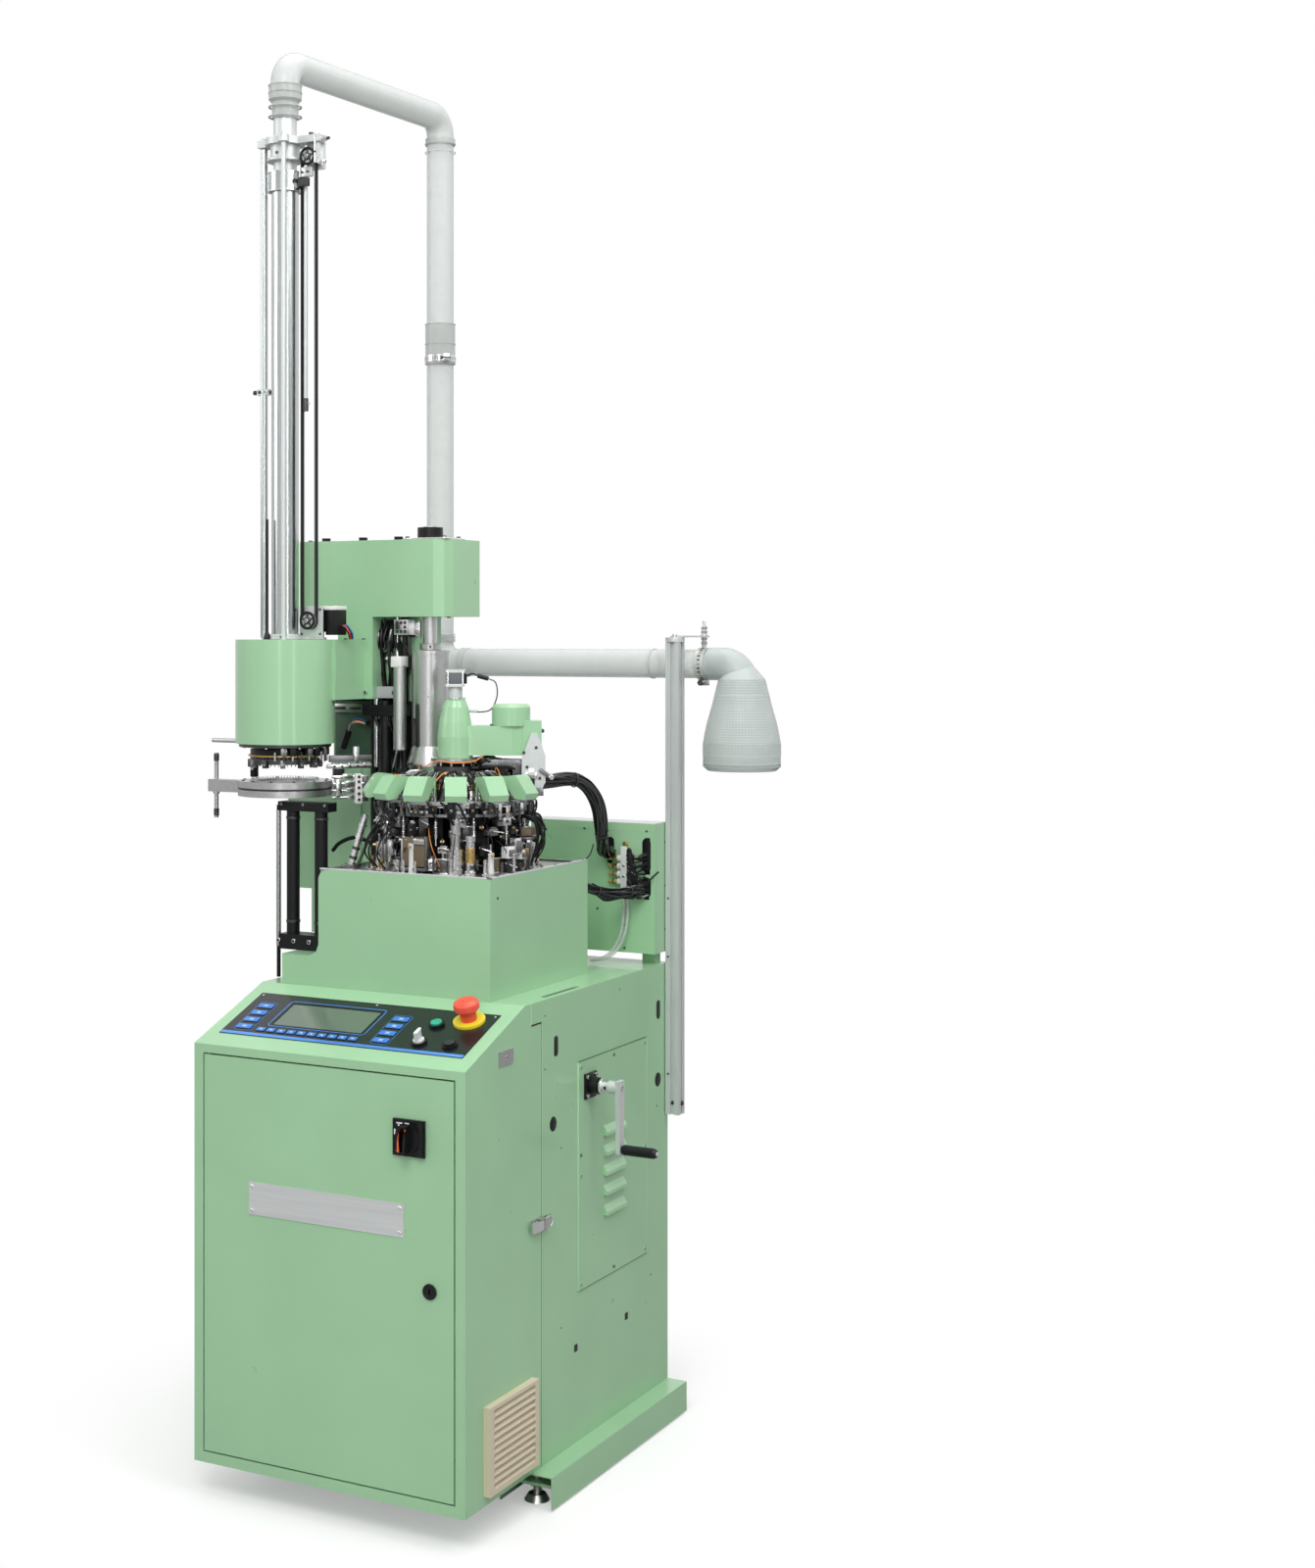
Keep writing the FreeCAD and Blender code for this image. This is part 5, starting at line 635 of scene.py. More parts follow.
def panel_graphics(piece):
    """Coloured key tops, the line along the front edge, and the border round the screen."""
    for across, up, wide, tall in key_places():
        outline = round_corners(across - wide / 2 + 1.2, across + wide / 2 - 1.2, up - tall / 2 + 1.2,
                                up + tall / 2 - 1.2, 2.5)
        piece.slab(outline, 0.9, "blue_key", SLOPE @ upright((0, 0, MEMBRANE_FACE + 0.7)), cut=0.3)
        for lean in (-1, 1):
            dash = round_corners(-wide * 0.15, wide * 0.15, -0.9, 0.9, 0.8, 2)
            turn = SLOPE @ upright((across, up, MEMBRANE_FACE + 1.6)) @ Matrix.Rotation(lean * 0.6, 4, "Z")
            piece.slab(dash, 0.15, "key_print", turn, cut=0)
    strip = round_corners(MEMBRANE[0] + 1, MEMBRANE[1] - 1, MEMBRANE[2] + 0.5, MEMBRANE[2] + 9.5, 1.5, 2)
    piece.slab(strip, 0.25, "blue_band", SLOPE @ upright((0, 0, MEMBRANE_FACE)), cut=0.1)
    for across, up in ((-265, 190), (244, 190), (-10, 192)):
        piece.screw((across, up, MEMBRANE_FACE), UP, 2.2, BRIGHT, 0.8, SLOPE)
    middle, low, wide, tall = SCREEN
    piece_place = SLOPE @ upright((0, 0, MEMBRANE_FACE))
    frame_strip(piece, (middle - wide / 2 - 7, middle + wide / 2 + 7, low - 4, low + tall + 7), 2.2, 0.25,
                "blue_line", piece_place)
    frame_strip(piece, (middle - wide / 2, middle + wide / 2, low, low + tall), 3.0, 0.5, BLACK, piece_place,
                2)
    for side in (-1, 1):
        across = middle + side * (wide / 2 + 52)
        frame_strip(piece, (across - 19, across + 19, low - 28, low + 75), 0.8, 0.2, "blue_line", piece_place)


def selector_trim(piece):
    """Pointer on the mode selector."""
    place = SLOPE @ upright((145, 77, 0))
    piece.plate((-3.4, 3.4, -9, 13), 3.2, 1.6, WHITE, place @ upright((0, 0, 24.4)), cut=0.5)


def stop_trim(piece):
    """Dome and skirt of the emergency-stop button."""
    place = SLOPE @ upright((203, 165, 0))
    piece.lathe([(11.2, 4.6), (14.5, 4.8), (15.5, 12), (15.5, 27), (11, 27)], "red_plastic", place, 40)
    piece.lathe([(16, 27.6), (22.6, 28.6), (24, 30), (24, 38), (22.8, 41.5), (19, 44.3), (12, 46.3),
                 (0, 46.9)], "red_plastic", place, 48)


def key_cap(piece, across, up, kind):
    """Hollowed cap of a round key."""
    piece.lathe([(0, 9.55), (7.6, 9.7), (9.4, 9.5), (10.4, 8.6)], kind, SLOPE @ upright((across, up, 0)), 32)


def start_trim(piece):
    """Cap of the start key."""
    key_cap(piece, 147, 142, "start_cap_plastic")


def reset_trim(piece):
    """Cap of the reset key."""
    key_cap(piece, 208, 78, "reset_cap_plastic")


def door_trim(piece):
    """Rivets of the bare plate and the main switch's frame and ticks."""
    for side in (-1, 1):
        for end in (-1, 1):
            place = facing((-10.5 + side * 158, FRONT - 1.5, 571 + end * 22), FORE)
            piece.lathe([(3.9, 0), (3.6, 1.0), (2.2, 1.9), (0, 2.2)], BRIGHT, place, 20)
    place = facing((168, FRONT - 6, 720), FORE)
    frame_strip(piece, (-28, 28, -28, 28), 2.5, 0.8, BLACK, place, 4)
    piece.plate((21, 31, -30, 30), 3, 5, BLACK, place, cut=1.5)
    for corner in ((-24.5, -24.5), (-24.5, 24.5)):
        piece.lathe([(2.4, 0), (2.2, 0.5), (0.8, 0.5), (0, 0.1)], DARK, place @ upright((*corner, 0)), 14)
    for low_x, high_x, low_y, high_y in ((-24, -12, 24, 26.4), (-7, 2, 25, 27), (-29, -26, 4, 14),
                                         (-21, -18, 20, 23)):
        piece.plate((low_x, high_x, low_y, high_y), 0.9, 0.9, WHITE, place, cut=0, steps=2)


def switch_strip(piece):
    """Orange strip on the main switch's handle."""
    arc = [(-9, -21), (2, -21), (2.5, -4), (4.5, 9), (8.5, 20), (-1.5, 22), (-6.5, 10), (-9, -4)]
    piece.slab(arc, 1.0, "orange_plastic", facing((167, FRONT - 28, 720), FORE), cut=0.3)


def lock_trim(piece):
    """Rim round the door lock."""
    place = facing((209, FRONT - 3, 453), FORE)
    piece.lathe([(13.6, -2.6), (14.2, -1.6), (13.9, 0.2), (12.4, 0.9), (10.8, 0.9), (10.2, 0.05)], BLACK,
                place, 36)


def side_trim(piece):
    """Seam, slots, holes, panel screws and plates on the right side, with painted shade in the holes and
    seams and painted highlights along lit edges.
    """
    for along, up in ((-27, 361), (-27, 570), (-27, 610), (-27, 780), (120, 361), (120, 780), (267, 361),
                      (267, 570), (267, 780)):
        piece.screw((SIDE + 1.5, along, up), RIGHT, 3.4, GUNMETAL, 1.8)
    # dark-green dots: painted shade inside the holes
    for along, up in ((-108, 300), (-108, 640), (300, 300), (330, 640), (-176, 900), (-176, 800), (150, 905)):
        piece.lathe([(2.0, -0.2), (1.8, 0.6), (0, 0.9)], SEAM_AND_SHADE, facing((SIDE, along, up), RIGHT), 12)
    for along in (-7, 29):
        for up in (721, 757):
            piece.screw((SIDE + 6, along, up), RIGHT, 4.0, BRIGHT, 3)
    piece.screw((SIDE + 2, -333, 848), RIGHT, 4.4, BRIGHT, 1.4)
    for along, up in ((-227, 524), (-227, 512)):
        piece.screw((SIDE + 2, along, up), RIGHT, 2.4, BRIGHT, 1.6)
    for along, up in ((182, 246), (-46, 245)):
        piece.plate((along - 7, along + 7, up - 7, up + 7), 1.2, 0.35, CABLE, facing((SIDE, 0, 0), RIGHT),
                    cut=0, steps=2)
    for along, low, high, half in ((-130, 817, 856, 8), (337, 818, 857, 8.5), (-142, 678, 706, 14),
                                   (335, 679, 708, 14)):
        piece.plate((along - half, along + half, low, high), half, 0.5, CABLE, facing((SIDE, 0, 0), RIGHT),
                    cut=0.1)
    # seams and panel border: dark-green lines are dark joints with painted shade, light-green lines are
    # painted highlights on lit edges
    piece.block((SIDE - 0.5, -190.6, 20), (SIDE + 0.3, -189.4, 889), SEAM_AND_SHADE, 0.1)
    piece.block((SIDE - 0.5, -189.4, 20), (SIDE + 0.5, -187.6, 889), LIT_EDGE, 0.1)
    piece.block((SIDE - 0.5, -231, 888), (SIDE + 0.5, -190, 891), CABLE, 0.2)
    piece.block((SIDE - 0.5, -231.8, 890), (SIDE + 0.5, -230.4, 930), LIT_EDGE, 0.1)
    for low, high in (((-37.6, 351), (-36.2, 790)), ((277, 351), (278, 790))):
        piece.block((SIDE - 0.5, low[0], low[1]), (SIDE + 1.9, high[0], high[1]), LIT_EDGE, 0.1)
    piece.block((SIDE - 0.5, -37, 790), (SIDE + 1.9, 277, 791), SEAM_AND_SHADE, 0.1)
    piece.block((SIDE - 0.5, -37, 350), (SIDE + 1.9, 277, 351), SEAM_AND_SHADE, 0.1)


def crank_trim(piece):
    """Washer, set screw and end screws of the hand crank."""
    piece.lathe([(14.6, 0), (15.2, 0.8), (15.2, 4), (14.6, 4.8), (9.2, 4.8)], BRIGHT,
                facing((SIDE + 26, 11, 739), RIGHT), 36)
    piece.screw((SIDE + 40, -2, 739), FORE, 3, DARK, 1.4)
    piece.screw((SIDE + 66, 11, 739), RIGHT, 7.5, BRIGHT, 5)
    piece.screw((SIDE + 66, 11, 621), RIGHT, 4.2, DARK, 2)


def latch_bail(piece):
    """Wire loop of the toggle latch, on its lever."""
    bends = ((9, -192, -9.5), (9.5, -178, -9.5), (9, -166, -8), (9, -163, 0), (9, -166, 8), (9.5, -178, 9.5),
             (9, -192, 9.5))
    piece.pipe([(SIDE + out, along, LATCH_UP + rise) for out, along, rise in bends], 1.5, BRIGHT, 8)


# ---------------------------------------------------------------- knitting head

NEEDLE = Vector((18, -51, 0))
DIAL_ARM_TURN = radians(29.7)
TRAY = 1153.0
RING_TOP = 1292.0
COVER_ANGLES = [radians(VIEW_ANGLE + 27 * turn) for turn in range(-3, 3)]


def at(angle, reach, height, along=0.0):
    """Point by its direction and distance from the needle axis."""
    out = heading(angle)
    side = Vector((-sin(angle), cos(angle), 0))
    return NEEDLE + out * reach + side * along + Vector((0, 0, height))


def spring(piece, place, radius, tall, turns, kind=BRIGHT, wire=0.7):
    """Small coil spring standing on a frame's origin."""
    steps = turns * 12
    path = [place @ on_circle(Vector(), tau * n / 12, radius, tall * n / steps) for n in range(steps + 1)]
    piece.pipe(path, wire, kind, 5)


def ring_trim(piece):
    """Cap screws, index marks and a lower steel rim on the feeder ring."""
    for turn in range(36):
        angle = radians(10 * turn)
        if all(abs(remainder(angle - cover, tau)) > 0.17 for cover in COVER_ANGLES):
            piece.screw(at(angle, 143, RING_TOP), UP, 3.6, BRIGHT, 3.4)
        else:
            piece.screw(at(angle, 143, RING_TOP), UP, 2.6, DARK, 2.2)
    piece.lathe([(128, 1262), (149, 1262), (149.6, 1262.6), (149.6, 1267.4), (149, 1268), (128, 1268),
                 (128, 1262)], GUNMETAL, upright(NEEDLE), 96)
    piece.band(149.9, 150.5, 1283, 1285, 0.4, DARK, upright(NEEDLE), 96)
    for turn in range(48):
        angle = radians(7.5 * turn + 2)
        piece.rod(at(angle, 139, 1268), at(angle, 139, 1280), 1.8, DARK, 8)
    between, pick = draws(17)
    for turn in range(52):
        angle = radians(360 / 52 * turn + between(-2, 2))
        place = around(at(angle, 150.4, 1270), angle)
        low, high = between(-14, 2), between(10, 24)
        wide = between(3, 9)
        piece.block((-1, -wide, low), (between(2, 7), wide, high),
                    pick((DARK, GUNMETAL, BLACK, BRIGHT, GUNMETAL)), 0.8, place)
        if turn % 2:
            piece.screw((4, 0, (low + high) / 2), RIGHT, 2.4, pick((BRIGHT, BRASS, DARK)), 2.6, place)
    for turn in range(30):
        angle = radians(12 * turn + between(-4, 4))
        piece.wire([at(angle, 150, 1290), at(angle + 0.05, 160, 1284), at(angle + 0.12, 157, 1262),
                    at(angle + 0.16, 142, 1248)], pick((1.2, 1.8, 2.4)), pick((CABLE, SHEEN, CABLE, GREY)), 6,
                   6)


def yarn_fingers(piece):
    """Fans of thin levers, their springs and guides under each bent cover."""
    lever = [(-28, 0), (26, -3), (31, 1), (30, 6), (6, 9), (-6, 16), (-24, 17), (-30, 9)]
    for number, cover in enumerate(COVER_ANGLES):
        for finger in range(7):
            angle = cover + radians(-9.5 + 3.1 * finger)
            place = around(at(angle, 96, 1326 + (finger * 5 + number * 3) % 4),
                           angle) @ Matrix.Rotation(pi / 2, 4, "X")
            piece.slab(lever, 1.6, (BRIGHT, MACHINED, DARK)[(finger + number) % 3], place, cut=0.25)
        for side in (-1, 1):
            place = around(at(cover, 120, 0), cover)
            piece.rod((0, side * 17, 1292), (0, side * 17, 1316), 3.2, CHROME, 16, place)
            piece.rod((-22, side * 15, 1292), (-22, side * 15, 1330), 2.4, BRASS, 14, place)
            spring(piece, place @ upright((10, side * 15.5, 1292)), 2.6, 22, 8)
        shelf = around(at(cover, 138, 0), cover)
        piece.block((-14, -19, 1269), (16, 19, 1274), BRIGHT, 0.8, shelf)
        piece.block((2, -16, 1274), (12, 16, 1279.6), DARK, 0.8, shelf)
        for side in (-1, 0, 1):
            piece.screw((18, side * 12, 1271.5), RIGHT, 2.4, DARK, 2, shelf)


def cover_trim(piece):
    """Fixing screws and folded edges of the bent covers."""
    for cover in COVER_ANGLES:
        place = around(NEEDLE, cover)
        for side in (-11, 11):
            piece.screw((134, side, 1336.2), UP, 2.6, DARK, 1.4, place)
        for side in (-20.8, 20.8):
            piece.block((126, side - 0.7, 1300), (132, side + 0.7, 1330), "green_paint", 0.5, place)


def solenoid(piece, place, tone):
    """Coil between steel cheeks, with its plunger and two leads."""
    piece.block((-13, -11, 0), (13, 11, 27), BROWN if tone else DARK, 2.0, place)
    piece.block((-15, -12.5, -1), (15, 12.5, 1.5), BRIGHT, 0.5, place)
    piece.block((-15, -12.5, 26), (15, 12.5, 28.5), BRIGHT, 0.5, place)
    piece.rod((0, 0, 28), (0, 0, 40), 3.4, CHROME, 14, place)
    piece.lathe([(5.4, 40), (5.4, 42.5), (3.2, 43), (0, 43)], DARK, place, 14)
    for side in (-5, 5):
        piece.screw((15.2, side, 6), RIGHT, 2.0, BRASS, 1.4, place, socket=False)


def valve(piece, place, tall):
    """Small upright air cylinder with its brass elbow."""
    piece.lathe([(0, 0), (7, 0), (7.4, 0.6), (7.4, tall * 0.2), (6.6, tall * 0.24), (6.6, tall * 0.8),
                 (7.4, tall * 0.84), (7.4, tall - 0.6), (6.8, tall), (0, tall)], "silver_plastic", place, 20)
    piece.rod((6, 0, tall * 0.88), (13, 0, tall * 0.88), 2.6, BRASS, 12, place)
    piece.rod((0, 0, tall), (0, 0, tall + 16), 2.2, CHROME, 12, place)


def cluster(piece, place, between, pick):
    """Small bracket with its pin, lever and screws, as they stand between the feeds."""
    tones = (GUNMETAL, DARK, MACHINED, BRIGHT, BLACK, GUNMETAL)
    wide, deep, tall = between(7, 13), between(6, 11), between(10, 24)
    piece.block((-deep, -wide, 0), (deep, wide, tall), pick(tones), 1.2, place)
    piece.block((-deep * 0.6, -wide * 0.5, tall), (deep * 0.7, wide * 0.9, tall + between(3, 9)), pick(tones),
                0.8, place)
    piece.screw((deep, wide * 0.5, tall * 0.5), RIGHT, 2.2, pick((BRIGHT, BRASS, DARK)), 1.8, place)
    piece.screw((deep, -wide * 0.5, tall * 0.6), RIGHT, 2.2, DARK, 1.8, place)
    lean = between(-9, 9)
    piece.rod((deep * 0.6, -wide, tall * 0.8), (deep + 7, wide + lean, tall * 0.4), 1.4,
              pick((CHROME, BRIGHT, DARK)), 10, place)


def bed_mechanism(piece):
    """Needle-selection magnets, levers, cams and posts on the bed tray."""
    between, pick = draws(7)
    for turn in range(16):
        angle = radians(22.5 * turn + 11.25 + VIEW_ANGLE)
        if turn % 2:
            solenoid(piece, around(at(angle, 124, TRAY + 1, between(-3, 3)), angle), turn % 4 == 1)
        else:
            solenoid(piece, around(at(angle, 118, TRAY + 1, 0), angle), True)
            solenoid(piece, around(at(angle, 106, TRAY + 62, 0), angle), False)
    for turn in range(6):
        angle = radians(60 * turn - 34)
        valve(piece, around(at(angle, 150, TRAY, 0), angle), between(40, 62))
    for turn in range(46):
        angle = radians(360 / 46 * turn)
        level = TRAY + (0, 34, 66, 84)[turn % 4] + between(0, 8)
        cluster(piece, around(at(angle, between(128, 146), level), angle + between(-0.35, 0.35)), between,
                pick)
    for turn in range(30):
        angle = radians(12 * turn - 52)
        reach = between(150, 172)
        top = TRAY + between(14, 44)
        foot = at(angle, reach, TRAY)
        piece.rod(foot, at(angle, reach, top), pick((1.8, 2.6, 3.6)), pick((CHROME, BRIGHT, DARK, BRASS)), 14)
        piece.lathe([(6, 0), (6, 2.4), (5, 3.2), (3, 3.2)], pick((BRIGHT, GUNMETAL)), upright(foot), 18)
    for turn in range(34):
        angle = radians(360 / 34 * turn + 3)
        height = TRAY + between(58, 108)
        place = around(at(angle, between(100, 132), height), angle) @ Matrix.Rotation(between(-0.7, 0.7), 4,
                                                                                      "Y")
        piece.block((-16, -1.1, -5), (18, 1.1, 5), pick((BRIGHT, MACHINED, DARK, GUNMETAL)), 0.6, place)
        piece.rod((14, -4, 0), (14, 4, 0), 3.0, BRASS if turn % 3 == 0 else CHROME, 12, place)
    for turn in range(12):
        angle = radians(30 * turn - 46)
        place = around(at(angle, 140, TRAY + 68), angle)
        spring(piece, place, 3.4, 34, 10)
        piece.rod((0, 0, -14), (0, 0, 44), 1.4, CHROME, 8, place)
    for turn in range(24):
        angle = radians(15 * turn + 4)
        piece.lathe([(4.2, 0), (4.2, 2.6), (3.6, 3.2), (0, 3.2)], BRIGHT,
                    upright(at(angle, 172 + 4 * (turn % 2), TRAY)), 6)


def seen(turn):
    """Direction from the needle axis, given in degrees from the one that faces the photograph's viewpoint."""
    return radians(VIEW_ANGLE + turn)


def bed_front_units(piece):
    """The larger units on the front of the tray: magnet box, post collars, plungers and connectors."""
    place = around(at(seen(-32), 136, TRAY), seen(-32))
    piece.block((-20, -25, 14), (18, 25, 70), BROWN, 2, place)
    piece.block((-22, -29, 10), (16, -24.5, 66), BRIGHT, 0.8, place)
    piece.block((-22, 24.5, 10), (16, 29, 72), GUNMETAL, 0.8, place)
    piece.block((-22, -29, 6), (20, 29, 12), GUNMETAL, 1, place)
    for across in (-16, 0, 16):
        piece.screw((18, across, 64), RIGHT, 2.4, BRIGHT, 1.6, place)
    piece.block((18, 4, 58), (23, 26, 68), BRIGHT, 0.8, place)
    for turn in range(4):
        post = upright(at(seen(90 * turn), 130, TRAY))
        piece.collar(11.2, 18.5, 8, 49, 1, CHROME, post, 40)
        piece.lathe([(11.1, 96), (13, 96.6), (13, 104), (11.1, 105)], CHROME, post, 32)
        for side in (-0.45, 0.45):
            piece.screw(at(seen(90 * turn + side * 18), 147, TRAY + 34), heading(seen(90 * turn)), 3, DARK,
                        1.6)
    plunger = upright(at(seen(11), 147, TRAY))
    piece.lathe([(0, 0), (11, 0), (11, 6), (9, 8), (9, 62), (10, 63), (10, 74), (0, 74)], BRIGHT, plunger, 32)
    piece.band(9.1, 9.8, 22, 51, 1, BRASS, plunger, 32)
    piece.band(9.2, 9.9, 10, 18, 1, DARK, plunger, 32)
    for turn, low, high, kind in ((43, 28, 50, WHITE), (51, 34, 66, BRIGHT), (57, 24, 42, WHITE)):
        box = around(at(seen(turn), 148, TRAY), seen(turn))
        piece.block((-9, -10, low), (9, 10, high), kind, 1.6, box)
        piece.block((9, -7, low + 4), (12, 7, high - 5), GUNMETAL, 0.8, box)
    silver = around(at(seen(40), 146, TRAY + 92), seen(40))
    piece.block((-8, -10, 0), (8, 10, 15), BRIGHT, 1.2, silver)
    piece.lathe([(3.4, 0), (3.4, 1.2), (2.8, 1.4), (0, 1.4)], DARK,
                facing(silver @ Vector((8, 0, 8)), silver.to_3x3() @ Vector(RIGHT)), 20)
    shelf = around(at(seen(70), 158, TRAY + 68), seen(70))
    piece.block((-14, -26, 0), (6, 22, 14), BROWN, 1.2, shelf)
    piece.block((-14, -30, -8), (8, 26, -2), GUNMETAL, 0.8, shelf)
    brass = around(at(seen(62), 150, TRAY + 22), seen(62))
    piece.block((-6, -8, 0), (8, 8, 22), BRASS, 1.4, brass)
    foot, top = Vector((-162, -152, TRAY)), Vector((-136, -138, 1256))
    piece.rod(foot, top, 6.4, CHROME, 24)
    for share in (0.18, 0.36, 0.58, 0.8):
        middle = foot.lerp(top, share)
        piece.band(6.5, 8, -3, 3, 0.6, DARK if share < 0.5 else BRIGHT,
                   facing(middle, top - foot, Vector((0, 1, 0))), 24)
    piece.rod(foot + Vector((10, 8, 0)), top + Vector((20, 2, -20)), 3, DARK, 12)
    piece.block((-176, -166, TRAY - 0.5), (-146, -138, TRAY + 6), GUNMETAL, 1.4)
    left = around(at(seen(-62), 148, TRAY), seen(-62))
    for step in range(5):
        piece.block((-6, -16 + 7 * step, 14 + 6 * (step % 2)), (8, -11 + 7 * step, 52 + 5 * ((step + 1) % 3)),
                    (BRIGHT, GUNMETAL)[step % 2], 0.8, left)
    for turn in range(3):
        angle = seen(-84 + 13 * turn)
        path = [at(angle, 160, TRAY + 4), at(angle - 0.04, 178 - 2 * turn, TRAY + 30),
                at(angle + 0.03, 172, TRAY + 62), at(angle + 0.12, 150, TRAY + 96)]
        piece.wire(path, 1.8, CABLE)


def bed_rim(piece):
    """Bright strips along the top edges of the bed box, with their screws."""
    piece.block((-168, -255, 1157), (207, -247, 1160), ALLOY, 0.8)
    piece.block((199, -255, 1157), (207, 155, 1160), ALLOY, 0.8)
    piece.block((-168, -247, 1150), (199, -243.5, 1157), ALLOY, 0.6)
    piece.block((195.5, -247, 1150), (199, 152, 1157), ALLOY, 0.6)
    for across in range(-150, 200, 58):
        piece.screw((across, -251, 1160), UP, 2.4, DARK, 1.2)
    for along in range(-220, 150, 60):
        piece.screw((203, along, 1160), UP, 2.4, DARK, 1.2)
    piece.screw((207, -226, 1120), RIGHT, 2.6, DARK, 1)


def bed_wiring(piece):
    """Leads and air hoses that loop between the ring and the tray."""
    between, pick = draws(21)
    for _ in range(44):
        angle = radians(between(-170, 190))
        swing = between(-0.32, 0.32)
        low = TRAY + between(2, 20)
        high = pick((1262, 1240, 1225))
        path = [at(angle, between(96, 112), high),
                at(angle + swing * 0.3, between(122, 142), high - between(2, 24)),
                at(angle + swing * 0.7, between(140, 160), TRAY + between(30, 62)),
                at(angle + swing, between(120, 152), low)]
        kind = pick((CABLE,) * 9 + (ORANGE, WHITE))
        piece.wire(path, 0.8 if kind != CABLE else pick((0.9, 1.2, 1.8)), kind, 6, 6)
    for _ in range(14):
        angle = radians(between(0, 60))
        swing = between(0.05, 0.5)
        path = [at(angle, 132, 1262), at(angle + swing * 0.2, 168, 1258 - between(0, 20)),
                at(angle + swing * 0.6, 176, 1215 + between(-15, 15)),
                at(angle + swing, 158, TRAY + between(4, 30))]
        piece.wire(path, pick((1.4, 2.0, 2.6)), CABLE, 7)


def upper_mechanism(piece):
    """Blocks, levers and wires that crowd round the dial above the ring."""
    between, pick = draws(5)
    for turn in range(22):
        angle = radians(360 / 22 * turn + 6)
        if any(abs(remainder(angle - cover, tau)) < 0.13 for cover in COVER_ANGLES):
            continue
        reach = between(96, 122)
        tall = between(10, 34)
        place = around(at(angle, reach, RING_TOP), angle)
        piece.block((-10, -6, 0), (10, 6, tall), pick((BRIGHT, DARK, BLACK, MACHINED)), 1.0, place)
        piece.screw((0, 0, tall), UP, 3.0, DARK, 2.4, place)
        if turn % 2:
            piece.rod((-6, 0, tall), (-26, 0, tall + 16), 1.8, CHROME, 10, place)
    for turn in range(30):
        angle = radians(between(0, 360))
        path = [at(angle, 112, RING_TOP + 4), at(angle + 0.12, 124, RING_TOP + between(22, 52)),
                at(angle + 0.3, 96, RING_TOP + between(32, 62)), at(angle + 0.42, 84, RING_TOP + 12)]
        piece.wire(path, pick((0.9, 1.3, 2.0)), pick((CABLE,) * 6 + (ORANGE,)), 6, 6)
    for radius, low, high, kind in ((78, 1300, 1303, BRIGHT), (70, 1310, 1313, DARK)):
        piece.lathe([(radius - 12, low), (radius, low), (radius + 0.6, low + 0.6), (radius + 0.6, high - 0.6),
                     (radius, high), (radius - 12, high), (radius - 12, low)], kind, upright(NEEDLE), 72)
    piece.lathe([(37, 1362), (47, 1362), (47.6, 1362.6), (47.6, 1368), (44, 1368.6), (36, 1368.8)], MACHINED,
                upright(NEEDLE), 64)
    piece.lathe([(24, 1340), (40, 1340), (42, 1343), (42, 1352), (36, 1356), (24, 1358)], DARK,
                upright(NEEDLE), 48)
    for turn in range(10):
        angle = radians(36 * turn)
        piece.rod(at(angle, 38, 1340), at(angle, 38, 1369), 2.6, MACHINED, 12)
    for turn in range(34):
        angle = seen(78 + 1.6 * turn)
        reach = between(58, 128)
        rise = 1330 + between(4, 34)
        path = [at(seen(40 + between(0, 60)), 46, 1350), at(angle - 0.3, reach * 0.6, rise + 4),
                at(angle, reach, rise), at(angle + 0.2, reach + 18, 1318)]
        piece.wire(path, pick((1.6, 2.4, 3.2)), pick((CABLE, SHEEN, CABLE)), 7, 6)
    arm = around(NEEDLE, DIAL_ARM_TURN)
    piece.block((52, -24, 1352), (136, 18, 1366), GUNMETAL, 2, arm)
    piece.block((76, -30, 1330), (104, -8, 1354), ENAMEL, 2, arm)
    piece.block((112, -26, 1322), (134, -6, 1356), DARK, 2, arm)
    for across in (60, 84, 108, 128):
        piece.screw((across, -24, 1359), FORE, 2.8, BRIGHT, 2, arm)
    piece.wire([at(seen(-60), 70, 1352), at(seen(-34), 62, 1364), at(seen(-4), 60, 1361),
                at(seen(36), 56, 1363), at(seen(60), 62, 1372)], 1.3, ORANGE, 6, 8)


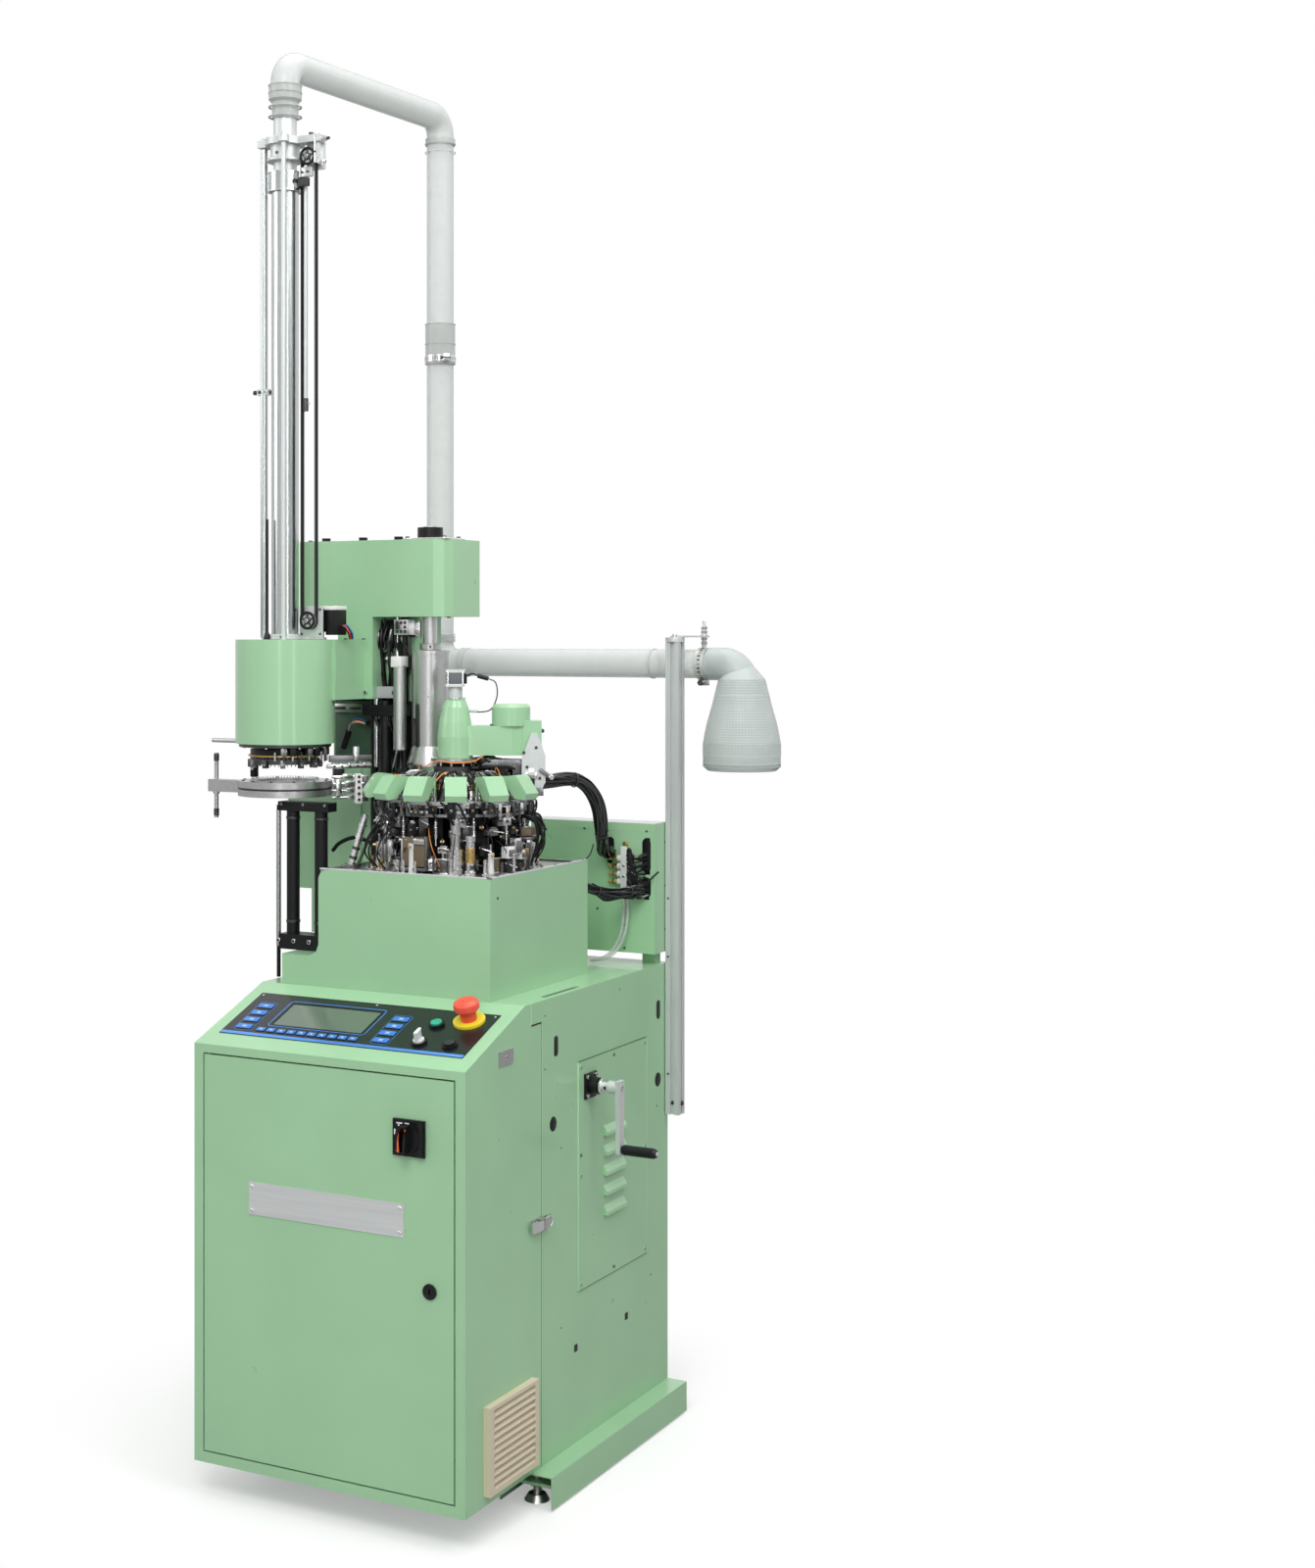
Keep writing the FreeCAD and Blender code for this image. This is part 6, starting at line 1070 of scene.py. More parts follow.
def dial_arm_trim(piece):
    """Screws and seams on the dial arm, the connector and cable of its stepping motor."""
    turn = DIAL_ARM_TURN
    place = around(at(turn, 110, 0), turn)
    for corner in ((14, 22), (14, -22), (-38, 22), (-38, -22)):
        piece.screw((*corner, 1432), UP, 3.2, DARK, 2, place)
    piece.screw(place @ Vector((60, 28, 1420)), (0.5, 0.87, 0), 4, DARK, 6)
    motor = around(NEEDLE, turn)
    piece.band(21, 21.6, 1484, 1486.4, 0.4, BRIGHT, motor, 40)
    piece.block((-17.5, -17.5, 1512), (17.5, 17.5, 1536.5), "motor_grey", 1, motor)
    piece.block((-18.8, -18.8, 1508), (18.8, 18.8, 1513.5), WHITE, 1, motor)
    piece.block((-18.8, -18.8, 1536), (18.8, 18.8, 1541.6), WHITE, 1, motor)
    for side in (-14.5, 14.5):
        piece.rod((side, -19, 1511), (side, -19, 1539), 1.4, BRIGHT, 8, motor)
    piece.block((17.5, -9, 1514), (23, 9, 1534), BLACK, 1.2, motor)
    for step in range(4):
        piece.rod((-9 + 6 * step, -8, 1486), (-9 + 6 * step, -8, 1508), 1.8, DARK, 10, motor)
    head = motor @ Vector((44, 2, 1530))
    piece.wire([motor @ Vector((23, 0, 1529)), motor @ Vector((33, 0, 1534)), head], 1.5, CABLE)
    ahead = head + Vector((20, 8, -6))
    piece.rod(head, ahead, 4.6, BLACK, 16)
    bends = ((0, 0, 0), (14, 4, -8), (16, 6, -34), (4, 4, -60), (-18, 0, -66), (-40, -2, -64))
    piece.wire([ahead + Vector(bend) for bend in bends], 1.3, GREY, 8, 8)
    piece.rod(ahead + Vector((-42, -2, -64)), ahead + Vector((-24, -2, -65)), 3, "silver_plastic", 12)
    bracket = around(NEEDLE, turn)
    for across, height in ((134, 1380), (158, 1390), (140, 1352), (165, 1330), (150, 1312)):
        piece.screw((across, -36.2, height), FORE, 3, DARK, 1.8, bracket)
    piece.block((136, -41, 1330), (160, -36, 1342), BRIGHT, 1, bracket)
    piece.block((150, -44, 1296), (172, -36.2, 1312), GUNMETAL, 1.2, bracket)
    lever = bracket @ upright((176, -36, 1340)) @ Matrix.Rotation(0.6, 4, "Y")
    piece.block((-14, -6, -4), (16, 2, 4), GUNMETAL, 1, lever)
    piece.rod((14, -8, 0), (14, 6, 0), 5, BRIGHT, 16, lever)


# ---------------------------------------------------------------- linking station and housings

LINK = Vector((-326, -138, 0))
STATION_ARM_TURN = radians(46)
SHADE_PLATE_FACE = 37.9
SHAFT = Vector((-81, 22, 0))
DRUM_TOP = 1601.0
HOUSE_LOW = 1647.0
HOUSE_TOP = 1803.0


def drum_trim(piece):
    """Dark bearing ring under the drum, its claw, bars and plates, and bolts on its arm."""
    under = upright(LINK)
    piece.lathe([(80, 1386), (92, 1386), (93, 1387), (93, 1392.4), (80, 1392.4)], DARK, under, 72)
    for turn in range(16):
        angle = radians(22.5 * turn + 8)
        piece.screw(on_circle(LINK, angle, 86.5, 1386), -UP, 2.6, BRIGHT, 2)
    for across, along in ((-258, -24), (-215, -24)):
        piece.screw((across, -10, 1493), FORE, 4.5, MACHINED, 2.4)
        piece.screw((across + 4, along, DRUM_TOP), UP, 4.0, DARK, 2.6)
    piece.block((-407, -145, 1322), (-395, -131, 1368), ENAMEL, 2)
    piece.rod((-398, -138, 1357), (-378, -138, 1357), 4.4, DARK, 16)
    piece.band(0, 3.6, -1, 1, 0, BRIGHT, facing((-401, -146, 1340), FORE), 16)
    piece.rod((-505, -138, 1394.5), (-400, -138, 1394.5), 4.6, TURNED, 20)
    arm = around(LINK, STATION_ARM_TURN)
    piece.block((84, -16, 1340), (176, -2, 1349), BRIGHT, 1.4, arm)
    piece.block((92, -2, 1352), (180, 12, 1366), GUNMETAL, 1.4, arm)
    piece.block((96, -22, 1320), (118, -6, 1340), ENAMEL, 1.4, arm)
    for across in (98, 114, 130, 146, 162):
        piece.screw((across, -9, 1349), UP, 4.4, BRIGHT, 3, arm)
        piece.screw((across, -16, 1344.5), FORE, 2.6, DARK, 1.6, arm)
    piece.block((140, -14, 1349), (150, -4, 1384), BRIGHT, 1, arm)
    for turn in range(14):
        angle = radians(-70 + 12 * turn)
        place = around(on_circle(LINK, angle, 84, 1366), angle)
        if turn % 3:
            piece.block((-7, -6, 4), (5, 6, 19), (DARK, GUNMETAL, ENAMEL)[turn % 3], 1, place)
        piece.rod((0, 0, -6 - 3 * (turn % 2)), (0, 0, 12), 2.2, (BRIGHT, DARK)[turn % 2], 10, place)


def linking_prongs(piece):
    """Hooks, leaf springs and the brass band of the turning linking head."""
    under = upright(LINK)
    piece.lathe([(60, 1367), (73.5, 1367), (74, 1367.6), (74, 1370.4), (73, 1371), (60, 1371)], BRASS, under,
                72)
    piece.collar(52, 69, 1352, 1364, 1, DARK, under, 72)
    for turn in range(48):
        angle = radians(7.5 * turn)
        out = heading(angle)
        foot = on_circle(LINK, angle, 66, 1366)
        piece.rod(foot, foot + Vector((0, 0, -18)) - out * 2, 1.1, BRIGHT, 6)
        if turn % 4 == 0:
            place = around(on_circle(LINK, angle, 68, 1352), angle)
            piece.block((-2, -5, -7), (7, 5, 9), DARK if turn % 8 else GUNMETAL, 1, place)
            piece.screw(place @ Vector((7, 0, 0)), out, 2.2, BRIGHT, 1.4)


def pickup_trim(piece):
    """Pins, screws, bars and blocks on the pick-up ring, its arm and its handle."""
    for turn in range(72):
        angle = radians(5 * turn)
        piece.rod(on_circle(LINK, angle, 67, 1317.5), on_circle(LINK, angle, 67, 1323), 0.9, CHROME, 6)
    for turn in range(12):
        angle = radians(30 * turn + 15)
        piece.screw(on_circle(LINK, angle, 86, 1318), UP, 3.0, DARK, 1.8)
    piece.band(94.4, 95.4, 1302, 1304.6, 0.4, DARK, upright(LINK), 96)
    for across in (-470, -450):
        piece.screw((across, -138, 1310), UP, 3.4, BRIGHT, 2.2)
    piece.lathe([(6.4, 1285), (7, 1286), (7, 1291), (6.4, 1292), (4.8, 1292)], BRIGHT,
                upright((-495, -138, 0)), 20)
    for height in (1240, 1352):
        piece.band(4.7, 5.6, 0, 15, 1, DARK, upright((-495, -138, height)), 16)
    arm = around(LINK, STATION_ARM_TURN)
    for step, (across, height) in enumerate(((-20, 1324), (-24, 1310), (-22, 1296), (-20, 1282))):
        piece.rod((92, across, height), (164, across, height), 3.4, CHROME, 14, arm)
        piece.block((112 + 4 * step, across - 6, height - 4), (134 + 4 * step, across + 5, height + 6),
                    BRIGHT, 1.2, arm)
    piece.block((138, -32, 1270), (152, -12, 1330), WHITE, 2, arm)
    piece.block((156, -28, 1274), (166, -12, 1326), GUNMETAL, 1.4, arm)
    for height in (1278, 1290, 1302, 1314, 1324):
        piece.screw((145, -32, height), FORE, 3, DARK, 1.8, arm)
    piece.block((98, -30, 1286), (110, -20, 1320), BRIGHT, 1, arm)


def transfer_recess(piece):
    """Dark-green plate of painted shade, brackets, clamps, rods and cables beside the transfer shaft."""
    # painted shade: a dark-green plate with a black strip along its top stands for the shaded area between
    # the drum and the column
    piece.plate((-318, -224, 1361, 1477), 2, 0.8, SEAM_AND_SHADE, facing((0, SHADE_PLATE_FACE, 0), FORE), cut=0.2)
    piece.block((-318, 35, 1474), (-224, 38, 1478), ENAMEL, 0.6)
    piece.block((-317, 26, 1450), (-236, 40, 1468), MACHINED, 1.2)
    for across in (-300, -262):
        piece.block((across - 14, 25.4, 1456), (across + 14, 27, 1462), DARK, 0.6)
    piece.block((-206, 40, 1606), (-116, 46, 1640), BRIGHT, 1.2)
    piece.block((-156, 4, 1610), (-122, 40, 1642), BRIGHT, 1.6)
    for across in (-148, -139, -130):
        for up in (1617, 1626, 1635):
            if (across, up) != (-139, 1626):
                piece.plate((-3, 3, -3, 3), 0.6, 0.5, DARK, facing((across, 4, up), FORE), cut=0, steps=2)
    piece.rod((-158, 22, 1512), (-158, 22, HOUSE_LOW), 4.6, CHROME, 20)
    piece.rod((-158, 22, 1504), (-158, 22, 1514), 5.6, DARK, 20)
    piece.rod((-138.5, -2, 1376), (-138.5, -2, 1548), 13, TURNED, 40)
    piece.block((-152, -16, 1545), (-128, 14, 1567), WHITE, 2)
    piece.block((-227, 8, 1481), (-142, 40, 1505), "unit_grey", 2.5)
    for across in (-214, -158):
        piece.screw((across, 8, 1493), FORE, 4.2, DARK, 3)
    piece.collar(14, 20, -3, 3, 1, BRIGHT, facing((-196, 36, 1578), (0.3, -1, 0.1)), 28)
    piece.rod((-196, 36, 1578), (-188, 22, 1580), 5, DARK, 16)
    piece.block((-156, 36, 1360), (-129, 56, 1475), DARK, 2)
    piece.block((-232, 46, 1325), (-206, 60, 1478), ENAMEL, 2)
    piece.rod((-206, 20, 1340), (-206, 20, 1480), 5.4, CHROME, 20)
    for up in range(1340, 1470, 22):
        piece.screw((-219, 46, up), FORE, 2.8, BRIGHT, 2)
    between, pick = draws(3)
    for turn in range(26):
        across = -226 + 3.4 * turn
        path = [(across, 30, 1640), (across + between(-12, 12), 18 + between(-8, 14), 1600),
                (across + between(-16, 16), 26, 1560 + between(-20, 20)),
                (across + between(-10, 10), 34, 1505)]
        piece.wire(path, pick((2.2, 3.0, 4.0)), pick((CABLE, SHEEN)), 8, 8)
    for turn in range(16):
        across = -196 + 3.5 * turn
        path = [(across, 30, 1480), (across + between(-8, 8), 10 + between(-6, 8), 1440),
                (across + between(-8, 8), 26, 1390), (across + between(-6, 6), 20, 1330)]
        piece.wire(path, pick((2.2, 3.2, 4.2)), pick((CABLE, SHEEN)), 8, 8)
    plug, socket = Vector((-292, 26, 1376)), Vector((-276, 22, 1412))
    piece.rod(plug, socket, 7, BLACK, 16)
    for turn in range(5):
        path = [socket, socket + Vector((6 + turn, -2, 14 + turn)), socket + Vector((22, 0, 18 + 2 * turn)),
                socket + Vector((44, 4, 14 + turn))]
        piece.wire(path, 1.5, (ORANGE, WHITE, ORANGE, CABLE, "blue_line")[turn], 6)
    piece.rod(socket + Vector((40, 4, 16)), socket + Vector((68, 8, 16)), 4.6, BLACK, 14)


def transfer_trim(piece):
    """Collars, slot, index plate and skirt of the turning transfer cylinder."""
    place = upright(SHAFT)
    piece.collar(14.4, 21, 1580, 1593, 1, MACHINED, place, 40)
    for turn in range(3):
        angle = radians(120 * turn - 60)
        piece.screw(on_circle(SHAFT, angle, 21, 1586.5), heading(angle), 2.6, DARK, 1.2)
    for height in (1372, 1572):
        piece.band(37.2, 37.5, height, height + 1.4, 0.3, GUNMETAL, place, 64)
    piece.lathe([(36, 1345), (47, 1345), (48, 1346), (48, 1351), (39.5, 1378), (37.2, 1386), (36, 1386)],
                TURNED, place, 64)
    slot = VIEW_TURN - 0.75
    piece.plate((-5, 5, -44, 44), 5, 0.8, DARK, facing(on_circle(SHAFT, slot, 37.0, 1428), heading(slot)),
                cut=0.2)
    piece.screw(on_circle(SHAFT, VIEW_TURN - 0.1, 37.0, 1486), heading(VIEW_TURN - 0.1), 1.4, DARK, 0.6)


def housing_trim(piece):
    """Boss plate, plugs and bolts on top of the upper housing and along its lower edge."""
    piece.plate((-132, -30, -4, 70), 8, 3.4, BRIGHT, upright((0, 0, HOUSE_TOP)), cut=0.6)
    for across, along in ((-124, 4), (-38, 4), (-124, 62), (-38, 62)):
        piece.screw((across, along, HOUSE_TOP + 3.4), UP, 4.2, DARK, 3.2)
    for across, along in ((-340, 108), (-200, 112), (-56, 112), (-360, 8)):
        piece.screw((across, along, HOUSE_TOP), UP, 4.6, DARK, 3.2)
    for across in (-350, -300, -240, -60):
        piece.screw((across, 60, HOUSE_LOW), -UP, 4.0, DARK, 2.4)


def stand_trim(piece):
    """Foot bracket bolts, chrome guide rod, clips and cables of the stand."""
    for across in (-298, -262, -226):
        piece.screw((across, -203, 1006), FORE, 4.6, BRIGHT, 3)
    for across in (-296, -245, -194):
        piece.screw((across, -197, 1275), FORE, 2.8, MACHINED, 1.4)
    for up in (1040, 1245):
        for across in (-278, -212):
            piece.band(13.2, 14.2, up, up + 5.6, 0.6, DARK, upright((across, -181, 0)), 32)
    piece.band(4.1, 4.7, 992, 1262, 0, CHROME, upright((-310, -185, 0)), 24)
    between, pick = draws(9)
    for turn in range(7):
        across = -132 + 4.5 * turn
        path = [(across, -96, 1268), (across + between(-5, 5), -98, 1240),
                (across + between(-6, 6), -100, 1205), (across + between(-4, 4), -96, 1172),
                (across + 6, -90, 1160)]
        piece.wire(path, pick((3.0, 4.0)), CABLE, 8, 8)
    piece.wire([(-150, -60, 1180), (-168, -74, 1196), (-196, -84, 1204), (-226, -92, 1192),
                (-240, -96, 1176)], 4, CABLE, 10, 8)


# ---------------------------------------------------------------- tall tube, lift belt, pipes and bell

BELT_X = -268
BELT_RUN = 16
IDLER_UP = 2567
DRIVER_UP = 1639
GUIDE_BAR = Vector((-377, -138, 0))
BELL = Vector((427, 430, 0))
POST = Vector((297, 384, 0))
PIPE = Vector((-291, 430, 0))


def tube_frame_trim(piece):
    """Bolts, end stops and plates of the frame that the tall tube slides in."""
    for turn in range(4):
        angle = radians(90 * turn + 45)
        piece.screw(on_circle(LINK, angle, 35, 2608), UP, 3.4, BRIGHT, 2.6)
    piece.lathe([(5, 0), (8.5, 0.6), (8.5, 5), (7.5, 6), (0, 6)], BRIGHT, upright((-377, -138, 2608)), 6)
    piece.lathe([(4, 0), (7, 0.6), (7, 5), (6, 6), (0, 6)], BRIGHT, upright((-303.7, -177, 2608)), 6)
    piece.block((-248, -152, 2550), (-243, -122, 2608), BRIGHT, 1)
    piece.rod((-243, -140, 2599), (-224, -140, 2599), 5.2, BRIGHT, 6)
    piece.rod((-224, -140, 2599), (-219, -140, 2599), 3.2, DARK, 12)
    piece.rod((-268, -131, 2608), (-268, -131, 2617), 5.5, DARK, 6)
    piece.screw((-245, -152, 2572), FORE, 2.2, DARK, 1.6)
    piece.screw((-239, -128, 2556), RIGHT, 4.2, BRIGHT, 3)
    piece.screw((-326, -168.2, 2576), FORE, 3.0, DARK, 1.4)
    piece.collar(30.2, 37, 2561, 2567, 1, ALLOY, upright(LINK), 56)
    piece.lathe([(5.2, 1604), (7.4, 1604), (7.5, 1605), (7.5, 2590), (7.4, 2591), (5.2, 2591)], "tube_metal",
                upright(GUIDE_BAR), 28)
    piece.rod((-391, -138, 2101), (-402, -138, 2101), 5, DARK, 6)
    piece.screw((-370, -144, 2101), FORE, 3.2, BRIGHT, 2.6)
    piece.screw((-384, -144, 2101), FORE, 3.2, DARK, 2.6)
    piece.block((-366, -141, 2098), (-354.5, -135, 2104), DARK, 1)
    piece.collar(28.6, 36, 1601, 1612, 1, ALLOY, upright(LINK), 56)
    for turn in range(4):
        angle = radians(90 * turn + 20)
        piece.screw(on_circle(LINK, angle, 36, 1606.5), heading(angle), 2.4, DARK, 1.6)
    piece.rod((-347, -172, 1601), (-347, -172, 1842), 3, BLACK, 12)
    piece.lathe([(3.2, 1601), (7, 1601), (7, 1606), (5, 1612), (3.2, 1616)], BLACK, upright((-347, -172, 0)),
                20)


def carriage_trim(piece):
    """Clamp screws and guide rod that go up and down with the tall tube."""
    for across in (-352, -312, -292):
        piece.screw((across, -153, 2519), FORE, 4.2, DARK, 3.2)
    piece.block((-283, -153, 2524), (-254, -145, 2544), BRIGHT, 1.6)
    piece.block((-290, -153, 2506), (-262, -144.5, 2523), DARK, 1.6)
    piece.screw((-276, -153, 2534), FORE, 2.8, DARK, 2)
    piece.screw((-262, -153, 2534), FORE, 2.8, DARK, 2)
    piece.rod((-276.5, -138, 2066), (-276.5, -138, 2512), 4.2, ALLOY, 16)
    piece.rod((-276.5, -138, 2058), (-276.5, -138, 2084), 5.6, DARK, 16)
    piece.screw((-271, -138, 2074), RIGHT, 2.4, BRIGHT, 3)
    for height in (2500, 2537):
        piece.band(34.1, 35, height, height + 3, 0.5, BRIGHT, upright(LINK), 64)


def pulley_face(piece, height):
    """Spoked face, hub and screw on the front of a belt pulley."""
    place = facing((BELT_X, -144.5, height), FORE)
    piece.lathe([(13, 0), (18.4, 0), (18.4, 1.8), (17.6, 2.6), (14, 2.6), (13, 1.8)], ENAMEL, place, 48)
    piece.lathe([(6, 0), (7.6, 0.4), (7.6, 3.6), (6.8, 4.4), (0, 4.4)], DARK, place, 32)
    piece.screw(place @ Vector((0, 0, 4.4)), FORE, 4, BRIGHT, 2)
    for turn in range(5):
        spoke = place @ Matrix.Rotation(radians(72 * turn), 4, "Z")
        piece.block((-2, 6, 0.2), (2, 14, 2.2), DARK, 0.4, spoke)
    for turn in range(22):
        angle = radians(360 * turn / 22)
        tooth = upright((BELT_X, -138, height)) @ Matrix.Rotation(angle, 4, "Y")
        piece.block((15.4, -4.4, -1), (16.1, 4.4, 1), MACHINED, 0.2, tooth, 1)


def idler_face(piece):
    """Face of the upper belt pulley."""
    pulley_face(piece, IDLER_UP)


def driver_face(piece):
    """Face of the lower belt pulley."""
    pulley_face(piece, DRIVER_UP)


def belt_teeth(piece):
    """Teeth on the inner side of both runs of the lift belt."""
    pitch = 5.0
    for turn in range(int((IDLER_UP - DRIVER_UP) / pitch)):
        height = DRIVER_UP + pitch * (turn + 0.5)
        for side in (-1, 1):
            near, far = sorted((BELT_X + side * BELT_RUN, BELT_X + side * (BELT_RUN - 2.2)))
            piece.block((near, -142.3, height - 1.3), (far, -133.7, height + 1.3), "belt_rubber", 0)


def lift_motor_trim(piece):
    """End plates, bracket screws, top plate and lead of the lift motor."""
    piece.block((-291, -124, 1616), (-245, -119, 1662), ALLOY, 1.2)
    piece.block((-291, -84, 1616), (-245, -77, 1662), ALLOY, 1.2)
    for across in (-286, -250):
        for height in (1621, 1657):
            piece.screw((across, -129, height), FORE, 2.6, BRIGHT, 2.2)
    piece.block((-296, -132, 1605), (-240, -129.4, 1668), ALLOY, 1)
    for across, height in ((-290, 1612), (-246, 1612), (-290, 1661), (-246, 1661)):
        piece.screw((across, -132, height), FORE, 2.4, DARK, 1.6)
    piece.block((-240, -122, 1610), (-214, -84, 1660), BLACK, 1.6)
    piece.block((-252, -124, 1660), (-214, -82, 1668), WHITE, 2)
    piece.band(0, 3.6, 0, 0.7, 0, "yellow_plastic", upright((-226, -104, 1668)), 20)
    for turn in range(4):
        path = [(-214, -108 + 3.5 * turn, 1628), (-206, -106 + 4 * turn, 1626 + turn),
                (-200, -100 + 5 * turn, 1614), (-204, -88 + 4 * turn, 1602)]
        piece.wire(path, 1.5, (CABLE, "red_plastic", CABLE, "blue_line")[turn], 7)
    piece.block((-300, -134, 1601), (-236, -123.6, 1605), BRIGHT, 1)


def coupling_clamp(piece):
    """Worm-drive clamp round the upright pipe: a pierced band, its screw housing and its screw."""
    place = upright(PIPE + Vector((0, 0, 2224)))
    radius, wide = 33.6, 14
    piece.lathe([(radius, -wide / 2), (radius + 0.9, -wide / 2), (radius + 0.9, wide / 2),
                 (radius, wide / 2)], CHROME, place, 72)
    for step in range(36):
        slot = place @ Matrix.Rotation(radians(10 * step), 4, "Z")
        piece.block((radius + 0.5, -0.7, -wide * 0.28), (radius + 1.1, 0.7, wide * 0.28), DARK, 0.1, slot, 1)
    house = place @ Matrix.Rotation(radians(-40), 4, "Z")
    piece.block((radius + 0.6, -8, -wide * 0.6), (radius + 7, 8, wide * 0.6), BRIGHT, 1.4, house)
    piece.rod((radius + 4.4, -13, 0), (radius + 4.4, 8.4, 0), 3.4, DARK, 6, house)


def pipe_trim(piece):
    """Cement beads where the clear bends join their pipes and collars."""
    middle = upright(PIPE)
    for height in (2702, 2683, 2301, 2257, 2213, 1612, 1598):
        piece.band(33.0, 34.4, height - 1.2, height + 1.2, 0.6, SLEEVE, middle, 64)
    tall = upright(LINK)
    for height in (2715, 2700, 2672, 2652):
        piece.band(29.4, 34.2, height - 1.2, height + 1.2, 0.4, SLEEVE, tall, 64)
    along = facing((-235, 430, 1550), RIGHT)
    for step in (0, 12, 460):
        piece.band(30.2, 31.8, step, step + 5.6, 0.6, SLEEVE, along, 64)


def bell_trim(piece):
    """Rolled rim and seam of the bell, and the fine cage of threads moulded in its skirt."""
    place = upright(BELL)
    outline = ((48, 1519), (60, 1469), (71.2, 1430), (80, 1388), (80, 1344), (70, 1330))

    def radius_at(height):
        for (near, high), (far, low) in zip(outline, outline[1:]):
            if low <= height <= high:
                return far + (near - far) * (height - low) / (high - low)
        return outline[-1][0]

    for turn in range(34):
        height = 1340 + turn * 5.3
        reach = radius_at(height)
        piece.lathe([(reach - 0.2, height - 0.45), (reach + 0.45, height), (reach - 0.2, height + 0.45)], NET,
                    place, 72)
    for turn in range(72):
        angle = radians(5 * turn)
        heights = [1340 + step * 22 for step in range(9)]
        piece.pipe([on_circle(BELL, angle, radius_at(height) + 0.25, height) for height in heights], 0.4, NET,
                   4)
    piece.lathe([(68, 1330.3), (71, 1330.3), (80, 1338.5), (80.2, 1343), (79.4, 1343)], "clear_bell", place,
                72)
    for height in (1346, 1362, 1478, 1486):
        piece.lathe([(radius_at(height) - 0.2, height - 1), (radius_at(height) + 0.7, height),
                     (radius_at(height) - 0.2, height + 1)], NET, place, 72)


def post_trim(piece):
    """Cap bolt, drilled holes, groove nuts and the clamp's threaded rod and nuts."""
    piece.lathe([(0, 1605), (9, 1605), (9, 1607.5), (5.5, 1608), (5.5, 1612), (4.6, 1613), (0, 1613)], BRIGHT,
                upright(POST), 24)
    for height in (1064, 943, 700):
        piece.band(0, 2.4, 0, 0.4, 0, DARK, facing((288, 369, height), FORE), 16)
    piece.screw((312, 384, 639), RIGHT, 5, DARK, 3)
    piece.screw((297, 374, 640), FORE, 4, DARK, 2)
    rod_at = Vector((343, 430, 0))
    piece.rod(rod_at + Vector((0, 0, 1583)), rod_at + Vector((0, 0, 1640)), 3.4, BRIGHT, 12)
    for height in (1590, 1600, 1613, 1622):
        piece.rod(rod_at + Vector((0, 0, height)), rod_at + Vector((0, 0, height + 6)), 7.2, MACHINED, 6,
                  cut=0.8)
    piece.band(3.6, 9.5, 1609.4, 1610.8, 0, BRIGHT, upright(rod_at), 24)
    strap = facing((343, 430, 1550), RIGHT)
    for step in range(24):
        angle = radians(15 * step)
        middle = strap @ on_circle(Vector(), angle, 33.6, 0)
        piece.block((-1.6, -3.2, -0.2), (1.6, 3.2, 0.7), BRASS if step % 3 == 0 else DARK, 0.3,
                    facing(middle, middle - Vector((343, 430, 1550)), Vector(RIGHT)), 1)
    piece.block((334, 422, 1505), (352, 438, 1517), MACHINED, 1.6)
    piece.rod((343, 412, 1511), (343, 448, 1511), 4, BRIGHT, 6)
    piece.rod((343, 408, 1511), (343, 413, 1511), 7, DARK, 6, cut=0.8)


def rear_box_trim(piece):
    """Lid edge, screws, folded seams and the dark wiring seen through the box's slots."""
    piece.plate((-5, 279, 320, 384), 3, 1.8, ALLOY, upright((0, 0, 1220)), cut=0.5)
    for across, height in ((6, 1200), (30, 1200), (120, 1206), (262, 1206), (150, 1040), (210, 1010),
                           (212, 962), (120, 962)):
        piece.screw((across, 319, height), FORE, 2.6, DARK, 1)
    piece.block((0, 318.4, 1206), (276, 319.2, 1207.4), "green_paint", 0.2)
    piece.block((4, 345, 1060), (276, 352, 1214), BLACK, 2)
    for height in (1000, 1090, 1180):
        piece.screw((280, 372, height), RIGHT, 2.6, DARK, 1)
    for across, low, high, half in ((179.5, 1153, 1191, 9), (262, 1121, 1191, 9.5), (262, 1068, 1111, 9.5)):
        piece.plate((-half, half, low, high), half, 0.6, CABLE, facing((across, 319, 0), FORE), cut=0.1)
    between, _ = draws(11)
    for _ in range(14):
        across = 178 + between(-4, 4)
        height = 1160 + between(-20, 20)
        path = [(across, 321, height), (across + between(-3, 3), 331, height + between(-6, 6)),
                (across, 344, height)]
        piece.pipe(path, 2.2, CABLE, 7)


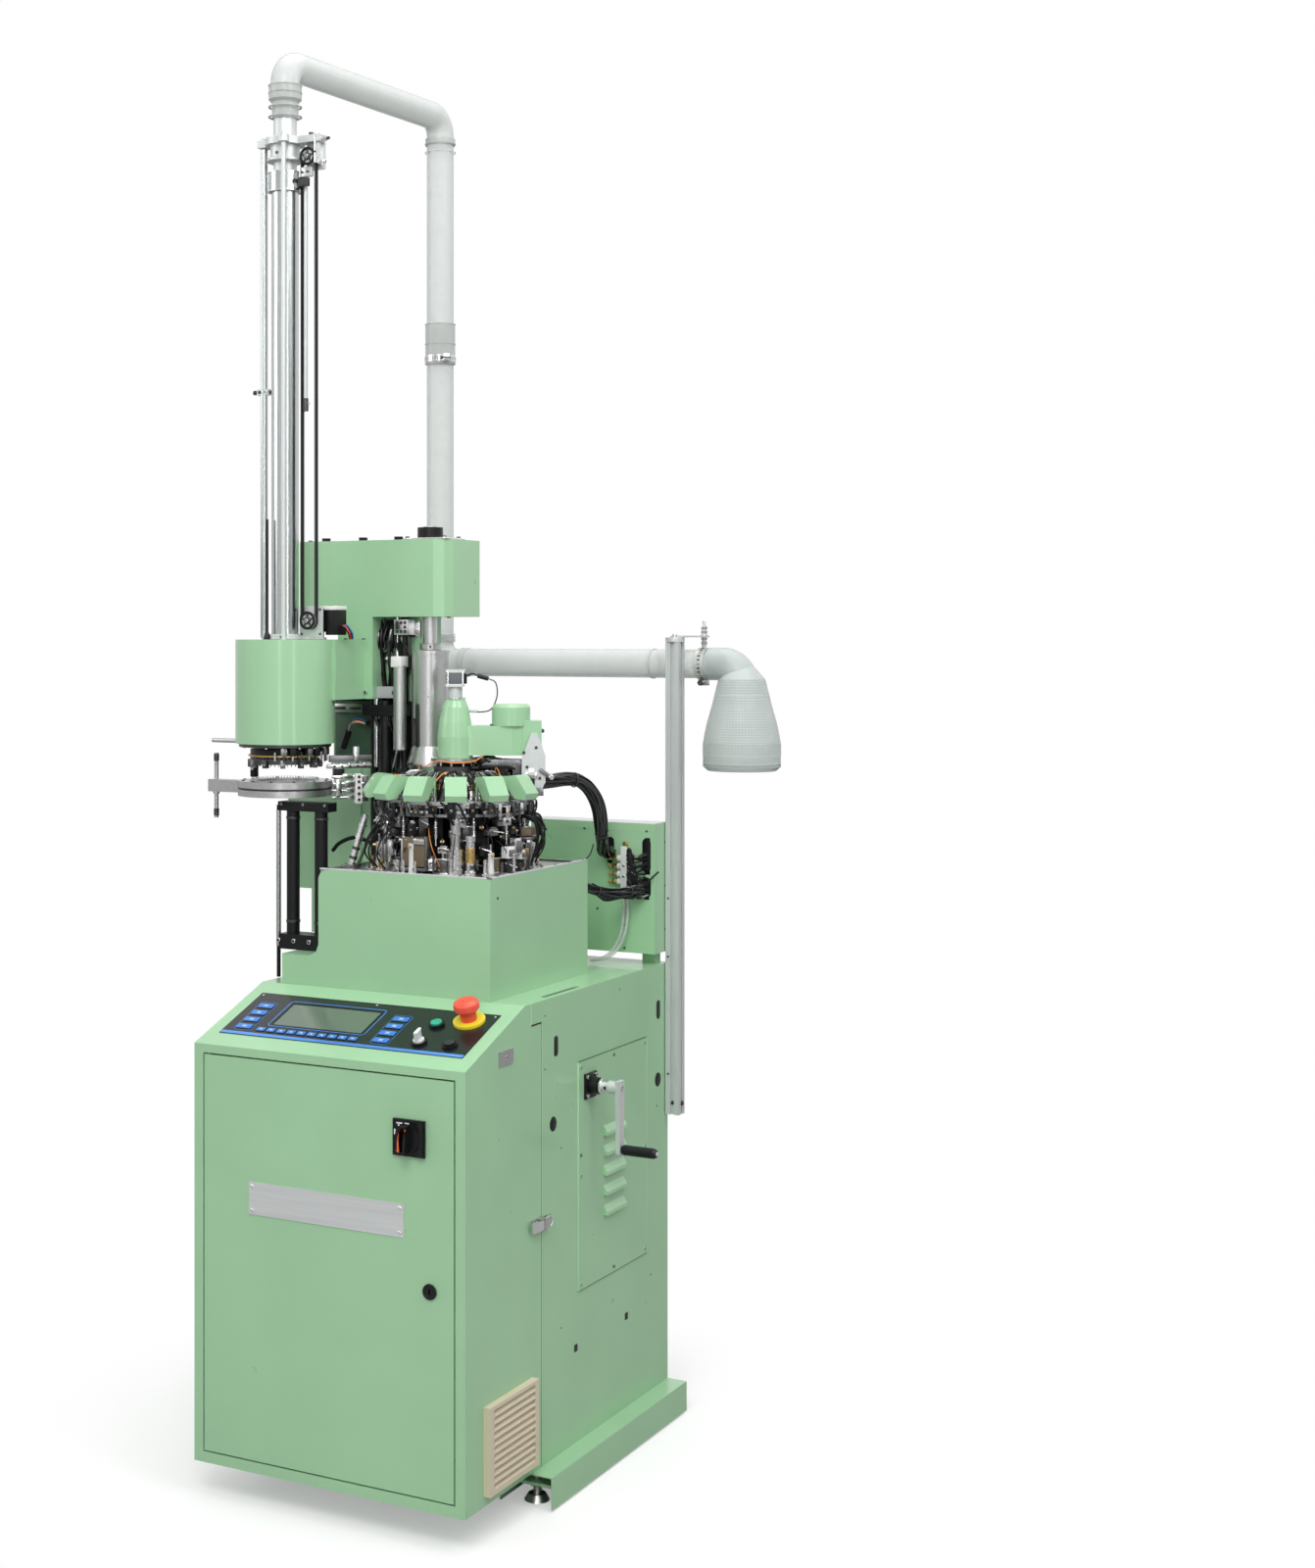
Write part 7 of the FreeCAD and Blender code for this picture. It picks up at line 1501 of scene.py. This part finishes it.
def manifold_trim(piece):
    """Fittings of the air manifold with the black hoses and leads round it."""
    piece.block((211, 301.4, 1074), (225, 303.2, 1174), "silver_plastic", 0.8)
    for turn in range(4):
        height = 1148 - 16 * turn
        place = facing((211, 310, height), (-1, 0, 0))
        piece.lathe([(4.2, 0), (7.2, 0.6), (7.2, 9), (5.6, 10), (4.2, 10)], "silver_plastic", place, 20)
        piece.lathe([(4.2, 10), (5.4, 10.4), (5.4, 17), (4.6, 18), (4.6, 24), (4.0, 25), (4.0, 31), (0, 31)],
                    BRASS, place, 6)
        piece.band(4.7, 5.2, 18.5, 20.5, 0.3, DARK, place, 16)
    for height in (1178, 1070):
        piece.lathe([(0, -6), (4.8, -6), (5.4, -5), (5.4, 5), (4.8, 6), (0, 6)], BRASS,
                    upright((218, 310, height)), 6)
    between, pick = draws(5)
    for turn in range(26):
        height = 1162 - 3.2 * turn
        end = 1164 - 3.4 * turn if turn % 3 else 1100 - 1.1 * turn
        path = [(224, 306, height), (235, 298 + between(-5, 3), height + between(-7, 7)),
                (249, 300 + between(-6, 4), end + between(-8, 8)), (261 + between(-4, 4), 320, end)]
        piece.wire(path, pick((1.6, 2.4, 3.2)), pick((CABLE, SHEEN, CABLE)), 8, 8)
    for turn in range(12):
        end = between(1078, 1102)
        path = [(between(196, 204), between(192, 200), between(1090, 1106)), (206, 228, between(1070, 1092)),
                (222, 262, between(1066, 1090)), (246, 290, between(1068, 1094)), (260, 319, end)]
        piece.wire(path, pick((1.8, 2.6)), pick((CABLE, SHEEN)), 7, 8)
    for height in (1126, 1148):
        piece.screw((218, 301.4, height - 14), FORE, 2.8, BRIGHT, 1.6)
    piece.wire([(262, 317, 1082), (268, 306, 1096), (276, 312, 1110), (284, 330, 1122)], 1.8, CABLE)
    piece.wire([(150, 300, 1176), (140, 302, 1152), (118, 306, 1136), (96, 312, 1130)], 1.2, CABLE, 6, 8)


def clear_hoses(piece):
    """Two thin clear hoses that fall from the manifold behind the bed box."""
    for reach in (0, 9):
        path = [(214 + reach, 308, 1078), (217 + reach, 304, 1040), (214 + reach, 300, 1000),
                (200 + reach, 296, 965), (178 + reach, 290, 944), (150 + reach * 0.5, 284, 936)]
        piece.wire(path, 3.0, SLEEVE, 12, 10)


# ---------------------------------------------------------------- cable bundles, in metres

HEAD_ROUTE = ((0.1134, 0.0626, 1.316), (0.1378, 0.0916, 1.316), (0.166, 0.126, 1.321), (0.192, 0.162, 1.317),
              (0.207, 0.196, 1.281), (0.203, 0.228, 1.228), (0.19, 0.262, 1.182), (0.178, 0.293, 1.16),
              (0.178, 0.319, 1.16))
HEAD_THICK = 0.03
REAR_ROUTE = ((0.194, 0.155, 1.1), (0.194, 0.178, 1.1), (0.202, 0.209, 1.09), (0.223, 0.241, 1.084),
              (0.247, 0.27, 1.087), (0.26, 0.297, 1.089), (0.26, 0.319, 1.089))
REAR_THICK = 0.02


def route_line(route, steps=16):
    """Points read from the smooth spline that has a route's points as its control points."""
    data = bpy.data.curves.new("route", "CURVE")
    data.dimensions = "3D"
    data.resolution_u = steps
    line = data.splines.new("NURBS")
    line.points.add(len(route) - 1)
    for point, place in zip(line.points, route):
        point.co = (*place, 1)
    line.order_u = 3
    line.use_endpoint_u = True
    holder = bpy.data.objects.new("route", data)
    mesh = bpy.data.meshes.new_from_object(holder)
    points = [vert.co.copy() for vert in mesh.vertices]
    bpy.data.objects.remove(holder)
    bpy.data.meshes.remove(mesh)
    bpy.data.curves.remove(data)
    return points


def bundle(node, route, thick, strand_count, seed):
    """Cable bundle: leads of several kinds lying loosely side by side round a dark core."""
    between, _ = draws(seed)
    line = route_line(route)
    frames = frames_along(line)
    piece = Piece(node.replace("bundle", "strands"))
    half = thick / 2 / MM
    points = [point / MM for point in line]
    piece.pipe(points, half * 0.5, CABLE, 12)
    kinds = (SHEEN, CABLE, SHEEN, GREY, SHEEN, CABLE)
    for strand in range(strand_count):
        radius = between(0.11, 0.19) * half
        start = tau * strand / strand_count
        twist = between(0.2, 2.2)
        depth = half * 1.02 - radius
        wander = between(0, 6.28)
        path = []
        for n, (point, (_, lean, side)) in enumerate(zip(points, frames)):
            share = n / (len(points) - 1)
            angle = start + twist * share + 0.5 * sin(8 * share + wander)
            reach = depth * (0.84 + 0.16 * sin(11 * share + 2 * wander))
            path.append(point + lean * reach * cos(angle) + side * reach * sin(angle))
        piece.pipe(path, radius, kinds[strand % len(kinds)], 8)
    for share in (0.3, 0.72):
        n = int(share * (len(points) - 1))
        piece.band(half * 0.9, half * 1.03, -1.2, 1.2, 0.2, GREY,
                   facing(points[n], frames[n][0], Vector((0.3, 0.2, 1))), 24)
    thing = piece.finish("root")
    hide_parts(node)


# ---------------------------------------------------------------- all that is made, in order

TRIMS = (  # what fills a piece of its own name, the body that it rides on, and its slot
    (panel_graphics, "root", "membrane"),
    (selector_trim, "selector", "silver_plastic"),
    (stop_trim, "stop_key", "red_plastic"),
    (start_trim, "start_key", "green_plastic"),
    (reset_trim, "reset_key", BLACK),
    (door_trim, "door", BLACK),
    (switch_strip, "main_switch", "orange_plastic"),
    (lock_trim, "lock", BLACK),
    (side_trim, "root", "green_paint"),
    (crank_trim, "crank", ALLOY),
    (latch_bail, "latch", CHROME),
    (ring_trim, "root", MACHINED),
    (yarn_fingers, "root", MACHINED),
    (cover_trim, "root", "green_paint"),
    (bed_mechanism, "root", MACHINED),
    (bed_front_units, "root", MACHINED),
    (bed_rim, "root", ALLOY),
    (bed_wiring, "root", CABLE),
    (upper_mechanism, "root", MACHINED),
    (dial_arm_trim, "root", BLACK),
    (drum_trim, "root", MACHINED),
    (linking_prongs, "link_head", MACHINED),
    (pickup_trim, "pickup", CHROME),
    (transfer_recess, "root", ENAMEL),
    (transfer_trim, "transfer", CHROME),
    (housing_trim, "root", MACHINED),
    (stand_trim, "root", ENAMEL),
    (tube_frame_trim, "root", ALLOY),
    (carriage_trim, "tube", "tube_metal"),
    (idler_face, "idler", MACHINED),
    (driver_face, "driver", MACHINED),
    (belt_teeth, "root", "belt_rubber"),
    (lift_motor_trim, "root", "motor_grey"),
    (coupling_clamp, "root", CHROME),
    (pipe_trim, "root", SLEEVE),
    (bell_trim, "root", "clear_bell"),
    (post_trim, "root", MACHINED),
    (rear_box_trim, "root", "green_paint"),
    (manifold_trim, "root", ALLOY),
    (clear_hoses, "root", SLEEVE),
)

scene.view_settings.view_transform = "Standard"
make_camera()
surface = make_materials()
bundle("head_cable_bundle", HEAD_ROUTE, HEAD_THICK, 30, 2)
bundle("rear_cable_bundle", REAR_ROUTE, REAR_THICK, 20, 7)
make_world()
make_floor()
make_lamps()
dress_nodes()
for fill, body, slot in TRIMS:
    piece = Piece(fill.__name__)
    fill(piece)
    piece.finish(body)
